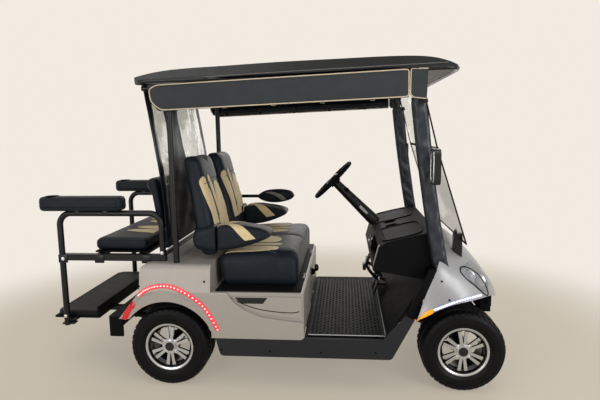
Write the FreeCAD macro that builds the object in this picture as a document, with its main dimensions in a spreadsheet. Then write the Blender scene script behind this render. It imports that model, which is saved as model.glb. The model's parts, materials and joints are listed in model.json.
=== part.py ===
import FreeCAD, Part
import math
import os

import Sketcher

# Two-seat golf cart with a rear-facing flip seat.
# Frame: +X forward, +Y to the driver's left, +Z up, origin on the ground under the middle of the cart.
# All lengths are millimetres, and every driving length stands in the SIZES table below.

SIZES = {
    # Whole cart
    "wheelbase": 1640,
    "rear_overhang": 755,
    "front_overhang": 240,
    "body_width": 1200,
    "tyre_diameter": 460,
    "roof_height": 1808,
    "cut_overrun": 40,
    "seat_gap": 0.3,
    "running_gap": 0.05,
    # Ladder frame
    "rail_width": 50,
    "rail_height": 70,
    "rail_centre": 210,
    "rail_kick": 72,
    "rear_kick_rear": 220,
    "rear_kick_front": 340,
    "front_kick_rear": 380,
    "front_kick_front": 260,
    "member_width": 40,
    "member_height": 50,
    "rear_member": 290,
    "battery_rear_member": 400,
    "battery_front_member": 740,
    "toe_member": 480,
    "nose_member": 130,
    "outrigger_reach": 560,
    # Rear axle, motor and springs
    "rear_track": 975,
    "axle_tube_radius": 32,
    "gearbox_radius": 80,
    "gearbox_width": 110,
    "gearbox_taper": 40,
    "motor_radius": 76,
    "motor_length": 120,
    "motor_offset": 120,
    "spring_width": 44,
    "rear_spring_centre": 322,
    "rear_spring_reach": 290,
    "rear_spring_rise": 46,
    "leaf_pack": 18,
    "spring_eye_radius": 14,
    # Front axle, knuckles and steering
    "front_track": 925,
    "kingpin_inset": 127.5,
    "beam_radius": 24,
    "yoke_web": 16,
    "yoke_width": 54,
    "yoke_lug": 20,
    "kingpin_radius": 12,
    "barrel_radius": 26,
    "barrel_low": 46,
    "barrel_high": 34,
    "lug_gap": 4,
    "pin_stand": 2,
    "spindle_radius": 15,
    "spindle_shoulder": 19,
    "steer_arm_length": 110,
    "steer_arm_width": 26,
    "steer_arm_thickness": 12,
    "tie_rod_radius": 8,
    "tie_rod_eye": 13,
    "tie_eye_height": 20,
    "tie_rod_lift": 2,
    "rack_radius": 20,
    "rack_half_length": 130,
    "rack_bracket_width": 120,
    "rack_bracket_height": 14,
    "front_spring_reach": 175,
    "front_spring_rise": 17,
    # Wheels
    "tyre_width": 205,
    "bead_radius": 127,
    "rim_flange_radius": 138.5,
    "rim_width": 178,
    "rim_wall": 5,
    "rim_well_radius": 112,
    "tyre_wall": 12,
    "shoulder_drop": 9,
    "hub_radius": 46,
    "hub_inboard": 55,
    "disc_face": 74,
    "spoke_thickness": 15,
    "spoke_root_width": 15,
    "spoke_tip_width": 19,
    "spoke_spread": 20,
    "hub_cap_radius": 34,
    "hub_cap_height": 10,
    # Floor, mat and sills
    "floor_top": 306,
    "floor_sheet": 8,
    "floor_half_width": 572,
    "toe_start": 405,
    "toe_run": 225,
    "toe_rise": 378,
    "toe_half_width": 545,
    "mat_thickness": 5,
    "mat_margin": 20,
    "mat_rib": 3,
    "mat_rib_pitch": 34,
    "sill_low": 197,
    "sill_rear": 276,
    "sill_thickness": 26,
    "sill_front_low": 391,
    "sill_front_high": 436,
    "sill_nose_reach": 272,
    "sill_nose_height": 424,
    # Rear body and seat pod
    "deck_height": 710,
    "tail_reach": 276,
    "tail_low": 401,
    "fender_height": 559,
    "tail_top_reach": 150,
    "deck_half_width": 572,
    "body_front": 255,
    "body_wall": 7,
    "body_round": 40,
    "arch_radius": 275,
    "arch_depth": 235,
    "pod_front": 772,
    "pod_low": 300,
    "pod_top": 562,
    "pod_recess": 12,
    "bay_rear": 335,
    "bay_front": 715,
    "bay_half_width": 420,
    "insert_thickness": 9,
    "battery_width": 640,
    "battery_height": 210,
    "battery_rear": 425,
    "battery_front": 700,
    # Front seat
    "cushion_rear": 276,
    "cushion_front": 742,
    "cushion_half_width": 500,
    "cushion_height": 200,
    "cushion_round": 60,
    "seat_board": 14,
    "back_top": 1315,
    "back_centre": 250,
    "back_half_width": 215,
    "back_foot_front": 264,
    "back_thickness": 96,
    "back_lean": 92,
    "back_wing": 70,
    "lobe_rear": 270,
    "lobe_front": 578,
    "lobe_heel": 122,
    "lobe_low": 755,
    "lobe_high": 914,
    "lobe_inner": 310,
    "lobe_outer": 482,
    "lobe_round": 28,
    "hinge_radius": 8,
    "hinge_pin": 4,
    "hinge_length": 60,
    "hinge_y": 300,
    "hinge_clear": 10,
    "hip_rear": 340,
    "hip_front": 617,
    "hip_low": 902,
    "hip_high": 1008,
    "hip_centre": 534,
    "hip_depth": 56,
    "armrest_tube": 12,
    # Roof and its frame
    "roof_rear": 135,
    "roof_front": 1585,
    "roof_half_width": 600,
    "roof_thickness": 24,
    "roof_skirt": 34,
    "roof_rear_drop": 73,
    "roof_front_drop": 48,
    "roof_edge_drop": 6,
    "roof_corner": 30,
    "strut_centre": 520,
    "strut_radius": 17,
    "front_strut_top": 1363,
    "front_strut_foot": 1524,
    "front_strut_base": 640,
    "rear_strut_top": 46,
    "rear_strut_foot": 48,
    "roof_rail_radius": 14,
    "roof_rail_height": 1664,
    "sleeve_width": 64,
    "sleeve_depth": 52,
    "sleeve_low": 700,
    "sleeve_high": 1560,
    # Curtains and windshield
    "curtain_rear": 60,
    "curtain_front": 1395,
    "curtain_top_rear": 1682,
    "curtain_top_front": 1735,
    "curtain_low_rear": 1548,
    "curtain_low_front": 1605,
    "curtain_outer": 598,
    "back_sheet_top_x": 100,
    "back_sheet_mid_x": 30,
    "back_sheet_foot_x": 8,
    "back_sheet_top": 1679,
    "back_sheet_mid": 1188,
    "back_sheet_low": 815,
    "back_sheet_thickness": 4,
    "back_sheet_half_width": 500,
    "shield_thickness": 5,
    "shield_half_width": 535,
    "shield_top": 1665,
    "shield_top_x": 1395,
    "shield_fold": 1337,
    "shield_fold_x": 1478,
    "shield_low": 829,
    "shield_low_x": 1640,
    "clamp_low": 862,
    "clamp_y": 400,
    "clamp_high": 1584,
    "clamp_height": 24,
    "clamp_reach": 40,
    "clamp_lip": 6,
    "mirror_x": 1452,
    "mirror_low": 1160,
    "mirror_high": 1340,
    "mirror_outer": 700,
    "mirror_width": 120,
    "mirror_depth": 34,
    # Front cowl, dash and lamps
    "cowl_wall": 8,
    "cowl_top": 880,
    "cowl_rear": 1340,
    "cowl_low": 400,
    "cowl_nose": 1850,
    "lamp_depth": 42,
    "lamp_inner": 300,
    "lamp_rear": 1604,
    "lamp_front": 1790,
    "lamp_low": 545,
    "lamp_high": 706,
    "bumper_low": 350,
    "bumper_high": 486,
    "bumper_horn_low": 440,
    "bumper_depth": 60,
    "bumper_half_width": 400,
    "bumper_chin": 238,
    "bumper_sweep": 60,
    "trim_width": 40,
    "trim_top_x": 1462,
    "trim_top": 700,
    "dash_rear": 1150,
    "dash_front": 1497,
    "dash_low": 665,
    "dash_foot": 620,
    "dash_high": 892,
    "dash_half_width": 488,
    "dash_wall": 14,
    "cubby_low": 690,
    "cubby_high": 790,
    "cubby_half_width": 190,
    "cubby_centre": 250,
    "cup_radius": 38,
    "cup_depth": 60,
    "cup_x": 1290,
    "cup_y": 60,
    "bracket_sheet": 18,
    # Steering wheel, column and pedals
    "wheel_y": 280,
    "wheel_x": 915,
    "wheel_z": 1098,
    "wheel_radius": 162,
    "wheel_rim_radius": 13,
    "wheel_hub_radius": 40,
    "wheel_hub_depth": 34,
    "column_radius": 24,
    "column_length": 400,
    "column_tilt": 45,
    "shaft_radius": 9,
    "shaft_length": 60,
    "pedal_width": 80,
    "pedal_height": 95,
    "pedal_thickness": 12,
    "pedal_arm": 10,
    "brake_y": 190,
    "throttle_y": 320,
    "selector_radius": 22,
    "selector_height": 500,
    "selector_y": 60,
    # Rear seat kit
    "kit_half_width": 483,
    "kit_tube_radius": 17.5,
    "kit_post_x": 652,
    "kit_rail_rise": 38,
    "kit_rail_front": 26,
    "kit_rail_width": 34,
    "arm_pad_rise": 294,
    "arm_pad_height": 68,
    "arm_pad_front": 256,
    "arm_pad_width": 98,
    "arm_cup_x": 685,
    "arm_cup_depth": 50,
    "flip_hinge_x": 494,
    "flip_hinge_rise": 30,
    "deck_panel": 9,
    "deck_front": 161,
    "deck_half": 430,
    "rear_cushion_height": 62,
    "kit_back_rise": 50,
    "kit_back_height": 425,
    "kit_back_rear": 150,
    "kit_back_thickness": 50,
    "kit_back_lean": 84,
    "kit_back_half": 430,
    "footplate_front": 475,
    "footplate_low": 340,
    "footplate_high": 413,
    "footplate_sheet": 12,
    "footplate_half": 440,
    "footplate_arm": 26,
    "footplate_arm_width": 40,
    "rear_bumper_reach": 362,
    "rear_bumper_low": 280,
    "rear_bumper_high": 396,
    "rear_bumper_half": 560,
    "tail_lamp_rear": 238,
    "tail_lamp_front": 168,
    "tail_lamp_low": 462,
    "tail_lamp_high": 524,
    "strip_depth": 4,
}


class Dim:
    """A size in millimetres together with the sheet expression that gives it."""

    def __init__(self, text, value):
        self.text = text
        self.value = value

    @staticmethod
    def of(other):
        """Takes a size as it is and wraps a plain factor."""
        return other if isinstance(other, Dim) else Dim(repr(float(other)), float(other))

    def __add__(self, other):
        other = Dim.of(other)
        return Dim(f"({self.text} + {other.text})", self.value + other.value)

    def __sub__(self, other):
        other = Dim.of(other)
        return Dim(f"({self.text} - {other.text})", self.value - other.value)

    def __mul__(self, other):
        other = Dim.of(other)
        return Dim(f"({self.text} * {other.text})", self.value * other.value)

    def __truediv__(self, other):
        other = Dim.of(other)
        return Dim(f"({self.text} / {other.text})", self.value / other.value)

    def __neg__(self):
        return Dim(f"(0 - {self.text})", -self.value)

    __radd__ = __add__
    __rmul__ = __mul__


class Sizes:
    """The spreadsheet of driving sizes, each also an attribute of this object."""

    def __init__(self, table):
        sheet = DOC.addObject("Spreadsheet::Sheet", "Sizes")
        for row, (alias, value) in enumerate(table.items(), start=1):
            sheet.set(f"A{row}", alias)
            sheet.set(f"B{row}", str(value))
            sheet.setAlias(f"B{row}", alias)
        DOC.recompute()
        for alias in table:
            setattr(self, alias, Dim(f"Sizes.{alias}", float(sheet.get(alias))))


DOC = FreeCAD.newDocument("GolfCart")
S = Sizes(SIZES)
NODES = []
SIDES = {"left": 1, "right": -1}
SPOKES = 6
SPOKE_TIP_SHARES = (0.97, 0.925)
KIT_REST_SHARE = 0.3
BAR_SHARE = 1.05
LOBE_FOOT_SHARE = 0.62
CLAMP_FOOT_SHARE = 0.62
MAT_RIBS = 10
WHEEL_SPOKE_ANGLES = (90, 210, 330)

# Outlines as shares of the box that holds each piece: along, then up, then sometimes a round corner.
CREASE_SHARES = [(0.174, 1.0), (0.257, 0.782), (0.377, 0.618), (0.524, 0.492), (0.764, 0.42), (1.0, 0.374)]
CREASE_ROUND_SHARES = [0, 1.0, 1.0, 1.5, 1.5, 0]
INSERT_SHARES = [(0.226, 0.92), (0.28, 0.84), (0.377, 0.695), (0.532, 0.569), (0.764, 0.496), (0.981,
                                                                                               0.458),
                                                                                               (0.981, 0.92)]
BACK_SHARES = [(0.62, 0.0), (1.0, 0.0), (0.90, 0.32), (0.62, 0.72), (0.40, 1.0), (0.0, 1.0), (0.10, 0.55)]
LOBE_SHARES = [(0.0, 0.0, 0), (0.30, 0.10, 0), (0.66, 0.32, 1), (0.93, 0.50, 0.8), (1.0, 0.68, 0.4),
               (0.92, 0.86, 0.8),
               (0.55, 0.97, 1), (0.0, 1.0, 0)]
HEEL_SHARES = [(1.0, 0.0, 0), (0.75, -0.02, 0.5), (0.40, 0.06, 1), (0.08, 0.32, 1), (0.0, 0.80, 0.5),
               (0.1, 1.0, 0), (1.0, 1.0, 0)]
HIP_SHARES = [(0.0, 0.25, 0.3), (0.0, 0.8, 0.5), (0.4, 1.0, 1), (0.8, 0.95, 0.8), (1.0, 0.6, 0.5), (0.95,
                                                                                                    0.25,
                                                                                                    0.5),
              (0.58, 0.0, 1), (0.22, 0.0, 0.5)]
BACK_ROUND_SHARES = [0.2, 0.3, 0, 0, 0.4, 0.25, 0]
DASH_SHARES = [(0.0, 0.0), (0.10, 0.58), (0.22, 0.71), (1.0, 1.0)]
TAIL_LAMP_SHARES = [(0.0, 0.79), (0.14, 0.96), (0.36, 1.0), (0.58, 0.86), (0.80, 0.52), (0.84, 0.08),
                    (0.70, 0.0), (0.42, 0.34)]
LAMP_SHARES = [(0.0, 0.95), (0.45, 1.0), (0.78, 0.88), (1.0, 0.42), (0.90, 0.0), (0.55, 0.22)]
ROOF_SHARES = [(0.0, 1.0), (0.06, 0.70), (0.25, 0.38), (0.45, 0.19), (0.66, 0.10), (0.85, 0.0), (0.94,
                                                                                                 0.27),
                                                                                                 (1.0, 1.0)]
ROOF_ACROSS_SHARES = (-1.0, -0.94, -0.7, -0.35, 0.0, 0.35, 0.7, 0.94, 1.0)
COWL_SHARES = [
    (0.0, [(1.0, 0.03), (1.0, 0.21), (0.985, 0.42), (0.955, 0.62), (0.86, 0.78), (0.5, 0.94), (0.0, 1.0)]),
    (0.235, [(1.0, 0.14), (1.0, 0.27), (0.985, 0.46), (0.945, 0.65), (0.84, 0.78), (0.5, 0.935), (0.0,
                                                                                                  0.99)]),
    (0.431, [(1.0, 0.233), (0.995, 0.323), (0.97, 0.48), (0.915, 0.625), (0.80, 0.74), (0.5, 0.875),
             (0.0, 0.925)]),
    (0.608, [(0.98, 0.275), (0.965, 0.333), (0.93, 0.437), (0.86, 0.562), (0.74, 0.656), (0.48, 0.76),
             (0.0, 0.81)]),
    (0.765, [(0.90, 0.281), (0.885, 0.333), (0.85, 0.417), (0.78, 0.51), (0.67, 0.573), (0.42, 0.635),
             (0.0, 0.667)]),
    (0.882, [(0.80, 0.27), (0.785, 0.323), (0.75, 0.375), (0.68, 0.427), (0.58, 0.458), (0.36, 0.50),
             (0.0, 0.52)]),
    (0.97, [(0.68, 0.22), (0.665, 0.26), (0.635, 0.302), (0.57, 0.333), (0.48, 0.354), (0.3, 0.375),
            (0.0, 0.396)]),
    (1.0, [(0.62, 0.20), (0.605, 0.222), (0.58, 0.235), (0.52, 0.245), (0.44, 0.253), (0.28, 0.26), (0.0,
                                                                                                     0.265)]),
]


# Places that many pieces share.
ZERO = Dim.of(0)
REAR = (S.rear_overhang - S.wheelbase - S.front_overhang) / 2
FRONT = REAR + S.wheelbase
AXLE_Z = S.tyre_diameter / 2
HALF = S.body_width / 2
FLOOR_LOW = S.floor_top - S.floor_sheet
RAISED_LOW = FLOOR_LOW - S.rail_height + S.rail_kick
TIE_X = FRONT - S.steer_arm_length
BACK_BASE = S.deck_height + S.seat_gap
RAIL_END = REAR - S.rear_bumper_reach + S.body_wall * 2 + S.seat_gap
ARM_TOP = AXLE_Z - S.barrel_low + S.steer_arm_thickness
LID_HINGE = (REAR + S.cushion_front + S.hinge_clear, S.pod_top + S.seat_gap + S.hinge_radius + S.hinge_pin)
KINGPIN_Y = S.front_track / 2 - S.kingpin_inset
FLIP_HINGE_Z = S.deck_height + S.flip_hinge_rise
KIT_RAIL_HIGH = S.deck_height + S.kit_rail_rise
KIT_BACK_LOW = S.deck_height + S.kit_back_rise
KIT_BACK_HIGH = KIT_BACK_LOW + S.kit_back_height
ARM_PAD_LOW = S.deck_height + S.arm_pad_rise
ARM_PAD_HIGH = ARM_PAD_LOW + S.arm_pad_height
FLIP_HINGE = (REAR - S.flip_hinge_x, FLIP_HINGE_Z)
TIE_Z = ARM_TOP + S.tie_rod_lift + S.tie_eye_height / 2


def bind(obj, name, size):
    """Ties one property of an object to a size."""
    size = Dim.of(size)
    obj.setExpression(name, size.text)


def move(obj, x=ZERO, y=ZERO, z=ZERO):
    """Ties the place of an object to three sizes."""
    for axis, size in (("x", x), ("y", y), ("z", z)):
        bind(obj, f"Placement.Base.{axis}", size)
    return obj


def node(obj, label):
    """Names a finished piece and keeps it for the export."""
    obj.Label = label
    NODES.append(obj)
    return obj


def vector(x, y, z):
    """A point from three sizes."""
    return FreeCAD.Vector(Dim.of(x).value, Dim.of(y).value, Dim.of(z).value)


def between(low, high, share):
    """The place that lies a share of the way from low to high."""
    return low + (high - low) * share


def spread(shares, x_low, x_high, z_low, z_high):
    """Turns an outline of shares into places in the box that holds it."""
    return [
        (between(x_low, x_high, point[0]), between(z_low, z_high, point[1])) + tuple(point[2:])
        for point in shares
    ]


def turn_at(before, corner, after, radius):
    """Where a round corner leaves its two straight sides, with its centre and the turn's sense."""
    back = (before - corner).normalize()
    ahead = (after - corner).normalize()
    half = back.getAngle(ahead) / 2
    reach = radius / math.tan(half)
    middle = (back + ahead).normalize()
    centre = corner + middle * (radius / math.sin(half))
    left_turn = back.cross(ahead).z < 0
    return corner + back * reach, corner + ahead * reach, centre, left_turn


def draw(sketch, corners):
    """Draws a closed outline, its corners given as (x, y) or (x, y, radius), and ties each to its sizes."""
    count = len(corners)
    places = [FreeCAD.Vector(Dim.of(c[0]).value, Dim.of(c[1]).value, 0) for c in corners]
    turns = {}
    for i, corner in enumerate(corners):
        if len(corner) > 2:
            radius = Dim.of(corner[2]).value
            turns[i] = turn_at(places[i - 1], places[i], places[(i + 1) % count], radius)
    starts = [turns[i][1] if i in turns else places[i] for i in range(count)]
    ends = [turns[j][0] if j in turns else places[j] for j in [(i + 1) % count for i in range(count)]]
    first = sketch.GeometryCount
    for start, end in zip(starts, ends):
        sketch.addGeometry(Part.LineSegment(start, end), False)
    named = []
    for i, corner in enumerate(corners):
        before = first + (i - 1) % count
        after = first + i
        if i not in turns:
            sketch.addConstraint(Sketcher.Constraint("Coincident", before, 2, after, 1))
            holder = (after, 1)
        else:
            leave, enter, centre, left_turn = turns[i]
            radius = Dim.of(corner[2])
            a_low, a_high = (leave, enter) if left_turn else (enter, leave)
            low = math.atan2(a_low.y - centre.y, a_low.x - centre.x)
            high = math.atan2(a_high.y - centre.y, a_high.x - centre.x)
            circle = Part.Circle(centre, FreeCAD.Vector(0, 0, 1), radius.value)
            arc = sketch.addGeometry(Part.ArcOfCircle(circle, low, high), False)
            point = sketch.addGeometry(Part.Point(places[i]), True)
            first_end, last_end = (1, 2) if left_turn else (2, 1)
            sketch.addConstraint(Sketcher.Constraint("Tangent", before, 2, arc, first_end))
            sketch.addConstraint(Sketcher.Constraint("Tangent", after, 1, arc, last_end))
            sketch.addConstraint(Sketcher.Constraint("PointOnObject", point, 1, before))
            sketch.addConstraint(Sketcher.Constraint("PointOnObject", point, 1, after))
            number = sketch.addConstraint(Sketcher.Constraint("Radius", arc, radius.value))
            named.append((number, f"round{first}_{i}", radius))
            holder = (point, 1)
        for kind, size in (("DistanceX", corner[0]), ("DistanceY", corner[1])):
            size = Dim.of(size)
            number = sketch.addConstraint(Sketcher.Constraint(kind, holder[0], holder[1], size.value))
            named.append((number, f"{kind[-1].lower()}{first}_{i}", size))
    for number, name, size in named:
        sketch.renameConstraint(number, name)
        sketch.setExpression(f"Constraints.{name}", size.text)


def outline(body, role, corners):
    """A sketch on one of the body's own origin planes."""
    sketch = body.newObject("Sketcher::SketchObject", body.Name + "Outline")
    plane = next(f for f in body.Origin.OriginFeatures if f.Role == role)
    sketch.AttachmentSupport = [(plane, "")]
    sketch.MapMode = "FlatFace"
    draw(sketch, corners)
    return sketch


def padded(name, role, corners, length, midplane=False):
    """A body with one padded outline."""
    body = DOC.addObject("PartDesign::Body", name)
    sketch = outline(body, role, corners)
    pad = body.newObject("PartDesign::Pad", name + "Pad")
    pad.Profile = sketch
    bind(pad, "Length", length)
    pad.Midplane = midplane
    return body


def side_plate(name, corners, y_low, y_high):
    """An outline in X and Z, as thick as the way from y_low to y_high."""
    body = padded(name, "XZ_Plane", corners, y_high - y_low, midplane=True)
    return move(body, y=(y_low + y_high) / 2)


def level_plate(name, corners, z_low, z_high):
    """An outline in X and Y, as thick as the way from z_low to z_high."""
    return move(padded(name, "XY_Plane", corners, z_high - z_low), z=z_low)


def cross_plate(name, corners, x_low, x_high):
    """An outline in Y and Z, as thick as the way from x_low to x_high."""
    return move(padded(name, "YZ_Plane", corners, x_high - x_low), x=x_low)


def turned(name, corners, x, y, z):
    """An outline of radius and place along Y, turned about the Y axis through a point."""
    body = DOC.addObject("PartDesign::Body", name)
    sketch = outline(body, "XY_Plane", corners)
    spin = body.newObject("PartDesign::Revolution", name + "Turn")
    spin.Profile = sketch
    spin.ReferenceAxis = (sketch, ["V_Axis"])
    spin.Angle = 360
    return move(body, x, y, z)


def box(name, x_low, x_high, y_low, y_high, z_low, z_high):
    """A block between six places."""
    block = DOC.addObject("Part::Box", name)
    for side, low, high in (("Length", x_low, x_high), ("Width", y_low, y_high), ("Height", z_low, z_high)):
        bind(block, side, Dim.of(high) - low)
    return move(block, x_low, y_low, z_low)


def rod(name, axis, x, y, z, length, radius):
    """A round bar that starts at a point and runs along +X, +Y or +Z."""
    bar = DOC.addObject("Part::Cylinder", name)
    bind(bar, "Radius", radius)
    bind(bar, "Height", length)
    turns = {"X": ((0, 1, 0), 90), "Y": ((1, 0, 0), -90), "Z": ((0, 0, 1), 0)}
    way, angle = turns[axis]
    bar.Placement = FreeCAD.Placement(FreeCAD.Vector(), FreeCAD.Rotation(FreeCAD.Vector(*way), angle))
    return move(bar, x, y, z)


def joined(name, kind, pieces):
    """A boolean of several pieces: MultiFuse, MultiCommon or Compound."""
    whole = DOC.addObject(f"Part::{kind}", name)
    setattr(whole, "Links" if kind == "Compound" else "Shapes", list(pieces))
    return whole


def fuse(name, pieces):
    """Pieces made one."""
    return joined(name, "MultiFuse", pieces)


def common(name, pieces):
    """What several pieces share."""
    return joined(name, "MultiCommon", pieces)


def together(name, pieces):
    """Separate solids kept in one piece."""
    return joined(name, "Compound", pieces)


def cut(name, base, tool):
    """A piece with another taken out of it."""
    result = DOC.addObject("Part::Cut", name)
    result.Base = base
    result.Tool = tool
    return result


def mirrored(name, source):
    """The same piece on the other side of the cart."""
    twin = DOC.addObject("Part::Mirroring", name)
    twin.Source = source
    twin.Normal = FreeCAD.Vector(0, 1, 0)
    return twin


def pair(name, source):
    """A piece and its mirror image as two solids."""
    return together(name, [source, mirrored(name + "Twin", source)])


def shaped(name, shape):
    """A piece whose shape is worked out from the sheet's sizes."""
    piece = DOC.addObject("Part::Feature", name)
    piece.Shape = shape
    return piece


def path(points, bend):
    """Straight runs through the points, joined by arcs of one radius."""
    edges = []
    start = points[0]
    for before, corner, after in zip(points, points[1:], points[2:]):
        back = (before - corner).normalize()
        ahead = (after - corner).normalize()
        half = back.getAngle(ahead) / 2
        reach = bend.value / math.tan(half)
        leave = corner + back * reach
        enter = corner + ahead * reach
        centre = corner + (back + ahead).normalize() * (bend.value / math.sin(half))
        middle = centre + (corner - centre).normalize() * bend.value
        edges.append(Part.LineSegment(start, leave).toShape())
        edges.append(Part.Arc(leave, middle, enter).toShape())
        start = enter
    edges.append(Part.LineSegment(start, points[-1]).toShape())
    return Part.Wire(edges)


def tube(points, radius, bend=None):
    """A solid round tube along straight runs and arcs."""
    spine = path(points, bend)
    way = points[1] - points[0]
    ring = Part.Wire([Part.Circle(points[0], way, radius.value).toShape()])
    return spine.makePipeShell([ring], True, True)


# Ladder frame

def chassis_frame():
    """Two rails that step up over the axles, with cross-members and sill outriggers."""
    low, high = FLOOR_LOW - S.rail_height, FLOOR_LOW
    raised, raised_top = RAISED_LOW, RAISED_LOW + S.rail_height
    bumper_rear = FRONT + S.front_overhang - S.bumper_sweep / 4 - S.bumper_depth
    ends = (RAIL_END, bumper_rear - S.seat_gap)
    kicks = (REAR + S.rear_kick_rear, REAR + S.rear_kick_front,
             FRONT - S.front_kick_rear, FRONT - S.front_kick_front)
    corners = [
        (ends[0], raised), (kicks[0], raised), (kicks[1], low), (kicks[2], low), (kicks[3], raised),
        (ends[1], raised), (ends[1], raised_top), (kicks[3], raised_top), (kicks[2], high),
        (kicks[1], high), (kicks[0], raised_top), (ends[0], raised_top),
    ]
    rail = side_plate("Rail", corners, S.rail_centre - S.rail_width / 2, S.rail_centre + S.rail_width / 2)
    pieces = [rail, mirrored("RailTwin", rail)]
    inner = S.rail_centre
    members = [
        ("RearMember", REAR - S.rear_member, raised),
        ("BatteryRearMember", REAR + S.battery_rear_member, low),
        ("BatteryFrontMember", REAR + S.battery_front_member, low),
        ("ToeMember", FRONT - S.toe_member, low),
        ("NoseMember", FRONT + S.nose_member, raised),
    ]
    for name, x, base in members:
        z = base + (S.rail_height - S.member_height) / 2
        pieces.append(box(name, x - S.member_width / 2, x + S.member_width / 2, -inner, inner,
                          z, z + S.member_height))
    for name, x in (("RearOutrigger", REAR + S.battery_rear_member), ("FrontOutrigger",
                                                                      FRONT - S.toe_member)):
        z = low + (S.rail_height - S.member_height) / 2
        pieces.append(box(name, x - S.member_width / 2, x + S.member_width / 2,
                          -S.outrigger_reach, S.outrigger_reach, z, z + S.member_height))
    node(fuse("ChassisFrame", pieces), "chassis_frame")


# Rear axle and springs

def rear_axle():
    """The drive axle: round tubes, a gearbox in the middle and the motor on its side."""
    end = S.rear_track / 2 + S.disc_face
    tube_end = S.rear_track / 2 - S.hub_inboard - S.spindle_radius
    half = S.gearbox_width / 2
    corners = [
        (ZERO, -end), (S.spindle_radius, -end), (S.spindle_radius, -tube_end), (S.axle_tube_radius,
                                                                                -tube_end),
        (S.axle_tube_radius, -(half + S.gearbox_taper)), (S.gearbox_radius, -half), (S.gearbox_radius, half),
        (S.axle_tube_radius, half + S.gearbox_taper), (S.axle_tube_radius, tube_end),
        (S.spindle_radius, tube_end), (S.spindle_radius, end), (ZERO, end),
    ]
    axle = turned("AxleTube", corners, REAR, ZERO, AXLE_Z)
    case = box("GearCase", REAR, REAR + S.motor_offset, -half, half,
               AXLE_Z - S.motor_radius / 2, AXLE_Z + S.motor_radius / 2)
    motor = rod("Motor", "Y", REAR + S.motor_offset, -half, AXLE_Z,
                S.motor_length + S.gearbox_width / 2, S.motor_radius)
    node(fuse("RearAxle", [axle, case, motor]), "rear_axle")


def leaf_spring(name, x, centre, reach, seat, rise):
    """A bowed leaf pack with an eye at each end and a saddle block over the axle."""
    bow = reach * 2
    mid = seat + S.leaf_pack / 2
    corners = [
        (x - reach, mid + rise), (x, mid, bow), (x + reach, mid + rise),
        (x + reach, mid + rise + S.leaf_pack), (x, mid + S.leaf_pack, bow), (x - reach,
                                                                             mid + rise + S.leaf_pack),
    ]
    y_low, y_high = centre - S.spring_width / 2, centre + S.spring_width / 2
    leaf = side_plate(name + "Leaf", corners, y_low, y_high)
    saddle = box(name + "Saddle", x - S.spring_width / 2, x + S.spring_width / 2, y_low, y_high,
                 seat, mid + S.leaf_pack)
    return [leaf, saddle]


def rear_springs():
    """Leaf springs over the axle tube, on pins that stand out of the frame rails."""
    seat = AXLE_Z + S.axle_tube_radius + S.seat_gap
    pieces = leaf_spring("RearSpring", REAR, S.rear_spring_centre, S.rear_spring_reach, seat,
                         S.rear_spring_rise)
    rail_face = S.rail_centre + S.rail_width / 2
    outer = S.rear_spring_centre + S.spring_width / 2
    z = seat + S.leaf_pack + S.rear_spring_rise
    for name, way in (("RearSpringRearPin", -1), ("RearSpringFrontPin", 1)):
        pieces.append(rod(name, "Y", REAR + S.rear_spring_reach * way, rail_face, z,
                          outer - rail_face, S.spring_eye_radius))
    node(pair("RearSprings", fuse("RearSpring", pieces)), "rear_springs")


# Front axle and steering

def front_axle():
    """A round beam with a fork for each kingpin."""
    inner_web = KINGPIN_Y - S.barrel_radius - S.lug_gap - S.yoke_web
    beam = rod("Beam", "Y", FRONT, -inner_web, AXLE_Z, inner_web * 2, S.beam_radius)
    low = AXLE_Z - S.barrel_low - S.lug_gap - S.yoke_lug
    high = AXLE_Z + S.barrel_high + S.lug_gap + S.yoke_lug
    tip = KINGPIN_Y + S.yoke_width / 2
    web = inner_web + S.yoke_web
    corners = [
        (inner_web, low), (tip, low), (tip, low + S.yoke_lug), (web, low + S.yoke_lug),
        (web, high - S.yoke_lug), (tip, high - S.yoke_lug), (tip, high), (inner_web, high),
    ]
    fork = cross_plate("Fork", corners, FRONT - S.yoke_width / 2, FRONT + S.yoke_width / 2)
    hole = rod("KingpinHole", "Z", FRONT, KINGPIN_Y, low - S.cut_overrun,
               high - low + S.cut_overrun * 2, S.kingpin_radius + S.running_gap)
    fork = cut("BoredFork", fork, hole)
    node(fuse("FrontAxle", [beam, fork, mirrored("ForkTwin", fork)]), "front_axle")


def front_springs():
    """Short leaf springs between the front beam and the raised rails."""
    seat = AXLE_Z + S.beam_radius + S.seat_gap
    pieces = leaf_spring("FrontSpring", FRONT, S.rail_centre, S.front_spring_reach, seat, S.front_spring_rise)
    top = RAISED_LOW - S.seat_gap
    z = seat + S.leaf_pack / 2 + S.front_spring_rise
    y_low, y_high = S.rail_centre - S.spring_width / 2, S.rail_centre + S.spring_width / 2
    for name, way in (("FrontSpringRearEye", -1), ("FrontSpringFrontEye", 1)):
        x = FRONT + S.front_spring_reach * way
        pieces.append(box(name, x - S.spring_eye_radius, x + S.spring_eye_radius, y_low, y_high, z, top))
    node(pair("FrontSprings", fuse("FrontSpring", pieces)), "front_springs")


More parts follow.
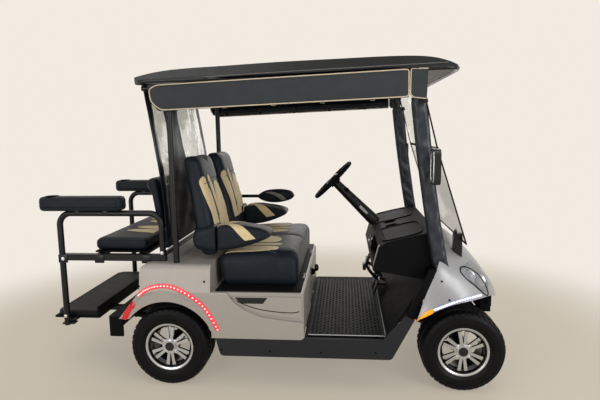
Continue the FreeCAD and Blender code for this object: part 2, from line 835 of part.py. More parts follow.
def steering_rack():
    """The housing that the tie rod slides through, bracketed to the front beam."""
    half = S.rack_half_length
    housing = rod("RackHousing", "Y", TIE_X, -half, TIE_Z, half * 2, S.rack_radius)
    bracket = box("RackBracket", TIE_X, FRONT, -S.rack_bracket_width / 2, S.rack_bracket_width / 2,
                  AXLE_Z - S.rack_bracket_height / 2, AXLE_Z + S.rack_bracket_height / 2)
    beam = rod("BeamSpace", "Y", FRONT, -half, AXLE_Z, half * 2, S.beam_radius + S.seat_gap)
    bracket = cut("FittedBracket", bracket, beam)
    whole = fuse("RackBlank", [housing, bracket])
    bore = rod("RackBore", "Y", TIE_X, -(half + S.cut_overrun), TIE_Z,
               (half + S.cut_overrun) * 2, S.tie_rod_radius + S.running_gap)
    node(cut("SteeringRack", whole, bore), "steering_rack")


def tie_rod():
    """The rod that joins the two steering arms, an eye at each end."""
    reach = KINGPIN_Y
    bar = rod("TieBar", "Y", TIE_X, -reach, TIE_Z, reach * 2, S.tie_rod_radius)
    eyes = [
        rod(f"TieEye{name}", "Z", TIE_X, reach * side, TIE_Z - S.tie_eye_height / 2,
            S.tie_eye_height, S.tie_rod_eye)
        for name, side in SIDES.items()
    ]
    node(fuse("TieRod", [bar] + eyes), "tie_rod")


def knuckle(name, side):
    """A kingpin and barrel with the spindle that carries a wheel and the arm that steers it."""
    y = KINGPIN_Y * side
    low = AXLE_Z - S.barrel_low
    pin_low = low - S.lug_gap - S.yoke_lug - S.pin_stand
    pin_high = AXLE_Z + S.barrel_high + S.lug_gap + S.yoke_lug + S.pin_stand
    pin = rod(f"Kingpin{name}", "Z", FRONT, y, pin_low, pin_high - pin_low, S.kingpin_radius)
    barrel = rod(f"Barrel{name}", "Z", FRONT, y, low, S.barrel_low + S.barrel_high, S.barrel_radius)
    reach = S.front_track / 2 + S.disc_face - KINGPIN_Y
    shoulder = S.front_track / 2 - S.hub_inboard - S.lug_gap - KINGPIN_Y
    spindle_start = y if side > 0 else y - reach
    shoulder_start = y if side > 0 else y - shoulder
    spindle = rod(f"Spindle{name}", "Y", FRONT, spindle_start, AXLE_Z, reach, S.spindle_radius)
    collar = rod(f"Collar{name}", "Y", FRONT, shoulder_start, AXLE_Z, shoulder, S.spindle_shoulder)
    half = S.steer_arm_width / 2
    arm = level_plate(f"Arm{name}", [
        (TIE_X - half, y - half, half * 0.9), (FRONT, y - half), (FRONT, y + half), (TIE_X - half,
                                                                                     y + half, half * 0.9),
    ], low, low + S.steer_arm_thickness)
    node(fuse(f"Knuckle{name}", [pin, barrel, spindle, collar, arm]), f"knuckle_{name}")


# Wheels

def rim_corners():
    """The turned section of a rim: flanges, bead seats and a drop well."""
    half = S.rim_width / 2
    wall = S.rim_wall
    lip = S.rim_flange_radius
    seat = S.bead_radius
    well = S.rim_well_radius
    outside = [(lip, half), (lip, half - wall), (seat, half - wall * 1.4), (seat, half - wall * 5),
               (well, half - wall * 8)]
    inside = [(lip - wall, half), (seat - wall, half - wall), (seat - wall, half - wall * 5.5),
              (well - wall, half - wall * 8.5)]
    rear_outside = [(r, -a) for r, a in reversed(outside)]
    rear_inside = [(r, -a) for r, a in inside]
    return outside + rear_outside + rear_inside + list(reversed(inside))


def rim_master():
    """A rim with six forked spokes on a hub, about the origin with its face towards +Y."""
    body = turned("Rim", rim_corners(), ZERO, ZERO, ZERO)
    face = S.disc_face
    spokes = outline(body, "XZ_Plane", [])
    bind(spokes, "AttachmentOffset.Base.z", -face)
    root = S.hub_radius * 0.75
    near_tip, far_tip = [S.bead_radius * share for share in SPOKE_TIP_SHARES]
    for way in (1, -1):
        inner = S.spoke_spread * 0.4 * way
        outer = S.spoke_spread * way
        draw(spokes, [
            (inner - S.spoke_root_width / 2, root), (inner + S.spoke_root_width / 2, root),
            (outer + S.spoke_tip_width / 2, far_tip if way > 0 else near_tip),
            (outer - S.spoke_tip_width / 2, near_tip if way > 0 else far_tip),
        ])
    pad = body.newObject("PartDesign::Pad", "SpokePad")
    pad.Profile = spokes
    bind(pad, "Length", S.spoke_thickness)
    ring = body.newObject("PartDesign::PolarPattern", "SpokeRing")
    ring.Originals = [pad]
    ring.Axis = (spokes, ["N_Axis"])
    ring.Angle = 360
    ring.Occurrences = SPOKES
    body.Tip = ring
    cap = face + S.hub_cap_height
    bore = S.spindle_radius + S.running_gap
    shaft_end = face + S.pin_stand
    section = outline(body, "XY_Plane", [
        (bore, -S.hub_inboard), (S.hub_radius, -S.hub_inboard), (S.hub_radius, face), (S.hub_cap_radius,
                                                                                       face),
        (S.hub_cap_radius, cap), (ZERO, cap), (ZERO, shaft_end), (bore, shaft_end),
    ])
    hub = body.newObject("PartDesign::Revolution", "Hub")
    hub.Profile = section
    hub.ReferenceAxis = (section, ["V_Axis"])
    hub.Angle = 360
    body.Tip = hub
    return body


def tyre_master():
    """A low-profile tyre about the origin: crowned tread, round shoulders and sidewalls, open inside."""
    radius = AXLE_Z
    half = S.tyre_width / 2
    bead = S.bead_radius + S.seat_gap
    bead_edge = S.rim_width / 2 - S.rim_wall * 2.2
    wall = S.tyre_wall
    shoulder = radius - S.shoulder_drop
    middle = (bead + radius) / 2
    outer = [(bead, bead_edge), (middle, half, wall * 4), (shoulder, half * 0.86, wall * 1.5), (radius,
                                                                                                half * 0.55)]
    inner = [(bead, bead_edge - wall * 1.5), (middle, half - wall), (radius - wall, half * 0.62)]
    far_outer = [(c[0], -c[1]) + tuple(c[2:]) for c in reversed(outer)]
    far_inner = [(r, -a) for r, a in inner]
    return turned("Tyre", outer + far_outer + far_inner + list(reversed(inner)), ZERO, ZERO, ZERO)


def wheels():
    """Four wheels, each a rim and a tyre, on the rear stubs and the front spindles."""
    rim, rubber = rim_master(), tyre_master()
    masters = {
        "left": (rim, rubber),
        "right": (mirrored("RimMirror", rim), mirrored("TyreMirror", rubber)),
    }
    for end, x, track in (("rear", REAR, S.rear_track), ("front", FRONT, S.front_track)):
        for name, side in SIDES.items():
            for label, master in zip(("rim", "tyre"), masters[name]):
                piece = together(f"{label.title()}{end.title()}{name.title()}", [master])
                node(move(piece, x, track / 2 * side, AXLE_Z), f"{label}_{end}_{name}")


# Floor, mat, sills and battery

def floor_pan():
    """A sheet floor between seat pod and toe board, notched beside the front wheels."""
    half, notch = S.floor_half_width, S.toe_half_width
    x_low, x_high = REAR + S.pod_front + S.seat_gap, FRONT - S.toe_start
    low, top = FLOOR_LOW + S.seat_gap, S.floor_top
    flat = box("Floor", x_low, x_high, -half, half, low, top)
    reach = S.floor_sheet
    corners = [
        (x_high - reach, low), (x_high, low), (x_high + S.toe_run, low + S.toe_rise),
        (x_high + S.toe_run - reach, low + S.toe_rise),
    ]
    toe = side_plate("ToeBoard", corners, -notch, notch)
    pieces = [flat, toe]
    base = S.front_strut_base - S.seat_gap
    for name, side in SIDES.items():
        y = (S.strut_centre) * side
        pieces.append(box(f"StrutFoot{name}", toe_face(base - S.bracket_sheet),
                          REAR + S.front_strut_foot + S.strut_radius,
                          y - S.strut_radius, y + S.strut_radius, base - S.bracket_sheet, base))
    node(fuse("FloorPan", pieces), "floor_pan")


def floor_mat():
    """A rubber mat on the floor, raised in ribs across the cart."""
    x_low = REAR + S.pod_front + S.mat_margin
    x_high = FRONT - S.toe_start - S.mat_margin
    half = S.floor_half_width - S.mat_margin
    base = S.floor_top + S.seat_gap
    top = base + S.mat_thickness
    pieces = [box("Mat", x_low, x_high, -half, half, base, top)]
    for number in range(1, MAT_RIBS + 1):
        x = x_low + S.mat_rib_pitch * number
        pieces.append(box(f"MatRib{number}", x - S.mat_rib, x + S.mat_rib, -half + S.mat_margin,
                          half - S.mat_margin, base, top + S.mat_rib))
    node(fuse("FloorMat", pieces), "floor_mat")


def sills():
    """The black sills under the doorways, their noses swept up ahead of the floor."""
    top = S.floor_top
    corners = [
        (REAR + S.sill_rear, S.pod_low - S.seat_gap), (REAR + S.sill_rear + S.sill_thickness, S.sill_low,
                                                       S.sill_thickness),
        (FRONT - S.sill_front_low, S.sill_low, S.sill_thickness), (FRONT - S.sill_nose_reach,
                                                                   S.sill_nose_height),
        (FRONT - S.sill_nose_reach - S.trim_width, S.sill_nose_height + S.trim_width / 2),
        (FRONT - S.sill_front_high, top), (REAR + S.pod_front + S.seat_gap, top),
        (REAR + S.pod_front + S.seat_gap, S.pod_low - S.seat_gap),
    ]
    inner = S.floor_half_width + S.seat_gap
    sill = side_plate("Sill", corners, inner, inner + S.sill_thickness)
    node(pair("Sills", sill), "sills")


def battery_block():
    """The battery, one plain block on the frame under the front seat."""
    half = S.battery_width / 2
    base = FLOOR_LOW + S.seat_gap
    node(box("Battery", REAR + S.battery_rear, REAR + S.battery_front, -half, half, base,
             base + S.battery_height), "battery_block")


# Rear body and seat pod

def hat(half_low, half_top, low, middle, top, round_low, round_top):
    """A cross-section with upright sides that lean in to a flat top, its corners round."""
    return [
        (-half_low, low), (half_low, low), (half_low, middle, round_low), (half_top, top, round_top),
        (-half_top, top, round_top), (-half_low, middle, round_low),
    ]


def rear_body():
    """The rear body, an open-bottomed shell with round wheel arches."""
    wall, over = S.body_wall, S.cut_overrun
    tail, front = REAR - S.tail_reach, REAR + S.body_front
    blanks = []
    for name, skin, drop in (("Outer", ZERO, ZERO), ("Inner", wall, over)):
        section = hat(HALF - skin, S.deck_half_width - skin, S.pod_low - drop, S.fender_height - skin,
                      S.deck_height - skin, S.body_round - skin, S.body_round - skin)
        across = cross_plate(f"Body{name}Across", section, tail - over, front + over)
        profile = [
            (tail + skin, S.pod_low - drop), (front - skin, S.pod_low - drop), (front - skin,
                                                                                S.deck_height - skin),
            (REAR - S.tail_top_reach + skin, S.deck_height - skin, S.body_round - skin),
            (REAR - S.tail_top_reach + skin, S.fender_height - skin, S.body_round - skin),
            (tail + skin, S.tail_low - skin),
        ]
        along = side_plate(f"Body{name}Along", profile, -(HALF + over), HALF + over)
        blanks.append(common(f"Body{name}", [across, along]))
    shell = cut("BodyShell", *blanks)
    arch = rod("BodyArch", "Y", REAR, HALF - S.arch_depth, AXLE_Z, S.arch_depth + over, S.arch_radius)
    foot = box("BodyFoot", tail - over, REAR, -(HALF + over), HALF + over, S.pod_low - over, S.tail_low)
    shell = cut("BodyArched", shell, fuse("BodyCuts", [arch, mirrored("BodyArchTwin", arch), foot]))
    pocket = tail_lamp_block("TailPocket", S.seat_gap, HALF - S.body_wall * 2, HALF + S.cut_overrun)
    cuts = [pair("TailPockets", pocket), rail_space("BodyRailSpace")]
    node(cut("RearBody", shell, fuse("BodyOpenings", cuts)), "rear_body")


def rail_space(name):
    """Room for the frame's rails and the springs through the bulkheads."""
    half = S.rear_spring_centre + S.spring_width
    middle = REAR + S.body_front
    return box(name, middle - S.body_wall * 2, middle + S.body_wall * 2, -half, half,
               S.pod_low - S.cut_overrun,
               RAISED_LOW + S.rail_height + S.hinge_clear)


def seat_pod():
    """The seat pod, a shell with a swept crease along its flanks, its top open over the battery."""
    wall, over = S.body_wall, S.cut_overrun
    rear, front = REAR + S.body_front + S.seat_gap, REAR + S.pod_front
    blanks = []
    for name, skin, deep, drop in (("Outer", ZERO, ZERO, ZERO), ("Inner", wall, S.pod_recess, over)):
        low, half = S.pod_low - drop, HALF - skin - deep
        section = [
            (-half, low), (half, low), (half, S.pod_top - skin, S.body_round / 4),
            (-half, S.pod_top - skin, S.body_round / 4),
        ]
        across = cross_plate(f"Pod{name}Across", section, rear - over, front + over)
        profile = [
            (rear + skin, low), (front - skin, low, S.body_round / 2), (front - skin, S.pod_top - skin,
                                                                        S.body_round / 2),
            (rear + skin, S.pod_top - skin),
        ]
        along = side_plate(f"Pod{name}Along", profile, -(HALF + over), HALF + over)
        blanks.append(common(f"Pod{name}", [across, along]))
    shell = cut("PodShell", *blanks)
    crease = spread(CREASE_SHARES, rear, front, S.pod_low, S.pod_top)
    crease = [c + (S.body_round * share,) if share else c for c, share in zip(crease, CREASE_ROUND_SHARES)]
    above = S.pod_top + over
    step = side_plate("PodStep", crease + [(front + over, crease[-1][1]), (front + over, above),
                                           (crease[0][0], above)],
                      HALF - S.pod_recess, HALF + over)
    bay = box("PodBay", REAR + S.bay_rear, REAR + S.bay_front, -S.bay_half_width, S.bay_half_width,
              S.pod_top - over, S.pod_top + over)
    cuts = fuse("PodCuts", [bay, rail_space("PodRailSpace"), pair("PodSteps", step)])
    pieces = [cut("PodOpened", shell, cuts)]
    for name, side in SIDES.items():
        pieces += hinge_post(f"PodHinge{name}", *LID_HINGE, S.hinge_y * side, S.pod_top - S.body_wall / 2)
    node(fuse("SeatPod", pieces), "seat_pod")


def pod_inserts():
    """Panels let into the pod's upper sides, their lower edge following the crease."""
    rear, front = REAR + S.body_front + S.seat_gap, REAR + S.pod_front
    corners = spread(INSERT_SHARES, rear, front, S.pod_low, S.pod_top)
    inner = HALF - S.pod_recess + S.seat_gap
    panel = side_plate("Insert", corners, inner, inner + S.insert_thickness)
    node(pair("Inserts", panel), "pod_inserts")


# Front seat

def front_seat_cushion():
    """The front cushion, a round-edged block on a board, hinged at its front lower edge."""
    rear, front = REAR + S.cushion_rear, REAR + S.cushion_front
    base = S.pod_top + S.seat_gap
    top = base + S.seat_board + S.cushion_height
    half = S.cushion_half_width
    corners = [
        (rear, base + S.seat_gap), (front, base + S.seat_gap), (front, top, S.cushion_round),
        (rear, top - S.cushion_round / 2, S.cushion_round / 2),
    ]
    block = side_plate("Cushion", corners, -half, half)
    lobe = side_plate("Lobe", lobe_corners(LOBE_SHARES, REAR + S.lobe_rear, REAR + S.lobe_front),
                      S.lobe_inner, S.lobe_outer)
    foot_x = between(REAR + S.lobe_rear, REAR + S.lobe_front, LOBE_FOOT_SHARE)
    foot = box("LobeFoot", REAR + S.lobe_rear + S.lobe_round / 2, foot_x, S.lobe_inner + S.lobe_round,
               S.lobe_outer - S.lobe_round, top - S.cushion_round, between(S.lobe_low, S.lobe_high, 0.4))
    pieces, bores = [block, pair("Lobes", lobe), pair("LobeFeet", foot)], []
    for name, side in SIDES.items():
        eye, bore = hinge_eye(f"Lid{name}", *LID_HINGE, S.hinge_y * side, front - S.hinge_clear,
                              base + S.seat_board / 2)
        pieces.append(eye)
        bores.append(bore)
    node(cut("FrontCushion", fuse("CushionBlank", pieces), fuse("CushionBores", bores)), "front_seat_cushion")


def lobe_corners(shares, rear, front):
    """The outline of a hip lobe over the seat's outer edge, its corners round."""
    outline_corners = spread([c[:2] for c in shares], rear, front, S.lobe_low, S.lobe_high)
    return [c + (S.lobe_round * share[2],) if share[2] else c for c, share in zip(outline_corners, shares)]


def hinge_eye(name, x, z, y, board, height):
    """A leaf from a board to a barrel round a hinge pin, and the bore that goes through it."""
    half = S.hinge_length / 2
    low, high = (board, x) if board.value < x.value else (x, board)
    leaf = box(f"{name}Leaf", low, high, y - half, y + half, z - S.hinge_pin, z + S.hinge_pin)
    barrel = rod(f"{name}Barrel", "Y", x, y - half, z, half * 2, S.hinge_radius)
    bore = rod(f"{name}Bore", "Y", x, y - half * 2, z, half * 4, S.hinge_pin + S.running_gap)
    return fuse(f"{name}Eye", [leaf, barrel]), bore


def hinge_post(name, x, z, y, low):
    """Two ears with a pin between them, one each side of a hinge barrel."""
    half, ear = S.hinge_length / 2 + S.tie_rod_lift, S.hinge_radius
    pieces = [rod(f"{name}Pin", "Y", x, y - half - ear, z, (half + ear) * 2, S.hinge_pin)]
    for place, start in (("Far", y + half), ("Near", y - half - ear)):
        pieces.append(box(f"{name}Ear{place}", x - ear, x + ear, start, start + ear, low, z))
        pieces.append(rod(f"{name}EarTop{place}", "Y", x, start, z, ear, ear))
    return pieces


def seat_back(name, side):
    """A bucket back: a leaning slab with a thick lower wing on each side."""
    foot, lean = REAR + S.back_foot_front, S.back_lean
    low, top = BACK_BASE, S.back_top
    thick = S.back_thickness
    x_low, x_high = foot - lean - thick, foot
    profile = spread([c for c in BACK_SHARES], x_low, x_high, low, top)
    rounded = [p + (S.back_thickness * share,) if share else p for p, share in zip(profile,
                                                                                   BACK_ROUND_SHARES)]
    y = S.back_centre * side
    slab = side_plate(f"Back{name}", rounded, y - S.back_half_width, y + S.back_half_width)
    face = [
        (y - S.back_half_width, low, S.back_wing / 2), (y + S.back_half_width, low, S.back_wing / 2),
        (y + S.back_half_width, between(low, top, 0.55), S.back_wing * 2),
        (y + S.back_half_width - S.back_wing / 2, top, S.back_wing),
        (y - S.back_half_width + S.back_wing / 2, top, S.back_wing), (y - S.back_half_width, between(low,
                                                                                                     top,
                                                                                                     0.55), S.back_wing * 2),
    ]
    front = cross_plate(f"BackFace{name}", face, x_low - S.cut_overrun, x_high + S.cut_overrun)
    heel = side_plate(f"BackHeel{name}", lobe_corners(HEEL_SHARES, REAR + S.lobe_heel,
                                                      REAR + S.back_foot_front),
                      S.lobe_inner, S.lobe_outer)
    if side < 0:
        heel = mirrored(f"BackHeelTwin{name}", heel)
    node(fuse(f"SeatBack{name}", [common(f"BackSlab{name}", [slab, front]), heel]), f"{name}_seat_back")


def hip_restraint():
    """The left hip rest: a padded oval on a bar that reaches forward from the rear strut."""
    rear, front = REAR + S.hip_rear, REAR + S.hip_front
    corners = spread([c[:2] for c in HIP_SHARES], rear, front, S.hip_low, S.hip_high)
    corners = [c + (S.lobe_round * share[2],) for c, share in zip(corners, HIP_SHARES)]
    pad = side_plate("HipPad", corners, S.hip_centre - S.hip_depth / 2, S.hip_centre + S.hip_depth / 2)
    start = REAR + S.rear_strut_foot + S.strut_radius - S.seat_gap
    bar = rod("HipBar", "X", start, S.strut_centre, between(S.hip_low, S.hip_high, 0.5),
              rear - start + S.hip_depth,
              S.armrest_tube)
    node(fuse("HipRestraint", [bar, pad]), "hip_restraint")


# Roof, struts and curtains

def roof():
    """The roof, a crowned sheet whose sides turn down into a deep skirt, lofted across the cart."""
    rear, front = REAR - S.roof_rear, REAR + S.roof_front
    sections, cores = [], []
    rib_low = S.roof_rail_height + S.roof_rail_radius * 2 + S.seat_gap * 2
    for share in ROOF_ACROSS_SHARES:
        y = S.roof_half_width * share
        trim = S.roof_corner * share ** 8
        crown = S.roof_height - S.roof_edge_drop * abs(share) ** 3
        deep = S.roof_thickness + S.roof_skirt * share ** 8
        top = [(between(rear + trim, front - trim, x),
                crown - S.roof_rear_drop * z if x < 0.5 else crown - S.roof_front_drop * z)
               for x, z in ROOF_SHARES]
        last = len(top) - 1
        upper = [vector(x, y, z) for x, z in top]
        lower = [vector(x, y, z - (S.roof_thickness if k in (0, last) else deep)) for k, (x,
                                                                                          z) in enumerate(top)]
        sections.append(strip(upper, lower))
        middle = [vector(x, y, z - S.roof_thickness / 2) for x, z in top]
        cores.append(strip(middle, [vector(x, y, rib_low) for x, z in top]))
    shell = Part.makeLoft(sections, True, False)
    core = Part.makeLoft(cores, True, False)
    wide = S.roof_rail_radius
    for side in SIDES.values():
        rib_x, rib_end = REAR + S.rear_strut_top, REAR + S.front_strut_top
        rib = Part.makeBox((rib_end - rib_x).value, (wide * 2).value, S.roof_height.value,
                           vector(rib_x, S.strut_centre * side - wide, ZERO))
        shell = shell.fuse(rib.common(core))
    node(shaped("Roof", shell), "roof")


def strip(upper, lower):
    """A closed outline between two smooth curves through the same number of points."""
    curves = []
    for points in (upper, lower):
        curve = Part.BSplineCurve()
        curve.interpolate(points)
        curves.append(curve.toShape())
    ends = [Part.LineSegment(upper[-1], lower[-1]).toShape(), Part.LineSegment(lower[0], upper[0]).toShape()]
    return Part.Wire(Part.__sortEdges__([curves[0], ends[0], curves[1], ends[1]]))


def front_strut_line():
    """The centre line of a front strut, from its foot up to the roof rail."""
    foot = vector(REAR + S.front_strut_foot, S.strut_centre, S.front_strut_base)
    head = vector(REAR + S.front_strut_top, S.strut_centre, S.roof_rail_height)
    return foot, head


def struts():
    """The four roof struts, straight round tubes."""
    foot, head = front_strut_line()
    node(pair("FrontStruts", shaped("FrontStrut", flat_ended(foot, head))), "front_struts")
    head = vector(REAR + S.rear_strut_top, S.strut_centre, S.roof_rail_height)
    foot = vector(REAR + S.rear_strut_foot, S.strut_centre, BACK_BASE)
    node(pair("RearStruts", shaped("RearStrut", flat_ended(foot, head))), "rear_struts")


def flat_ended(foot, head):
    """A leaning round strut whose ends are level."""
    radius, over = S.strut_radius.value, S.cut_overrun.value
    way = (head - foot).normalize()
    bar = Part.makeCylinder(radius, (head - foot).Length + over * 2, foot - way * over, way)
    low = FreeCAD.Vector(min(foot.x, head.x) - over, foot.y - over, foot.z)
    return bar.common(Part.makeBox(abs(head.x - foot.x) + over * 2, over * 2, head.z - foot.z, low))


def roof_frame():
    """Rails along the roof over the strut heads, with bows across."""
    z = S.roof_rail_height + S.roof_rail_radius + S.seat_gap
    rear, front = REAR + S.rear_strut_top, REAR + S.front_strut_top
    lean = (S.back_sheet_top_x - S.back_sheet_mid_x) / (S.back_sheet_top - S.back_sheet_mid)
    bow_low = z - S.roof_rail_radius / 2
    sheet = REAR - S.back_sheet_top_x + lean * (S.back_sheet_top - bow_low) + S.roof_rail_radius + S.seat_gap
    pieces = []
    for name, side in SIDES.items():
        pieces.append(rod(f"RoofRail{name}", "X", sheet - S.roof_rail_radius, S.strut_centre * side, z,
                          front - sheet + S.roof_rail_radius + S.strut_radius, S.roof_rail_radius))
    for name, x in (("Tail", sheet), ("Rear", rear), ("Front", front)):
        pieces.append(box(f"RoofBow{name}", x - S.roof_rail_radius, x + S.roof_rail_radius,
                          -S.strut_centre, S.strut_centre,
                          z - S.roof_rail_radius / 2, z + S.roof_rail_radius / 2))
    node(fuse("RoofFrame", pieces), "roof_frame")


def sleeve_block(gap):
    """The outside of a strut sleeve, its lower end pointed, grown by a gap."""
    foot, head = front_strut_line()
    way = head - foot
    low = foot + way * ((S.sleeve_low - S.front_strut_base).value / way.z)
    high = foot + way * ((S.sleeve_high - S.front_strut_base).value / way.z)
    wide, deep = (S.sleeve_width / 2 + gap).value, (S.sleeve_depth / 2 + gap).value
    wire = Part.makePolygon([
        low + FreeCAD.Vector(-wide, 0, 0), low + FreeCAD.Vector(0, 0, -wide), low + FreeCAD.Vector(wide,
                                                                                                   0, 0),
        high + FreeCAD.Vector(wide, 0, 0), high + FreeCAD.Vector(-wide, 0, 0),
        low + FreeCAD.Vector(-wide, 0, 0),
    ])
    wire.translate(FreeCAD.Vector(0, -deep, 0))
    return Part.Face(wire).extrude(FreeCAD.Vector(0, deep * 2, 0))


def strut_sleeves():
    """Soft sleeves wrapped round the front struts."""
    foot, head = front_strut_line()
    way = head - foot
    core = Part.makeCylinder((S.strut_radius + S.seat_gap).value, way.Length, foot, way)
    sleeve = shaped("Sleeve", sleeve_block(ZERO).cut(core))
    node(pair("Sleeves", sleeve), "strut_sleeves")


def rolled_curtains():
    """Side curtains rolled up in long pouches under the roof's sides."""
    corners = [
        (REAR - S.curtain_rear, S.curtain_low_rear, S.body_round), (REAR + S.curtain_front,
                                                                    S.curtain_low_front, S.body_round / 2),
        (REAR + S.curtain_front, S.curtain_top_front, S.body_round / 4), (REAR - S.curtain_rear,
                                                                          S.curtain_top_rear,
                                                                          S.body_round / 4),
    ]
    inner = S.strut_centre + S.strut_radius + S.seat_gap
    roll = side_plate("Curtain", corners, inner, S.curtain_outer)
    node(pair("Curtains", roll), "rolled_curtains")


def rear_curtain():
    """The rear curtain, a soft sheet that hangs between the rear struts and the rear seat."""
    thick = S.back_sheet_thickness
    front_line = [
        (REAR - S.back_sheet_foot_x, S.back_sheet_low), (REAR - S.back_sheet_mid_x, S.back_sheet_mid),
        (REAR - S.back_sheet_top_x, S.back_sheet_top),
    ]
    rear_line = [(x - thick, z) for x, z in reversed(front_line)]
    half = S.back_sheet_half_width
    node(side_plate("RearCurtain", front_line + rear_line, -half, half), "rear_curtain")


def pane_outline(gap):
    """The windshield from the side, grown by a gap."""
    line = [
        (REAR + S.shield_low_x, S.shield_low), (REAR + S.shield_fold_x, S.shield_fold),
        (REAR + S.shield_top_x, S.shield_top),
    ]
    front = [(x + gap, z) for x, z in line]
    back = [(x - S.shield_thickness - gap, z) for x, z in reversed(line)]
    return front + back


def windshield_clamps():
    """Clips that hold the windshield: one a side on the cowl, and one a side on the front struts' heads."""
    foot, head = front_strut_line()
    core = Part.makeCylinder((S.strut_radius + S.seat_gap).value, (head - foot).Length, foot, head - foot)
    pane = [vector(x, ZERO, z) for x, z in pane_outline(S.seat_gap)]
    sheet = Part.Face(Part.makePolygon(pane + [pane[0]])).extrude(vector(ZERO,
                                                                         S.shield_half_width + S.seat_gap, ZERO))
    at = foot + (head - foot) * ((S.clamp_high.value - foot.z) / (head.z - foot.z))
    high = Part.makeBox((S.clamp_reach + S.clamp_lip).value, (S.strut_radius * 2).value, S.clamp_height.value,
                        at + FreeCAD.Vector(0, -S.strut_radius.value / 2, -S.clamp_height.value / 2))
    high = high.cut(core).cut(sheet).cut(sleeve_block(S.seat_gap))
    x, wide = REAR + S.shield_low_x, S.clamp_reach
    foot_z = between(S.cowl_low, S.cowl_top, CLAMP_FOOT_SHARE)
    low = Part.makeBox((wide + S.clamp_lip).value, wide.value, (S.clamp_low - foot_z).value,
                       vector(x - wide, S.clamp_y - wide / 2, foot_z))
    low = low.cut(cowl_body(ZERO, ZERO)).cut(sheet)
    solids = high.Solids + low.Solids
    node(pair("Clamps", shaped("Clamp", Part.makeCompound(solids))), "windshield_clamps")


def windshield():
    """The windshield: a clear lower pane that leans forward and an upper pane that folds at the joint."""
    half = S.shield_half_width
    node(side_plate("Windshield", pane_outline(ZERO), -half, half), "windshield")


def mirrors():
    """Door mirrors on short arms from the front struts."""
    x = REAR + S.mirror_x
    outer, inner = S.mirror_outer, S.mirror_outer - S.mirror_width
    corners = [
        (inner, S.mirror_low, S.mirror_depth), (outer, S.mirror_low, S.mirror_depth),
        (outer, S.mirror_high, S.mirror_depth), (inner, S.mirror_high, S.mirror_depth),
    ]
    head = cross_plate("MirrorHead", corners, x - S.mirror_depth / 2, x + S.mirror_depth / 2)
    z = (S.mirror_low + S.mirror_high) / 2
    start = S.strut_centre + S.sleeve_depth / 2 + S.seat_gap
    arm = rod("MirrorArm", "Y", x, start, z, inner - start + S.mirror_depth / 2, S.pedal_arm)
    node(pair("Mirrors", fuse("Mirror", [head, arm])), "mirrors")


# Front cowl, dash and lamps

def cowl_body(skin, drop):
    """The cowl as one closed form lofted along the cart, moved in by a skin and lowered at its foot by a drop."""
    sections = []
    for x_share, half_curve in COWL_SHARES:
        x = between(REAR + S.cowl_rear, REAR + S.cowl_nose, x_share) - skin
        right = []
        for k, (y_share, z_share) in enumerate(half_curve):
            z = between(S.cowl_low, S.cowl_top, z_share) - skin
            right.append(vector(x, HALF * y_share - skin if y_share else ZERO, z - drop if k == 0 else z))
        across = right + [FreeCAD.Vector(p.x, -p.y, p.z) for p in reversed(right[:-1])]
        curve = Part.BSplineCurve()
        curve.interpolate(across)
        foot = Part.LineSegment(across[-1], across[0]).toShape()
        sections.append(Part.Wire([curve.toShape(), foot]))
    return Part.makeLoft(sections, True, False)


def front_cowl():
    """The front cowl, one moulded shell over the nose and both front wheels, lofted along the cart."""
    over = S.cut_overrun
    outer = shaped("CowlOuter", cowl_body(ZERO, ZERO))
    inner = shaped("CowlInner", cowl_body(S.cowl_wall, over))
    shell = cut("CowlShell", outer, inner)
    pocket = lamp_block("LampPocket", S.seat_gap)
    front = REAR + S.dash_front
    dash = box("DashClear", REAR + S.cowl_rear - over, front + S.seat_gap, -S.dash_half_width - S.seat_gap,
               S.dash_half_width + S.seat_gap, S.cowl_low - over, S.dash_high + over)
    sleeve = pair("SleeveClears", shaped("SleeveClear", sleeve_block(S.hinge_pin)))
    low, high = trim_line()
    room = S.seat_gap * 2
    slope = (high[0] - low[0]) / (high[1] - low[1])
    top_x = high[0] + slope * (S.cowl_top - high[1])
    foot_x = low[0] - slope * (low[1] - S.cowl_low)
    behind = [
        (REAR + S.cowl_rear - over, S.cowl_low - over), (foot_x - slope * over + room, S.cowl_low - over),
        (top_x + slope * over + room, S.cowl_top + over), (REAR + S.cowl_rear - over, S.cowl_top + over),
    ]
    trim = side_plate("TrimClear", behind, -(HALF + over), HALF + over)
    cuts = [pair("LampPockets", pocket), dash, sleeve, trim]
    node(cut("FrontCowl", shell, fuse("CowlCuts", cuts)), "front_cowl")


def lamp_block(name, gap):
    """The outline of a headlamp seen from the side, grown by a gap, as a block that goes out through the cowl."""
    corners = spread(LAMP_SHARES, REAR + S.lamp_rear - gap, REAR + S.lamp_front + gap, S.lamp_low - gap,
                     S.lamp_high + gap)
    return side_plate(name, corners, S.lamp_inner - gap, HALF + S.cut_overrun)


def headlamps():
    """Headlamps let into the cowl, each with its face flush with the cowl's surface."""
    skin = shaped("LampSkin", cowl_body(ZERO, ZERO))
    core = shaped("LampCore", cowl_body(S.lamp_depth, S.cut_overrun))
    lamp = cut("Headlamp", common("LampSolid", [lamp_block("LampBlock", ZERO), skin]), core)
    node(pair("Headlamps", lamp), "headlamps")


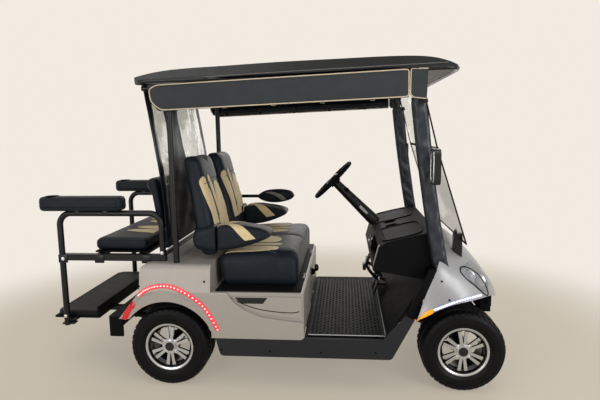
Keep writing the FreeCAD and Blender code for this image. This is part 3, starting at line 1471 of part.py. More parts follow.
def front_bumper():
    """A bowed bumper with a narrow chin between the wheels."""
    front = FRONT + S.front_overhang
    horn = S.bumper_half_width
    sweep, depth = S.bumper_sweep, S.bumper_depth
    corners = [
        (front - sweep, -horn, depth / 8), (front - sweep / 4, -S.bumper_chin, depth * 4),
        (front, -S.bumper_chin / 3, depth * 4), (front, S.bumper_chin / 3, depth * 4),
        (front - sweep / 4, S.bumper_chin, depth * 4), (front - sweep, horn, depth / 8),
        (front - sweep - depth / 3, horn), (front - sweep / 4 - depth, S.bumper_chin),
        (front - sweep / 4 - depth, -S.bumper_chin), (front - sweep - depth / 3, -horn),
    ]
    bar = level_plate("BumperBar", corners, S.bumper_low, S.bumper_high)
    space = box("BumperSpace", front - sweep * 3, front + sweep, S.bumper_chin, horn + sweep,
                S.bumper_low - sweep, S.bumper_horn_low)
    node(cut("FrontBumper", bar, pair("BumperSpaces", space)), "front_bumper")


def trim_line():
    """The ends of the trims' front edge, low and high."""
    low = (FRONT - S.sill_nose_reach, S.sill_nose_height + S.seat_gap)
    high = (REAR + S.trim_top_x + S.trim_width / 2, S.trim_top)
    return low, high


def cowl_side_trims():
    """Dark trims that run up from the sills to the windshield's foot."""
    (low_x, low_z), (front_x, high_z) = trim_line()
    high_x = REAR + S.trim_top_x
    corners = [
        (low_x - S.trim_width, low_z + S.trim_width / 2), (low_x, low_z), (high_x + S.trim_width / 2, high_z),
        (high_x - S.trim_width / 2, high_z),
    ]
    inner = S.floor_half_width + S.seat_gap
    trim = side_plate("Trim", corners, inner - S.sill_thickness, inner + S.sill_thickness / 2)
    node(pair("Trims", trim), "cowl_side_trims")


def toe_face(z):
    """Where the toe board's near face stands at a height."""
    return FRONT - S.toe_start - S.floor_sheet + S.toe_run * (z - FLOOR_LOW - S.seat_gap) / S.toe_rise


def dash_outline():
    """The dash from the side: a leaning face, a sloping top and a foot against the toe board."""
    front = REAR + S.dash_front
    toe_top = FLOOR_LOW + S.toe_rise + S.dash_wall
    upper = spread(DASH_SHARES, REAR + S.dash_rear, front, S.dash_low, S.dash_high)
    return upper + [
        (front, toe_top), (toe_face(toe_top) - S.dash_wall, toe_top),
        (toe_face(S.dash_foot) - S.seat_gap * 3, S.dash_foot),
    ]


def dashboard():
    """The dash: a leaning housing with two open cubbies and two cup wells in its top."""
    corners = dash_outline()
    half = S.dash_half_width
    block = side_plate("DashBlock", corners, -half, half)
    cuts = []
    for name, side in SIDES.items():
        y = S.cubby_centre * side
        if side < 0:
            cuts.append(box(f"Cubby{name}", REAR + S.dash_rear - S.cut_overrun,
                            REAR + S.dash_front - S.dash_wall * 6,
                            y - S.cubby_half_width, y + S.cubby_half_width, S.cubby_low, S.cubby_high))
        well = S.cup_y * side
        cuts.append(rod(f"CupWell{name}", "Z", REAR + S.cup_x, well, cup_floor(),
                        S.cup_depth + S.cut_overrun * 2, S.cup_radius))
    node(cut("Dashboard", block, fuse("DashCuts", cuts)), "dashboard")


def cup_floor():
    """The height of the cup wells' floors in the dash."""
    return S.cubby_high + S.dash_wall / 2


def rear_bumper():
    """A black rear valance across the tail, its ends wrapped round the fenders."""
    half = S.rear_bumper_half
    rear = REAR - S.rear_bumper_reach
    front = REAR - S.tail_reach - S.seat_gap
    corners = [
        (rear, -half, S.body_round / 2), (front, -half), (front, half), (rear, half, S.body_round / 2),
    ]
    blank = level_plate("RearBumperBlank", corners, S.rear_bumper_low, S.rear_bumper_high)
    wall = S.body_wall * 2
    space = box("RearBumperSpace", rear + wall, front + S.cut_overrun, -(half - wall), half - wall,
                S.rear_bumper_low - S.cut_overrun, S.rear_bumper_high - wall)
    arm_top, room = S.footplate_low - S.seat_gap, S.spring_width / 2 + S.hinge_clear / 2
    slots = [space]
    for name, side in SIDES.items():
        at = S.rail_centre * side
        slots.append(box(f"RearBumperSlot{name}", rear - S.cut_overrun, front + S.cut_overrun, at - room,
                         at + room,
                         arm_top - S.footplate_arm - S.hinge_pin, arm_top + S.hinge_pin))
    node(cut("RearBumper", blank, fuse("RearBumperCuts", slots)), "rear_bumper")


# Steering wheel, column and pedals

def column_way():
    """The unit vector up the steering column and the wheel's centre."""
    tilt = math.radians(S.column_tilt.value)
    centre = vector(REAR + S.wheel_x, S.wheel_y, S.wheel_z)
    return centre, FreeCAD.Vector(-math.cos(tilt), 0, math.sin(tilt))


def steering_wheel():
    """The steering wheel: a round rim, three flat spokes, a hub and the shaft below it."""
    centre, way = column_way()
    radius, thin = S.wheel_radius.value, S.wheel_rim_radius.value
    rim = Part.makeTorus(radius, thin)
    hub = Part.makeCylinder(S.wheel_hub_radius.value, S.wheel_hub_depth.value,
                            FreeCAD.Vector(0, 0, -S.wheel_hub_depth.value))
    shaft = Part.makeCylinder(S.shaft_radius.value, (S.shaft_length + S.wheel_hub_depth).value,
                              FreeCAD.Vector(0, 0, -(S.shaft_length + S.wheel_hub_depth).value))
    whole = hub.fuse([rim, shaft])
    for angle in WHEEL_SPOKE_ANGLES:
        arm = Part.makeBox(radius, thin * 2, thin * 0.7, FreeCAD.Vector(0, -thin, -thin * 0.7))
        arm.rotate(FreeCAD.Vector(), FreeCAD.Vector(0, 0, 1), angle)
        whole = whole.fuse(arm)
    whole.Placement = FreeCAD.Placement(centre, FreeCAD.Rotation(FreeCAD.Vector(0, 0, 1), way))
    node(shaped("SteeringWheel", whole), "steering_wheel")


def steering_column():
    """The column cover, bored for the steering shaft."""
    centre, way = column_way()
    top = centre - way * (S.wheel_hub_depth + S.tie_rod_lift).value
    cover = Part.makeCone(S.column_radius.value * 1.2, S.column_radius.value * 1.8,
                          S.column_length.value, top, -way)
    bore = Part.makeCylinder((S.shaft_radius + S.running_gap).value,
                             (S.shaft_length + S.pin_stand).value, top, -way)
    cover = cover.cut(bore)
    space = dash_space()
    node(shaped("SteeringColumn", cover.cut(space)), "steering_column")


def dash_space():
    """The dash's outline as a solid, for what must stop at its face."""
    points = [vector(c[0], -S.dash_half_width, c[1]) for c in dash_outline()]
    face = Part.Face(Part.makePolygon(points + [points[0]]))
    solid = face.extrude(FreeCAD.Vector(0, S.dash_half_width.value * 2, 0))
    return solid.fuse(Part.makeBox(S.column_length.value, S.column_length.value, S.column_length.value,
                                   vector(REAR + S.dash_front, S.wheel_y - S.column_length / 2,
                                          S.dash_low - S.column_length / 2)))


def pedals():
    """Brake and throttle pedals on arms from the toe board."""
    pieces = []
    x = FRONT - S.toe_start - S.pedal_thickness
    low = S.floor_top + S.mat_thickness + S.pedal_thickness
    for name, y in (("Brake", S.brake_y), ("Throttle", S.throttle_y)):
        corners = [
            (x - S.pedal_height / 3, low), (x - S.pedal_height / 3 + S.pedal_thickness, low),
            (x + S.pedal_thickness, low + S.pedal_height), (x, low + S.pedal_height),
        ]
        plate = side_plate(f"{name}Plate", corners, y - S.pedal_width / 2, y + S.pedal_width / 2)
        arm = rod(f"{name}Arm", "X", x - S.pedal_arm, y, low + S.pedal_height * 0.6, S.toe_run / 2,
                  S.pedal_arm)
        pieces.append(cut(f"{name}Pedal", fuse(f"{name}Blank", [plate, arm]), shaped(f"{name}Space",
                                                                                     toe_space())))
    node(together("Pedals", pieces), "pedals")


def toe_space():
    """The room ahead of the toe board's near face."""
    low, high = S.floor_top, FLOOR_LOW + S.toe_rise
    x, top_x = toe_face(low) - S.seat_gap, toe_face(high) - S.seat_gap
    points = [vector(x, -HALF, low), vector(top_x, -HALF, high), vector(top_x + S.toe_run, -HALF, high),
              vector(top_x + S.toe_run, -HALF, low)]
    return Part.Face(Part.makePolygon(points + [points[0]])).extrude(vector(ZERO, S.body_width, ZERO))


def direction_selector():
    """A rotary selector on the pod's front face."""
    x = REAR + S.pod_front + S.seat_gap
    dial = rod("SelectorDial", "X", x, S.selector_y, S.selector_height, S.selector_radius / 2,
               S.selector_radius)
    grip = box("SelectorGrip", x, x + S.selector_radius, S.selector_y - S.selector_radius / 4,
               S.selector_y + S.selector_radius / 4, S.selector_height - S.selector_radius * 0.8,
               S.selector_height + S.selector_radius * 0.8)
    node(fuse("Selector", [dial, grip]), "direction_selector")


# Rear seat kit

def rear_seat_frame():
    """The rear seat's tube frame: posts, side rails, arms and the cross tubes under the cushion."""
    y, radius = S.kit_half_width, S.kit_tube_radius
    half = S.kit_rail_width / 2
    top = ARM_PAD_LOW - S.seat_gap
    post_x = REAR - S.kit_post_x
    rail = box("KitRail", post_x, REAR - S.kit_rail_front, y - half, y + half, BACK_BASE, KIT_RAIL_HIGH)
    post_low = S.footplate_low - S.seat_gap - S.footplate_arm
    arm_foot = REAR - S.kit_rail_front - radius
    points = [vector(post_x, y, post_low), vector(post_x, y, top - radius), vector(arm_foot, y, top - radius),
              vector(arm_foot, y, BACK_BASE)]
    post = shaped("KitPost", tube(points, radius, radius * 4))
    side = fuse("KitSide", [rail, post])
    pieces = [side, mirrored("KitSideTwin", side)]
    deck = FLIP_HINGE_Z + S.hinge_pin
    z = deck - S.seat_gap - radius
    for name, x in (("Rear", S.flip_hinge_x - S.cut_overrun), ("Front", S.deck_front + S.cut_overrun)):
        pieces.append(rod(f"KitCross{name}", "Y", REAR - x, -y, z, y * 2, radius))
    bar = S.hinge_clear
    back_front = REAR - S.kit_back_rear + S.kit_back_thickness
    pieces.append(rod("KitBackFoot", "Y", back_front + S.kit_back_lean - bar, -y,
                      KIT_BACK_LOW - S.seat_gap - bar, y * 2, bar))
    rest_z = between(KIT_BACK_LOW, KIT_BACK_HIGH, KIT_REST_SHARE)
    rest_x = back_front + S.kit_back_lean * (1 - KIT_REST_SHARE) + bar * BAR_SHARE
    pieces.append(rod("KitBackRest", "Y", rest_x, -y, rest_z, y * 2, bar))
    high = S.footplate_low - S.seat_gap
    low = high - S.footplate_arm
    for name, side_y in SIDES.items():
        at = S.rail_centre * side_y
        pieces.append(box(f"KitFoot{name}", post_x - radius, RAIL_END - S.seat_gap,
                          at - S.footplate_arm_width / 2, at + S.footplate_arm_width / 2, low, high))
        pieces += hinge_post(f"FlipHinge{name}", *FLIP_HINGE, S.hinge_y * side_y, z)
        pieces.append(box(f"FlipHingeArm{name}", FLIP_HINGE[0] - S.hinge_radius,
                          FLIP_HINGE[0] + S.cut_overrun,
                          S.hinge_y * side_y - S.hinge_length / 2 - S.hinge_radius,
                          S.hinge_y * side_y + S.hinge_length / 2 + S.hinge_radius,
                          z - S.hinge_radius, z + S.hinge_pin))
    pieces.append(box("KitFootCross", post_x - radius, post_x + radius, -y, y, low, high))
    node(fuse("KitFrame", pieces), "rear_seat_frame")


def rear_armrests():
    """Arm pads along the top of the rear frame, each with a cup well near its end."""
    inner = S.kit_half_width - S.arm_pad_width / 2
    outer = S.kit_half_width + S.arm_pad_width / 2
    corners = [
        (REAR - S.rear_overhang, inner, S.arm_pad_width / 3), (REAR - S.arm_pad_front, inner,
                                                               S.arm_pad_width / 3),
        (REAR - S.arm_pad_front, outer, S.arm_pad_width / 3), (REAR - S.rear_overhang, outer,
                                                               S.arm_pad_width / 3),
    ]
    pad = level_plate("ArmPadRear", corners, ARM_PAD_LOW, ARM_PAD_HIGH)
    well = rod("ArmCup", "Z", REAR - S.arm_cup_x, S.kit_half_width, ARM_PAD_HIGH - S.arm_cup_depth,
               S.arm_cup_depth + S.cut_overrun, S.cup_radius)
    node(pair("ArmPads", cut("ArmPadBored", pad, well)), "rear_armrests")


def rear_backrest():
    """The rear backrest, a thick pad that leans forward against the arms."""
    rear, thick = REAR - S.kit_back_rear, S.kit_back_thickness
    lean = S.kit_back_lean
    corners = [
        (rear + lean, KIT_BACK_LOW, thick / 4), (rear + lean + thick, KIT_BACK_LOW, thick / 4),
        (rear + thick, KIT_BACK_HIGH, thick / 3), (rear, KIT_BACK_HIGH, thick / 3),
    ]
    half = S.kit_back_half
    node(side_plate("KitBack", corners, -half, half), "rear_backrest")


def footplate():
    """The rear footplate: a tread sheet with an upstanding front edge."""
    rear, front = REAR - S.rear_overhang, REAR - S.footplate_front
    sheet = S.footplate_sheet
    low = S.footplate_low
    corners = [
        (rear, low, sheet / 2), (front, low), (front, S.footplate_high), (front - sheet, S.footplate_high),
        (front - sheet, low + sheet), (rear, low + sheet),
    ]
    node(side_plate("Footplate", corners, -S.footplate_half, S.footplate_half), "footplate")


def rear_flip_seat():
    """The deck panel on its hinge and the rear cushion on top of it."""
    hinge_x, hinge_z = FLIP_HINGE
    base = hinge_z + S.hinge_pin
    start, front = hinge_x + S.hinge_clear + S.hinge_radius, REAR - S.deck_front
    half = S.deck_half
    panel = box("DeckSheet", start, front, -half, half, base, base + S.deck_panel)
    pieces, bores = [panel], []
    for name, side in SIDES.items():
        low, high = hinge_x, start + S.hinge_clear
        y, reach = S.hinge_y * side, S.hinge_length / 2
        barrel = rod(f"Flip{name}Barrel", "Y", hinge_x, y - reach, hinge_z, reach * 2, S.hinge_radius)
        leaf = box(f"Flip{name}Leaf", low, high, y - reach, y + reach, hinge_z + S.hinge_pin,
                   hinge_z + S.hinge_radius)
        bore = rod(f"Flip{name}Bore", "Y", hinge_x, y - reach * 2, hinge_z, reach * 4,
                   S.hinge_pin + S.running_gap)
        pieces += [barrel, leaf]
        bores.append(bore)
    node(cut("DeckPanel", fuse("DeckBlank", pieces), fuse("DeckBores", bores)), "rear_deck_panel")
    low = base + S.deck_panel + S.seat_gap
    high = low + S.rear_cushion_height
    round_edge = S.rear_cushion_height / 3
    corners = [(start, low), (front, low), (front, high, round_edge), (start, high, round_edge)]
    node(side_plate("RearCushion", corners, -half, half), "rear_seat_cushion")


def tail_lamp_block(name, gap, inner, outer):
    """The outline of a tail lamp, grown by a gap."""
    corners = spread(TAIL_LAMP_SHARES, REAR - S.tail_lamp_rear - gap, REAR - S.tail_lamp_front + gap,
                     S.tail_lamp_low - gap, S.tail_lamp_high + gap)
    return side_plate(name, corners, inner, outer)


def tail_lamps():
    """Red lamps let into the rear fenders' sides."""
    lamp = tail_lamp_block("TailLamp", ZERO, HALF - S.body_wall, HALF + S.strip_depth)
    node(pair("TailLamps", lamp), "tail_lamps")


def main():
    """Builds every piece, checks it and writes it out."""
    for build in (
        chassis_frame, rear_axle, rear_springs, front_axle, front_springs, steering_rack, tie_rod, wheels,
        floor_pan, floor_mat, sills, battery_block, rear_body, seat_pod, pod_inserts, front_seat_cushion,
        hip_restraint, roof, struts, roof_frame, strut_sleeves, rolled_curtains, rear_curtain,
        windshield, windshield_clamps,
        mirrors, front_cowl, headlamps, front_bumper, cowl_side_trims, dashboard, rear_bumper, steering_wheel,
        steering_column, pedals, direction_selector, rear_seat_frame, rear_armrests, rear_backrest, footplate,
        rear_flip_seat, tail_lamps,
    ):
        build()
    for name, side in SIDES.items():
        knuckle(name, side)
    seat_back("driver", SIDES["left"])
    seat_back("passenger", SIDES["right"])
    DOC.recompute()
    failed = [obj.Name for obj in DOC.Objects if {"Invalid", "Error"} & set(obj.State)]
    for piece in NODES:
        if piece.Shape.isNull() or not piece.Shape.isValid() or not piece.Shape.Solids:
            failed.append(piece.Label)
    if failed:
        raise SystemExit("These did not build: " + ", ".join(failed))
    os.makedirs("parts", exist_ok=True)
    for piece in NODES:
        piece.Shape.exportStep(f"parts/{piece.Label}.step")
        print(piece.Label, len(piece.Shape.Solids), round(piece.Shape.Volume / 1e9, 6))


main()
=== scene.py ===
"""A four-seat golf cart with a roof, side covers and a flip seat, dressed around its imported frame.

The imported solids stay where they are. This file gives them their finishes and adds the soft goods, tyres,
lamps, lines and small hardware that stand on them. Lengths are metres: x forward, y to the left, z up.
"""
import json
import logging
import math
from contextlib import contextmanager
from dataclasses import dataclass
from enum import Enum
from typing import Callable, Iterator, Sequence

import bpy
from mathutils import Matrix, Vector
from mathutils.bvhtree import BVHTree
from mathutils.kdtree import KDTree

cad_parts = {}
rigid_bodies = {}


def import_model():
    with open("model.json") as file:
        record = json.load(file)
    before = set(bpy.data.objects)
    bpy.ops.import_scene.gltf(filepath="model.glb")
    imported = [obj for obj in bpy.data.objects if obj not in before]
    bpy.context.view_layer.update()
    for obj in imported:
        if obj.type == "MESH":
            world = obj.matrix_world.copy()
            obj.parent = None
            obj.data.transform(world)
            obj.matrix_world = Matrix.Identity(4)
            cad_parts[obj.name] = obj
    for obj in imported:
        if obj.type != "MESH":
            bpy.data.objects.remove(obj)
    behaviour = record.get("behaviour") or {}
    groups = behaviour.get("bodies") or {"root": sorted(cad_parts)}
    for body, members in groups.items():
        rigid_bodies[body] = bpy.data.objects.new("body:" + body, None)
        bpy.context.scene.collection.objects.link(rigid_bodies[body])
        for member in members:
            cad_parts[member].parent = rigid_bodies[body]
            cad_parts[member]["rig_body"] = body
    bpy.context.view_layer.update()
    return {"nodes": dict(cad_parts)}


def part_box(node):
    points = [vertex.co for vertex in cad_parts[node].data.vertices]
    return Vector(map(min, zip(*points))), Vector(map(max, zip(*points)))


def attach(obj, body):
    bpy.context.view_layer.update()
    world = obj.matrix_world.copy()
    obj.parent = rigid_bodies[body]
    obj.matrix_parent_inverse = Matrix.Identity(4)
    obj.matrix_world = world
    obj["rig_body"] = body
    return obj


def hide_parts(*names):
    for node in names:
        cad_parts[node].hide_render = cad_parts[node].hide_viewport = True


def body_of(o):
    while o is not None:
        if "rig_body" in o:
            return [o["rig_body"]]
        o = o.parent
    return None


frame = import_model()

LOG = logging.getLogger("golf_cart")
Point = tuple[float, float, float]
Flat = tuple[float, float]
MM = 0.001
REAR_AXLE = -0.5625
FRONT_AXLE = 1.0775
AXLE_HEIGHT = 0.230
BESIDE = 0.75  # Further out than the body on either side: where points start that are dropped on it.
FOAM_STEPS = 20  # Frames in which a cover is blown out.
DOWN = (0.0, 0.0, -1.0)
AHEAD = (1.0, 0.0, 0.0)


class Side(Enum):
    """The two sides of the cart, by the sign of y."""

    LEFT = 1
    RIGHT = -1

    @property
    def word(self) -> str:
        """The side in the names of pieces."""
        return self.name.lower()

    @property
    def outward(self) -> Point:
        """The way off the cart on this side."""
        return (0.0, float(self.value), 0.0)

    @property
    def inward(self) -> Point:
        """The way from this side to the cart's middle."""
        return (0.0, -float(self.value), 0.0)


class End(Enum):
    """The two ends of the cart."""

    FRONT = "front"
    REAR = "rear"


def linear(colour: str) -> tuple[float, float, float, float]:
    """Turns an sRGB hex colour into a linear one.

    Args:
        colour: A colour such as #B9B4AB.

    Returns:
        Red, green, blue and an alpha of one.
    """
    parts = [int(colour[i:i + 2], 16) / 255 for i in (1, 3, 5)]
    return tuple(p / 12.92 if p <= 0.04045 else ((p + 0.055) / 1.055) ** 2.4 for p in parts) + (1.0,)


def add(tree: bpy.types.NodeTree, kind: str, links: dict | None = None, **settings: object) -> bpy.types.Node:
    """Adds a node with its settings, its input values and its links.

    Args:
        tree: The material's or world's node tree.
        kind: The node's type.
        links: Input name or number to a value or to the socket that feeds it.
        **settings: Properties of the node.

    Returns:
        The new node.
    """
    node = tree.nodes.new(kind)
    for key, value in settings.items():
        setattr(node, key, value)
    for key, value in (links or {}).items():
        if isinstance(value, bpy.types.NodeSocket):
            tree.links.new(value, node.inputs[key])
        else:
            node.inputs[key].default_value = value
    return node


def maths(tree: bpy.types.NodeTree, operation: str, *values: float | bpy.types.NodeSocket) -> bpy.types.NodeSocket:
    """Adds a math node on some values and gives its result."""
    return add(tree, "ShaderNodeMath", dict(enumerate(values)), operation=operation).outputs["Value"]


@dataclass(frozen=True)
class Finish:
    """A surface as a maker would name it, with a fine grain, a slow change of tone and a slow change of gloss."""

    name: str
    colour: str
    shade: str
    roughness: float = 0.5
    metallic: float = 0.0
    grain_mm: float = 1.0
    grain_height_mm: float = 0.05
    patch_mm: float = 60.0
    roughness_swing: float = 0.08
    coat: float = 0.0
    coat_roughness: float = 0.05
    sheen: float = 0.0
    ior: float = 1.5
    gloss: float = 0.5

    def material(self) -> bpy.types.Material:
        """Makes the material once and gives the same one afterwards.

        Returns:
            The material.
        """
        known = bpy.data.materials.get(self.name)
        if known:
            return known
        made = bpy.data.materials.new(self.name)
        made.use_nodes = True
        tree = made.node_tree
        shader = tree.nodes["Principled BSDF"]
        shader.inputs["Metallic"].default_value = self.metallic
        if self.metallic < 0.5:
            shader.inputs["IOR"].default_value = self.ior
        shader.inputs["Specular IOR Level"].default_value = self.gloss
        shader.inputs["Coat Weight"].default_value = self.coat
        shader.inputs["Coat Roughness"].default_value = self.coat_roughness
        shader.inputs["Sheen Weight"].default_value = self.sheen
        place = add(tree, "ShaderNodeTexCoord").outputs["Object"]
        tone = self.tone(tree, place)
        tree.links.new(tone, shader.inputs["Base Color"])
        cloud = add(tree, "ShaderNodeTexNoise", {"Vector": place, "Scale": 1000 / self.patch_mm, "Detail": 3.0})
        swing = add(tree, "ShaderNodeMapRange", {
            "Value": cloud.outputs["Fac"], "To Min": max(0.02, self.roughness - self.roughness_swing),
            "To Max": min(1.0, self.roughness + self.roughness_swing)})
        tree.links.new(swing.outputs["Result"], shader.inputs["Roughness"])
        height = self.height(tree, place)
        if height is not None:
            bump = add(tree, "ShaderNodeBump", {
                "Height": height, "Distance": self.grain_height_mm * MM, "Strength": 1.0})
            tree.links.new(bump.outputs["Normal"], shader.inputs["Normal"])
        self.extras(tree, shader, place)
        return made

    def tone(self, tree: bpy.types.NodeTree, place: bpy.types.NodeSocket) -> bpy.types.NodeSocket:
        """Gives the base colour: the colour, drifting towards its shade in slow patches.

        Args:
            tree: The material's node tree.
            place: The socket with the place on the object.

        Returns:
            The socket with the colour.
        """
        cloud = add(tree, "ShaderNodeTexNoise", {"Vector": place, "Scale": 700 / self.patch_mm, "Detail": 4.0})
        mix = add(tree, "ShaderNodeMix", {
            "Factor": cloud.outputs["Fac"], 6: linear(self.colour), 7: linear(self.shade)}, data_type="RGBA")
        return mix.outputs[2]

    def height(self, tree: bpy.types.NodeTree, place: bpy.types.NodeSocket) -> bpy.types.NodeSocket | None:
        """Gives the relief from 0 to 1: a fine even grain.

        Args:
            tree: The material's node tree.
            place: The socket with the place on the object.

        Returns:
            The socket with the relief, or None where there is none.
        """
        if not self.grain_height_mm:
            return None
        noise = add(tree, "ShaderNodeTexNoise", {"Vector": place, "Scale": 1000 / self.grain_mm, "Detail": 2.0})
        return noise.outputs["Fac"]

    def extras(self, tree: bpy.types.NodeTree, shader: bpy.types.Node, place: bpy.types.NodeSocket) -> None:
        """Adds what only some finishes have."""

    def dress(self, piece: bpy.types.Object) -> bpy.types.Object:
        """Puts this finish on every face of a piece."""
        piece.data.materials.clear()
        piece.data.materials.append(self.material())
        return piece


@dataclass(frozen=True)
class Paint(Finish):
    """Metallic paint under clear coat: fine bright flakes, a soft sheen below and a sharp reflection on top."""

    flake_mm: float = 0.5

    def tone(self, tree: bpy.types.NodeTree, place: bpy.types.NodeSocket) -> bpy.types.NodeSocket:
        """Gives the paint's colour with flakes a little lighter than it. Drawn coarser than real flakes.

        Args:
            tree: The material's node tree.
            place: The socket with the place on the object.

        Returns:
            The socket with the colour.
        """
        flakes = add(tree, "ShaderNodeTexVoronoi", {"Vector": place, "Scale": 1000 / self.flake_mm / 2})
        spread = add(tree, "ShaderNodeMapRange", {"Value": flakes.outputs["Distance"], "From Max": 0.8})
        mix = add(tree, "ShaderNodeMix", {
            "Factor": spread.outputs["Result"], 6: linear(self.colour), 7: linear(self.shade)}, data_type="RGBA")
        return mix.outputs[2]


@dataclass(frozen=True)
class Vinyl(Finish):
    """Marine vinyl: a leather-like pebble of shallow cells with a satin gloss."""

    def height(self, tree: bpy.types.NodeTree, place: bpy.types.NodeSocket) -> bpy.types.NodeSocket:
        """Gives pebbles: rounded cells with a finer noise over them.

        Args:
            tree: The material's node tree.
            place: The socket with the place on the object.

        Returns:
            The socket with the relief.
        """
        cells = add(tree, "ShaderNodeTexVoronoi", {"Vector": place, "Scale": 1000 / self.grain_mm},
                    feature="SMOOTH_F1")
        slow = add(tree, "ShaderNodeTexNoise", {"Vector": place, "Scale": 18.0, "Detail": 3.0})
        return maths(tree, "MULTIPLY_ADD", slow.outputs["Fac"], 6.0, cells.outputs["Distance"])


@dataclass(frozen=True)
class Woven(Finish):
    """Coated plain-weave cloth: threads crossing in two directions."""

    def height(self, tree: bpy.types.NodeTree, place: bpy.types.NodeSocket) -> bpy.types.NodeSocket:
        """Gives the weave as two sets of waves, drawn at the spacing of its threads.

        Args:
            tree: The material's node tree.
            place: The socket with the place on the object.

        Returns:
            The socket with the relief.
        """
        turned = add(tree, "ShaderNodeMapping", {"Vector": place, "Rotation": (0.0, math.pi / 2, 0.0)})
        waves = [add(tree, "ShaderNodeTexWave", {"Vector": source, "Scale": 1000 / self.grain_mm / 6.28,
                                                 "Distortion": 0.4, "Detail": 1.0}, bands_direction="X")
                 for source in (place, turned.outputs["Vector"])]
        return maths(tree, "MAXIMUM", waves[0].outputs["Fac"], waves[1].outputs["Fac"])


@dataclass(frozen=True)
class Clear(Finish):
    """Clear plastic sheet or lens: light goes through, with a tint in its thickness."""

    clearness: float = 1.0
    alpha: float = 1.0

    def extras(self, tree: bpy.types.NodeTree, shader: bpy.types.Node, place: bpy.types.NodeSocket) -> None:
        """Lets light through."""
        shader.inputs["Transmission Weight"].default_value = self.clearness
        shader.inputs["Alpha"].default_value = self.alpha


@dataclass(frozen=True)
class Glow(Finish):
    """A lit lens: its colour shines a little on its own."""

    light: str = "#FFFFFF"
    strength: float = 1.0

    def extras(self, tree: bpy.types.NodeTree, shader: bpy.types.Node, place: bpy.types.NodeSocket) -> None:
        """Adds the lens's own light."""
        shader.inputs["Emission Color"].default_value = linear(self.light)
        shader.inputs["Emission Strength"].default_value = self.strength


@dataclass(frozen=True)
class TwoTone(Finish):
    """A part with one tone on its outer face and another in its pockets or on its underside.

    The face is where the chosen object axis is past a level on the outward side, seen from the part's middle plane.
    """

    other: str = "#0A0A0B"
    other_roughness: float = 0.3
    other_metallic: float = 0.0
    axis: int = 1
    level: float = 0.5
    use_normal: bool = False

    def extras(self, tree: bpy.types.NodeTree, shader: bpy.types.Node, place: bpy.types.NodeSocket) -> None:
        """Mixes a second shader in where the face isn't.

        Args:
            tree: The material's node tree.
            shader: The material's main shader.
            place: The socket with the place on the object.
        """
        source = place
        if self.use_normal:
            source = add(tree, "ShaderNodeTexCoord").outputs["Normal"]
        split = add(tree, "ShaderNodeSeparateXYZ", {"Vector": source})
        size = split.outputs[self.axis]
        if not self.use_normal:
            size = maths(tree, "ABSOLUTE", size)
        past = self.mask(tree, place, maths(tree, "GREATER_THAN", size, self.level))
        second = add(tree, "ShaderNodeBsdfPrincipled", {
            "Base Color": linear(self.other), "Roughness": self.other_roughness, "Metallic": self.other_metallic})
        mix = add(tree, "ShaderNodeMixShader", {
            0: past, 1: second.outputs["BSDF"], 2: shader.outputs["BSDF"]})
        tree.links.new(mix.outputs["Shader"], tree.nodes["Material Output"].inputs["Surface"])

    def mask(self, tree: bpy.types.NodeTree, place: bpy.types.NodeSocket,
             face: bpy.types.NodeSocket) -> bpy.types.NodeSocket:
        """Gives the face as it is; a kind of finish may narrow it."""
        return face


@dataclass(frozen=True)
class WheelFace(TwoTone):
    """A wheel machined bright on its spokes and on a thin lip, with gloss black hub, pockets and ring between them."""

    centre: Flat = (0.0, 0.0)
    lip: float = 0.1265
    ring: float = 0.1135
    hub: float = 0.026

    def mask(self, tree: bpy.types.NodeTree, place: bpy.types.NodeSocket,
             face: bpy.types.NodeSocket) -> bpy.types.NodeSocket:
        """Leaves the face bright only inside the black ring or outside it, and beyond the hub.

        Args:
            tree: The material's node tree.
            place: The socket with the place on the object.
            face: The socket that says where the face is.

        Returns:
            The socket with the mask.
        """
        split = add(tree, "ShaderNodeSeparateXYZ", {"Vector": place})
        shifted = [maths(tree, "SUBTRACT", split.outputs[k], c) for k, c in zip((0, 2), self.centre)]
        flat = add(tree, "ShaderNodeCombineXYZ", {"X": shifted[0], "Y": shifted[1]})
        far = add(tree, "ShaderNodeVectorMath", {0: flat.outputs["Vector"]}, operation="LENGTH").outputs["Value"]
        beyond = maths(tree, "GREATER_THAN", far, self.lip)
        within = maths(tree, "LESS_THAN", far, self.ring)
        off_hub = maths(tree, "GREATER_THAN", far, self.hub)
        spokes = maths(tree, "MULTIPLY", within, off_hub)
        return maths(tree, "MULTIPLY", face, maths(tree, "MAXIMUM", spokes, beyond))


# Silver metallic paint on the rear body: a warm grey with a soft, wide highlight.
BODY_PAINT = Paint("silver_metallic_paint", "#918A84", "#ABA49E", roughness=0.46, metallic=0.2, coat=0.15,
                   coat_roughness=0.22, grain_height_mm=0.0, gloss=0.4)
# The same kind of paint on the cowl: cooler, brighter where it turns to the light.
COWL_PAINT = Paint("light_silver_metallic_paint", "#8B8C8F", "#A5A6A9", roughness=0.42, metallic=0.2, coat=0.2,
                   coat_roughness=0.18, grain_height_mm=0.0, gloss=0.4)
# Grained plastic of dash and trims: dull black that shows its pebble only at a low angle.
MOULDED_BLACK = Finish("grained_black_polypropylene", "#07080A", "#0C0D10", roughness=0.6, grain_mm=1.6,
                       grain_height_mm=0.08, gloss=0.07)
# Coarser plastic of the sills: a shade lighter, with a rougher grain.
SILL_BLACK = Finish("coarse_black_polypropylene", "#15161A", "#1D1E22", roughness=0.6, grain_mm=1.8,
                    grain_height_mm=0.1, gloss=0.3)
# Glossy plastic of caps and knobs: deep black with a clear reflection.
GLOSS_BLACK = Finish("glossy_black_abs", "#060708", "#0B0C0E", roughness=0.16, grain_height_mm=0.0, gloss=0.4,
                     coat=0.15)
# Powder coat on tubes: black with a soft bright line along each.
FRAME_BLACK = Finish("black_powder_coat", "#08090B", "#0D0E11", roughness=0.32, grain_mm=0.9,
                     grain_height_mm=0.03, gloss=0.3)
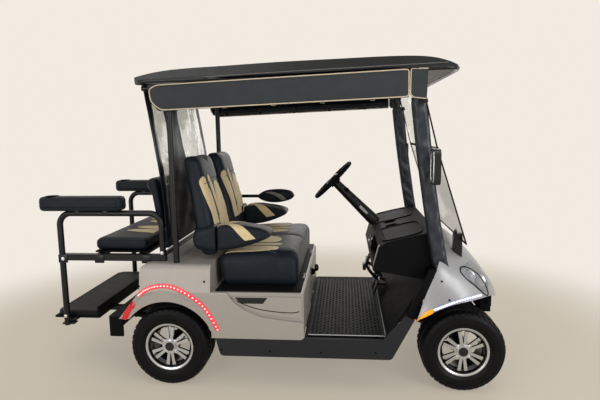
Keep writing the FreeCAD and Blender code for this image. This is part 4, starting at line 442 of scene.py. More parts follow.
# Painted castings under the floor: rough and nearly black.
AXLE_DARK = Finish("cast_iron_black_paint", "#0F1012", "#161514", roughness=0.6, grain_mm=2.5, grain_height_mm=0.2,
                   gloss=0.2)
# Zinc plate on rods and reflectors: grey metal with a slight blur.
BRIGHT_STEEL = Finish("zinc_plated_steel", "#B5B7BA", "#8E9094", roughness=0.32, metallic=1.0, grain_mm=1.5,
                      grain_height_mm=0.02)
# Chrome of nuts and rings: small sharp glints.
CHROME = Finish("polished_chrome", "#E3E4E6", "#D5D6D9", roughness=0.08, metallic=1.0, grain_height_mm=0.0,
                roughness_swing=0.03)
# Roof sheet: satin black on top; its faces that point down are pale grey.
ROOF_BLACK = TwoTone("thermoformed_black_roof_sheet", "#0E0F11", "#16181B", roughness=0.36, grain_height_mm=0.0,
                     gloss=0.35, other="#8A8B8D", other_roughness=0.55, axis=2, level=-0.35, use_normal=True)
# Rolled edge of the roof: a satin line of light along it.
ROOF_RIM = Finish("black_roof_edge_roll", "#0B0C0E", "#121316", roughness=0.3, grain_height_mm=0.0, gloss=0.35)
# Seat covers: blue-black vinyl with a leather pebble and a low gloss.
SEAT_BLACK = Vinyl("black_marine_vinyl", "#14181E", "#1F252D", roughness=0.46, grain_mm=2.2, grain_height_mm=0.16,
                   gloss=0.14)
# Fingers sewn into the seats: warm beige with the same pebble.
SEAT_BEIGE = Vinyl("beige_marine_vinyl", "#E6D3A8", "#D3BD90", roughness=0.55, grain_mm=2.2, grain_height_mm=0.16,
                   gloss=0.3)
# Side covers: slate canvas whose weave breaks up the light.
SLATE_CLOTH = Woven("slate_coated_canvas", "#2B2F33", "#34383C", roughness=0.78, grain_mm=3.0,
                    grain_height_mm=0.12, gloss=0.3, sheen=0.1)
# Piping round the covers: a thin cream line.
CREAM_PIPING = Woven("cream_vinyl_piping", "#D8C7AE", "#C6B297", roughness=0.5, grain_mm=2.0, grain_height_mm=0.1)
# Strut sleeves: shiny black cloth, with paler patches painted in as the highlights along its creases.
SLEEVE_CLOTH = Woven("crushed_black_vinyl_cloth", "#0A0B0F", "#343A45", roughness=0.34, grain_mm=3.0,
                     grain_height_mm=0.1, patch_mm=42.0, gloss=0.35)
# Windshield: a grey tint. A thin pane doesn't bend light, so the index is 1 and the coat reflects.
CLEAR_ACRYLIC = Clear("smoke_tinted_acrylic", "#7C7D73", "#7C7D73", roughness=0.03, grain_height_mm=0.0,
                      roughness_swing=0.0, ior=1.0, gloss=0.0, alpha=0.47, coat=0.6)
# Rear curtain: milky clear vinyl whose ripples bend its reflections.
SOFT_CLEAR = Clear("soft_clear_vinyl", "#B4B8AE", "#989C94", roughness=0.16, grain_mm=45.0, grain_height_mm=5.0,
                   roughness_swing=0.05, ior=1.2, clearness=0.9, alpha=0.62)
# Headlamp lens: clear, with the reflectors showing through.
LAMP_CLEAR = Clear("clear_polycarbonate_lens", "#C4C7CC", "#B4B8BE", roughness=0.06, grain_height_mm=0.0,
                   roughness_swing=0.01, ior=1.58, clearness=0.5, alpha=0.72)
# Tail lamp: deep red that looks lit from inside.
LAMP_RED = Glow("lit_red_acrylic", "#B81317", "#C91E22", roughness=0.2, grain_height_mm=0.0, coat=0.3,
                light="#FF1A1E", strength=0.25)
# Strip over the rear arch: soft red, faintly lit.
RED_STRIP = Glow("red_silicone_light_strip", "#D6303A", "#E24A52", roughness=0.4, grain_height_mm=0.0,
                 light="#FF3A42", strength=0.35)
# Its diodes: near-white points with a red rim.
RED_POINT = Glow("lit_red_led", "#FFD9D9", "#FFFFFF", roughness=0.3, grain_height_mm=0.0, light="#FFB0AE",
                 strength=1.1)
# Strip under the front arch: pale blue-white, faintly lit.
WHITE_STRIP = Glow("white_silicone_light_strip", "#9BA3C8", "#AFB6D6", roughness=0.4, grain_height_mm=0.0,
                   light="#8C9AE8", strength=0.15)
# Its diodes: white points.
WHITE_POINT = Glow("lit_white_led", "#FFFFFF", "#F2F4FF", roughness=0.3, grain_height_mm=0.0, light="#F4F6FF",
                   strength=1.0)
# Side marker: bright amber with a wet gloss.
AMBER_LENS = Glow("amber_acrylic_lens", "#DF9410", "#EEAE24", roughness=0.22, grain_height_mm=0.0, coat=0.3,
                  light="#FFA000", strength=0.25)
# Stripe on the hip rest: beige vinyl drawn mid grey as painted shade, with the covers' pebble.
SHADED_BEIGE_STRIPE = Vinyl("grey_marine_vinyl", "#77756F", "#86837C", roughness=0.5, grain_mm=2.2, grain_height_mm=0.16)
# The mat's edges and the blank label: a light grey line.
PALE_EDGE = Finish("pale_grey_vinyl", "#A9A8A6", "#B9B8B5", roughness=0.5, grain_height_mm=0.02)
# Mirror glass: a clean reflection.
MIRROR = Finish("mirror_glass", "#D8DADC", "#CFD1D4", roughness=0.03, metallic=1.0, grain_height_mm=0.0,
                roughness_swing=0.01)
# Rear rims: bright machined spokes and lip over gloss black pockets.
REAR_WHEEL_FACE = WheelFace("machined_aluminium_and_black_rear", "#D3D5D8", "#B0B2B6", roughness=0.24, metallic=1.0,
                            grain_mm=0.8, grain_height_mm=0.01, other="#050506", other_roughness=0.25, level=0.552,
                            centre=(REAR_AXLE, AXLE_HEIGHT))
# Front rims: the same, about their own axle.
FRONT_WHEEL_FACE = WheelFace("machined_aluminium_and_black_front", "#D3D5D8", "#B0B2B6", roughness=0.24, metallic=1.0,
                             grain_mm=0.8, grain_height_mm=0.01, other="#050506", other_roughness=0.25, level=0.528,
                             centre=(FRONT_AXLE, AXLE_HEIGHT))
# Tyres: matt black with a dull shine on the shoulder.
TYRE_RUBBER = Finish("carbon_black_rubber", "#08080A", "#0E0E10", roughness=0.46, grain_mm=1.2,
                     grain_height_mm=0.06, gloss=0.12)
# Floor mat, pedals and footplate: matt black rubber.
MAT_RUBBER = Finish("ribbed_floor_rubber", "#08090A", "#0E0F11", roughness=0.55, grain_mm=1.2, grain_height_mm=0.05,
                    gloss=0.12)
# Battery case: plain black plastic with little shine.
BATTERY_CASE = Finish("black_battery_case", "#121315", "#18191B", roughness=0.5, gloss=0.25)

NODE_FINISHES: dict[str, Finish] = {node: finish for finish, nodes in (
    (FRAME_BLACK, "chassis_frame pedals steering_column front_struts rear_struts roof_frame windshield_clamps "
                  "rear_seat_frame"),
    (AXLE_DARK, "rear_axle front_axle rear_springs front_springs steering_rack knuckle_left knuckle_right"),
    (MOULDED_BLACK, "floor_pan cowl_side_trims dashboard front_bumper rear_bumper direction_selector steering_wheel "
                    "footplate rear_deck_panel"),
    (SEAT_BLACK, "driver_seat_back passenger_seat_back hip_restraint rear_armrests rear_backrest rear_seat_cushion "
                 "front_seat_cushion"),
    (BRIGHT_STEEL, "tie_rod"), (BATTERY_CASE, "battery_block"), (SILL_BLACK, "sills"), (MAT_RUBBER, "floor_mat"),
    (BODY_PAINT, "rear_body seat_pod pod_inserts"), (COWL_PAINT, "front_cowl"), (LAMP_CLEAR, "headlamps"),
    (LAMP_RED, "tail_lamps"), (GLOSS_BLACK, "mirrors"), (ROOF_BLACK, "roof"), (SLATE_CLOTH, "rolled_curtains"),
    (SLEEVE_CLOTH, "strut_sleeves"), (SOFT_CLEAR, "rear_curtain"), (CLEAR_ACRYLIC, "windshield"),
    (REAR_WHEEL_FACE, "rim_rear_left rim_rear_right"), (FRONT_WHEEL_FACE, "rim_front_left rim_front_right"),
    (TYRE_RUBBER, "tyre_front_left tyre_front_right tyre_rear_left tyre_rear_right")) for node in nodes.split()}


def fresh() -> None:
    """Leaves edit mode and deselects everything."""
    if bpy.context.object and bpy.context.object.mode != "OBJECT":
        bpy.ops.object.mode_set(mode="OBJECT")
    bpy.ops.object.select_all(action="DESELECT")


@contextmanager
def whole_mesh() -> Iterator[None]:
    """Opens edit mode with everything selected, and closes it afterwards."""
    bpy.ops.object.mode_set(mode="EDIT")
    bpy.ops.mesh.select_all(action="SELECT")
    yield
    bpy.ops.object.mode_set(mode="OBJECT")


def mount(piece: bpy.types.Object, finish: Finish, body: str = "root") -> bpy.types.Object:
    """Gives a piece its finish and the body that it rides on."""
    finish.dress(piece)
    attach(piece, body)
    return piece


def carrier(node: str) -> str:
    """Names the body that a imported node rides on."""
    body = body_of(frame["nodes"][node])
    return body if isinstance(body, str) else body[0]


def pick(piece: bpy.types.Object) -> None:
    """Selects one object alone and makes it the active one."""
    fresh()
    piece.select_set(True)
    bpy.context.view_layer.objects.active = piece


def apply_modifier(piece: bpy.types.Object, kind: str, **settings: object) -> None:
    """Adds a modifier with its settings and applies it.

    Args:
        piece: The mesh object.
        kind: The modifier's type.
        **settings: Properties of the modifier.
    """
    pick(piece)
    modifier = piece.modifiers.new("step", kind)
    for key, value in settings.items():
        setattr(modifier, key, value)
    bpy.ops.object.modifier_apply(modifier=modifier.name)


def soften(piece: bpy.types.Object, edge_mm: float, segments: int = 2, angle: float = 50.0) -> None:
    """Rounds a piece's sharp edges and shades its round faces smooth.

    Args:
        piece: The mesh object.
        edge_mm: The rounding's size.
        segments: Steps in the rounding.
        angle: Edges sharper than this many degrees are rounded.
    """
    if edge_mm:
        apply_modifier(piece, "BEVEL", width=edge_mm * MM, segments=segments, limit_method="ANGLE",
                       angle_limit=math.radians(30))
    pick(piece)
    bpy.ops.object.shade_smooth_by_angle(angle=math.radians(angle))


def tidy_normals(piece: bpy.types.Object) -> None:
    """Merges doubled points and turns all faces outward.

    Args:
        piece: The mesh object.
    """
    pick(piece)
    with whole_mesh():
        bpy.ops.mesh.remove_doubles(threshold=0.00002)
        bpy.ops.mesh.normals_make_consistent(inside=False)


def named(piece: bpy.types.Object, name: str) -> bpy.types.Object:
    """Names an object and its mesh."""
    piece.name = name
    piece.data.name = name
    return piece


def block(name: str, low: Point, high: Point, edge_mm: float = 2.0, segments: int = 2) -> bpy.types.Object:
    """Makes a block with rounded edges between two corners.

    Args:
        name: The piece's name.
        low: Its lowest corner.
        high: Its highest corner.
        edge_mm: The rounding of its edges.
        segments: Steps in the rounding.

    Returns:
        The block.
    """
    fresh()
    bpy.ops.mesh.primitive_cube_add(size=1.0)
    piece = named(bpy.context.object, name)
    for vertex in piece.data.vertices:
        vertex.co = [lo + (hi - lo) * (c + 0.5) for lo, hi, c in zip(low, high, vertex.co)]
    soften(piece, edge_mm, segments)
    return piece


def rod(name: str, start: Point, end: Point, radius: float, edge_mm: float = 0.6, sides: int = 24) -> bpy.types.Object:
    """Makes a round bar between two points.

    Args:
        name: The piece's name.
        start: The middle of one end.
        end: The middle of the other end.
        radius: Its radius.
        edge_mm: The rounding of its ends.
        sides: How many sides stand for the circle.

    Returns:
        The bar.
    """
    first, last = Vector(start), Vector(end)
    fresh()
    bpy.ops.mesh.primitive_cylinder_add(vertices=sides, radius=radius, depth=(last - first).length)
    piece = named(bpy.context.object, name)
    turn = (last - first).to_track_quat("Z", "Y").to_matrix().to_4x4()
    piece.data.transform(Matrix.Translation((first + last) / 2) @ turn)
    soften(piece, edge_mm)
    return piece


def tube(name: str, points: Sequence[Sequence[float]], radius: float, closed: bool = False, order: int = 3,
         smoothness: int = 5) -> bpy.types.Object:
    """Runs a round tube along a smooth line.

    Args:
        name: The piece's name.
        points: The points that pull the line.
        radius: The tube's radius.
        closed: Whether the line is a ring.
        order: 2 for straight runs, 3 or 4 for smoother lines.
        smoothness: Steps from one point to the next.

    Returns:
        The tube as a mesh.
    """
    fresh()
    bpy.ops.curve.primitive_nurbs_path_add()
    piece = bpy.context.object
    piece.data.splines.clear()
    spline = piece.data.splines.new("NURBS")
    spline.points.add(len(points) - 1)
    for point, place in zip(spline.points, points):
        point.co = (*place, 1.0)
    spline.order_u = order
    spline.use_endpoint_u = not closed
    spline.use_cyclic_u = closed
    piece.data.dimensions = "3D"
    piece.data.resolution_u = smoothness
    piece.data.bevel_depth = radius
    piece.data.bevel_resolution = 2
    piece.data.use_fill_caps = not closed
    bpy.ops.object.convert(target="MESH")
    piece = named(bpy.context.object, name)
    soften(piece, 0.0)
    return piece


def turned(name: str, profile: Sequence[Flat], centre: Point, axis: Point = (0.0, 1.0, 0.0), steps: int = 48,
           angle: float = 55.0) -> bpy.types.Object:
    """Spins a closed profile about an axis.

    Args:
        name: The piece's name.
        profile: Points as radius and distance along the axis.
        centre: A point on the axis.
        axis: The axis's direction.
        steps: Steps in the full turn.
        angle: Faces that meet at less than this are shaded smooth.

    Returns:
        The turned piece.
    """
    fresh()
    bpy.ops.mesh.primitive_circle_add(vertices=len(profile), radius=1.0, fill_type="NOTHING")
    piece = named(bpy.context.object, name)
    for vertex, (radius, along) in zip(piece.data.vertices, profile):
        vertex.co = (radius, 0.0, along)
    with whole_mesh():
        bpy.ops.mesh.spin(steps=steps, angle=math.tau, center=(0, 0, 0), axis=(0, 0, 1))
    tidy_normals(piece)
    turn = Vector(axis).to_track_quat("Z", "X").to_matrix().to_4x4()
    piece.data.transform(Matrix.Translation(centre) @ turn)
    soften(piece, 0.0, angle=angle)
    return piece


def join(name: str, pieces: Sequence[bpy.types.Object]) -> bpy.types.Object:
    """Joins pieces into one mesh object.

    Args:
        name: The piece's name.
        pieces: The pieces.

    Returns:
        The joined piece.
    """
    fresh()
    for piece in pieces:
        piece.select_set(True)
    bpy.context.view_layer.objects.active = pieces[0]
    if len(pieces) > 1:
        bpy.ops.object.join()
    return named(bpy.context.object, name)


def copied(name: str, piece: bpy.types.Object, shift: Point = (0.0, 0.0, 0.0), flip: bool = False) -> bpy.types.Object:
    """Copies a piece with its own mesh, moved, or flipped to the cart's other side.

    Args:
        name: The copy's name.
        piece: What is copied.
        shift: How far the copy is moved.
        flip: Whether the copy is a mirror image across the cart's middle.

    Returns:
        The copy.
    """
    pick(piece)
    bpy.ops.object.duplicate(linked=False)
    twin = named(bpy.context.object, name)
    twin.data.transform(Matrix.Translation(shift) @ Matrix.Diagonal((1, -1 if flip else 1, 1, 1)))
    if flip:
        with whole_mesh():
            bpy.ops.mesh.flip_normals()
    return twin


def lattice(name: str, place: Callable[[float, float], Sequence[float]], columns: int, rows: int,
            thick_mm: float = 0.0, edge_mm: float = 0.0) -> bpy.types.Object:
    """Lays a grid of faces by a rule, and gives it a thickness.

    Args:
        name: The piece's name.
        place: Gives a point for two shares from 0 to 1.
        columns: Faces along the first share.
        rows: Faces along the second share.
        thick_mm: The thickness, behind the faces.
        edge_mm: The rounding of its edges.

    Returns:
        The sheet.
    """
    fresh()
    bpy.ops.mesh.primitive_grid_add(x_subdivisions=columns, y_subdivisions=rows, size=1.0)
    piece = named(bpy.context.object, name)
    for vertex in piece.data.vertices:
        vertex.co = place(vertex.co.x + 0.5, vertex.co.y + 0.5)
    if thick_mm:
        apply_modifier(piece, "SOLIDIFY", thickness=thick_mm * MM, offset=0.0)
    soften(piece, edge_mm)
    return piece


def wadding(name: str, place: Callable[[float, float, float], Sequence[float]], cuts: int = 24) -> bpy.types.Object:
    """Makes a padded form from a cube cut into small faces, each point placed by a rule.

    Args:
        name: The piece's name.
        place: Gives a point for three shares from -1 to 1.
        cuts: How often each edge is cut.

    Returns:
        The form.
    """
    fresh()
    bpy.ops.mesh.primitive_cube_add(size=2.0)
    piece = named(bpy.context.object, name)
    with whole_mesh():
        bpy.ops.mesh.subdivide(number_cuts=cuts)
    for vertex in piece.data.vertices:
        vertex.co = place(*vertex.co)
    tidy_normals(piece)
    pick(piece)
    bpy.ops.object.shade_smooth()
    return piece


def rounded(share: Point, half: Point, radius: float) -> Vector:
    """Puts a point of the unit cube on a box with round edges.

    Args:
        share: The point, from -1 to 1 each way.
        half: Half the box's size each way.
        radius: The rounding.

    Returns:
        The point on the rounded box about the origin.
    """
    point = Vector([s * h for s, h in zip(share, half)])
    core = Vector([max(-(h - radius), min(h - radius, p)) for p, h in zip(point, half)])
    away = point - core
    return core + away.normalized() * radius if away.length > 1e-9 else point


def faceted(name: str, places: Sequence[Vector], faces: Sequence[Sequence[int]]) -> bpy.types.Object:
    """Makes a piece from its points and the faces between them.

    Args:
        name: The piece's name.
        places: Its points.
        faces: Its faces, each a list of its points' numbers.

    Returns:
        The piece.
    """
    fresh()
    bpy.ops.mesh.primitive_cube_add(size=0.01)
    piece = named(bpy.context.object, name)
    piece.data.clear_geometry()
    piece.data.from_pydata(places, [], faces)
    piece.data.update()
    return piece


def between(low: float, high: float, share: float) -> float:
    """Gives the value at a share of the way from low to high."""
    return low + (high - low) * share


def along(points: Sequence[Sequence[float]], share: float) -> Vector:
    """Gives the point at a share of a polyline's points, with straight runs."""
    spot = max(0.0, min(1.0, share)) * (len(points) - 1)
    k = min(int(spot), len(points) - 2)
    return Vector(points[k]).lerp(Vector(points[k + 1]), spot - k)


def curved(points: Sequence[Sequence[float]], share: float) -> Vector:
    """Gives the point at a share of a smooth line through points.

    Args:
        points: The points that the line goes through.
        share: The share of the way, from 0 to 1.

    Returns:
        The point.
    """
    last = len(points) - 1
    spot = max(0.0, min(1.0, share)) * last
    k = min(int(spot), last - 1)
    a, b, c, d = (Vector(points[max(0, min(last, i))]) for i in (k - 1, k, k + 1, k + 2))
    t = spot - k
    return 0.5 * ((2 * b) + (c - a) * t + (2 * a - 5 * b + 4 * c - d) * t ** 2 + (3 * b - a - 3 * c + d) * t ** 3)


class Surface:
    """The faces of placed pieces, for laying seams, patches and lights on them."""

    def __init__(self, *pieces: bpy.types.Object) -> None:
        """Keeps the faces of some pieces.

        Args:
            *pieces: The placed pieces.
        """
        places: list[Vector] = []
        faces: list[list[int]] = []
        for piece in pieces:
            start = len(places)
            places += [v.co.copy() for v in piece.data.vertices]
            faces += [[start + i for i in p.vertices] for p in piece.data.polygons]
        self.tree = BVHTree.FromPolygons(places, faces)

    def drop(self, point: Sequence[float], heading: Point, lift_mm: float = 0.0) -> Vector:
        """Moves a point along a heading to the faces, or to the nearest face where it misses.

        Args:
            point: Where it starts.
            heading: The way that it moves.
            lift_mm: How far it stays off the face.

        Returns:
            The point on the faces.
        """
        hit, normal, _, _ = self.tree.ray_cast(Vector(point), Vector(heading))
        if hit is None:
            hit, normal, _, _ = self.tree.find_nearest(Vector(point))
        if normal.dot(Vector(heading)) > 0:
            normal = -normal
        return hit + normal * lift_mm * MM


def skin(*nodes: str) -> Surface:
    """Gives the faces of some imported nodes."""
    return Surface(*(frame["nodes"][node] for node in nodes))


def swell(piece: bpy.types.Object, voxel_mm: float, cap_mm: float, pressure: float = 4.0) -> None:
    """Fills a pad with foam: its cover is blown out by a cloth simulation, no further than a cap.

    Args:
        piece: The pad, a little smaller than it ends.
        voxel_mm: The size of the faces that the cover is cut into.
        cap_mm: How far a point of the cover may move.
        pressure: The pressure inside.
    """
    pick(piece)
    piece.data.remesh_voxel_size = voxel_mm * MM
    bpy.ops.object.voxel_remesh()
    rest = [v.co.copy() for v in piece.data.vertices]
    cloth = piece.modifiers.new("foam_fill", "CLOTH")
    cloth.settings.use_pressure = True
    cloth.settings.uniform_pressure_force = pressure
    cloth.settings.effector_weights.gravity = 0.0
    scene = bpy.context.scene
    scene.frame_start, scene.frame_end = 1, FOAM_STEPS
    for step in range(1, FOAM_STEPS + 1):
        scene.frame_set(step)
    filled = piece.evaluated_get(bpy.context.evaluated_depsgraph_get())
    blown = [v.co.copy() for v in filled.data.vertices]
    piece.modifiers.remove(cloth)
    scene.frame_set(1)
    for vertex, start, end in zip(piece.data.vertices, rest, blown):
        shift = end - start
        vertex.co = start + (shift * (cap_mm * MM / shift.length) if shift.length > cap_mm * MM else shift)
    apply_modifier(piece, "CORRECTIVE_SMOOTH", factor=0.5, iterations=4, smooth_type="SIMPLE")
    apply_modifier(piece, "SUBSURF", levels=1, render_levels=1)
    pick(piece)
    bpy.ops.object.shade_smooth()


def sew(piece: bpy.types.Object, lines: Sequence[Sequence[Sequence[float]]], depth_mm: float, width_mm: float) -> None:
    """Pulls a pad's cover in along seams.

    Args:
        piece: The pad.
        lines: The seams, each a list of points on or near the cover.
        depth_mm: How deep a seam pulls in.
        width_mm: How far on each side the cover is pulled.
    """
    stops = [along(line, k / 160) for line in lines for k in range(161)]
    tree = KDTree(len(stops))
    for k, stop in enumerate(stops):
        tree.insert(stop, k)
    tree.balance()
    reach = width_mm * MM
    moved = []
    for vertex in piece.data.vertices:
        _, _, gap = tree.find(vertex.co)
        pull = depth_mm * MM * (1 - (gap / reach) ** 2) ** 2 if gap < reach else 0.0
        moved.append(vertex.co - vertex.normal * pull)
    for vertex, place in zip(piece.data.vertices, moved):
        vertex.co = place


def outward(piece: bpy.types.Object, node: str, spare_mm: float = 4.0) -> None:
    """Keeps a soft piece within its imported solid's box, plus what cloth may stand proud."""
    low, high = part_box(node)
    for vertex in piece.data.vertices:
        vertex.co = [max(lo - spare_mm * MM, min(hi + spare_mm * MM, c)) for lo, hi, c in zip(low, high, vertex.co)]


@dataclass
class Studio:
    """A pale floor that fades into a white surround, four soft lamps and the camera of the picture."""

    camera_place: Point = (0.4365, -3.184, 1.432)
    yaw: float = -5.25
    pitch: float = -7.79
    roll: float = -0.83
    lens_mm: float = 29.77
    floor_radius: float = 14.0
    surround: str = "#F2EBE2"
    floor_tone: str = "#D6CCBB"

    def build(self) -> None:
        """Makes the whole studio."""
        self.aim_camera()
        self.light()
        self.lay_floor()
        bpy.context.scene.view_settings.view_transform = "Standard"

    def aim_camera(self) -> None:
        """Stands the camera where the picture was taken from."""
        yaw, pitch, roll = (math.radians(a) for a in (self.yaw, self.pitch, self.roll))
        ahead = Vector((math.sin(yaw) * math.cos(pitch), math.cos(yaw) * math.cos(pitch), math.sin(pitch)))
        right = ahead.cross(Vector((0, 0, 1))).normalized()
        up = right.cross(ahead)
        across = math.cos(roll) * right + math.sin(roll) * up
        top = -math.sin(roll) * right + math.cos(roll) * up
        bpy.ops.object.camera_add()
        camera = bpy.context.object
        camera.data.sensor_width = 36
        camera.data.lens = self.lens_mm
        camera.matrix_world = Matrix.Translation(self.camera_place) @ Matrix(
            (across, top, -ahead)).transposed().to_4x4()
        bpy.context.scene.camera = camera

    def light(self) -> None:
        """Adds a large lamp overhead, a key and a fill from the camera's side, one behind, and a pale world."""
        for name, place, size, power, aim in (
                ("lamp_overhead", (0.2, -1.2, 4.6), 4.5, 62, (0.2, 0, 0.6)),
                ("lamp_key", (4.3, -4.0, 2.0), 2.4, 120, (0.2, 0, 0.8)),
                ("lamp_fill", (-2.4, -5.4, 1.8), 2.8, 78, (0, 0, 0.7)),
                ("lamp_back", (0.6, 4.6, 2.6), 3.2, 45, (0.2, 0, 0.7))):
            bpy.ops.object.light_add(type="AREA", location=place)
            lamp = bpy.context.object
            lamp.name = name
            lamp.data.size = size
            lamp.data.energy = power
            lamp.rotation_euler = (Vector(aim) - Vector(place)).to_track_quat("-Z", "Y").to_euler()
        world = bpy.data.worlds.new("pale_surround")
        bpy.context.scene.world = world
        world.use_nodes = True
        tree = world.node_tree
        tree.nodes.clear()
        seen = add(tree, "ShaderNodeBackground", {"Color": linear(self.surround), "Strength": 1.0})
        lit = add(tree, "ShaderNodeBackground", {"Color": linear("#EFEDEA"), "Strength": 0.40})
        mix = add(tree, "ShaderNodeMixShader", {
            0: self.plain_rays(tree), 1: lit.outputs[0], 2: seen.outputs[0]})
        add(tree, "ShaderNodeOutputWorld", {"Surface": mix.outputs[0]})

    def plain_rays(self, tree: bpy.types.NodeTree) -> bpy.types.NodeSocket:
        """Gives 1 for rays from the camera, from a mirror and through glass.

        Args:
            tree: The node tree to add to.

        Returns:
            The socket with the answer.
        """
        ray = add(tree, "ShaderNodeLightPath")
        first = maths(tree, "MAXIMUM", ray.outputs["Is Camera Ray"], ray.outputs["Is Glossy Ray"])
        return maths(tree, "MAXIMUM", first, ray.outputs["Is Transmission Ray"])

    def lay_floor(self) -> None:
        """Lays a round floor that is pale near the cart and fades into the surround further out."""
        fresh()
        bpy.ops.mesh.primitive_circle_add(vertices=96, radius=self.floor_radius, fill_type="NGON")
        floor = bpy.context.object
        floor.name = "studio_floor"
        made = bpy.data.materials.new("pale_floor")
        made.use_nodes = True
        tree = made.node_tree
        shader = tree.nodes["Principled BSDF"]
        shader.inputs["Base Color"].default_value = linear(self.floor_tone)
        shader.inputs["Roughness"].default_value = 0.45
        place = add(tree, "ShaderNodeTexCoord").outputs["Object"]
        far = add(tree, "ShaderNodeVectorMath", {0: place}, operation="LENGTH")
        fade = add(tree, "ShaderNodeMapRange", {
            "Value": far.outputs["Value"], "From Min": 1.9, "From Max": 3.6, "To Min": 0.45},
            interpolation_type="SMOOTHSTEP")
        haze = add(tree, "ShaderNodeMapRange", {"Value": far.outputs["Value"], "From Min": 1.9, "From Max": 3.3},
                   interpolation_type="SMOOTHSTEP")
        tint = add(tree, "ShaderNodeMix", {
            "Factor": haze.outputs["Result"], 6: linear(self.floor_tone), 7: linear(self.surround)}, data_type="RGBA")
        share = maths(tree, "MULTIPLY", fade.outputs["Result"], self.plain_rays(tree))
        away = add(tree, "ShaderNodeEmission", {"Color": tint.outputs[2], "Strength": 1.0})
        mix = add(tree, "ShaderNodeMixShader", {
            0: share, 1: shader.outputs["BSDF"], 2: away.outputs["Emission"]})
        tree.links.new(mix.outputs["Shader"], tree.nodes["Material Output"].inputs["Surface"])
        floor.data.materials.append(made)


@dataclass
class Tyre:
    """One road tyre: a spun carcass with rings on its walls and rows of tread blocks round it."""

    node: str
    body: str
    centre: Point
    radius: float = 0.230
    half_width: float = 0.0985
    bead: float = 0.1335
    blocks_round: int = 40
    finish: Finish = TYRE_RUBBER

    def build(self) -> None:
        """Makes the tyre and hangs it on its wheel's body."""
        carcass = self.carcass()
        tread = self.tread()
        whole = join(f"{self.node}_rubber", [carcass, tread])
        whole.data.transform(Matrix.Translation(self.centre))
        mount(whole, self.finish, self.body)
        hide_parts(self.node)

    def carcass(self) -> bpy.types.Object:
        """Spins the tyre's section, with its rim guard and two thin rings on each wall.

        Returns:
            The carcass.
        """
        r, w, b = self.radius, self.half_width, self.bead
        wall = [(b, w * 0.80), (b + 0.004, w * 0.86), (b + 0.010, w * 0.87), (b + 0.014, w * 0.90),
                (b + 0.026, w * 0.96), (b + 0.0265, w * 0.985), (b + 0.0285, w * 0.985), (b + 0.029, w * 0.965),
                (b + 0.044, w * 0.99), (b + 0.060, w * 0.975), (b + 0.0605, w * 0.99), (b + 0.0625, w * 0.985),
                (b + 0.063, w * 0.965), (r - 0.021, w * 0.93), (r - 0.012, w * 0.86), (r - 0.0082, w * 0.76),
                (r - 0.0076, w * 0.4), (r - 0.0072, 0.0)]
        outer = wall + [(radius, -across) for radius, across in reversed(wall[:-1])]
        inner = [(b + 0.006, -w * 0.72), (b + 0.03, -w * 0.84), (r - 0.03, -w * 0.8), (r - 0.022, 0.0),
                 (r - 0.03, w * 0.8), (b + 0.03, w * 0.84), (b + 0.006, w * 0.72)]
        return turned("carcass", outer + inner, (0, 0, 0), steps=96, angle=40)

    def tread(self) -> bpy.types.Object:
        """Makes the five rows of slanted blocks round the tyre.

        Returns:
            The rows of blocks.
        """
        rows = ((-0.79, 0.27, 6, -0.5), (-0.36, 0.20, -14, 0.0), (0.0, 0.15, 16, 0.5), (0.36, 0.20, -14, 0.0),
                (0.79, 0.27, 6, 0.5))
        places: list[Vector] = []
        faces: list[list[int]] = []
        pitch = math.tau / self.blocks_round
        for across, wide, slant, phase in rows:
            for k in range(self.blocks_round):
                self.lug(places, faces, (k + phase) * pitch, across, wide, slant, pitch * 0.40)
        piece = faceted("tread", places, faces)
        soften(piece, 0.0, angle=25)
        return piece

    def lug(self, places: list[Vector], faces: list[list[int]], turn: float, across: float, wide: float,
            slant: float, half_turn: float) -> None:
        """Adds one tread block with sloping flanks.

        Args:
            places: The tread's points so far.
            faces: The tread's faces so far.
            turn: The block's angle round the tyre.
            across: Its middle across the tread, as a share of the half width.
            wide: Its width across, as a share of the half width.
            slant: How far its outer end is turned on, in degrees.
            half_turn: Half its length round the tyre, as an angle.
        """
        start = len(places)
        low, high = self.radius - 0.0095, self.radius - 0.0006
        for height, shrink in ((low, 1.0), (high - 0.001, 0.90), (high, 0.82)):
            for u, v in ((-1, -1), (1, -1), (1, 1), (-1, 1)):
                y = self.half_width * (across + wide * 0.5 * v * shrink)
                drop = 0.0135 * max(0.0, (abs(y) / self.half_width - 0.62) / 0.32) ** 2
                angle = turn + half_turn * u * shrink + math.radians(slant) * v * 0.35
                radius = height - drop
                places.append(Vector((radius * math.cos(angle), y, radius * math.sin(angle))))
        for ring in (0, 4):
            for k in range(4):
                faces.append([start + ring + k, start + ring + (k + 1) % 4, start + ring + 4 + (k + 1) % 4,
                              start + ring + 4 + k])
        faces.append([start + 8 + k for k in range(4)])


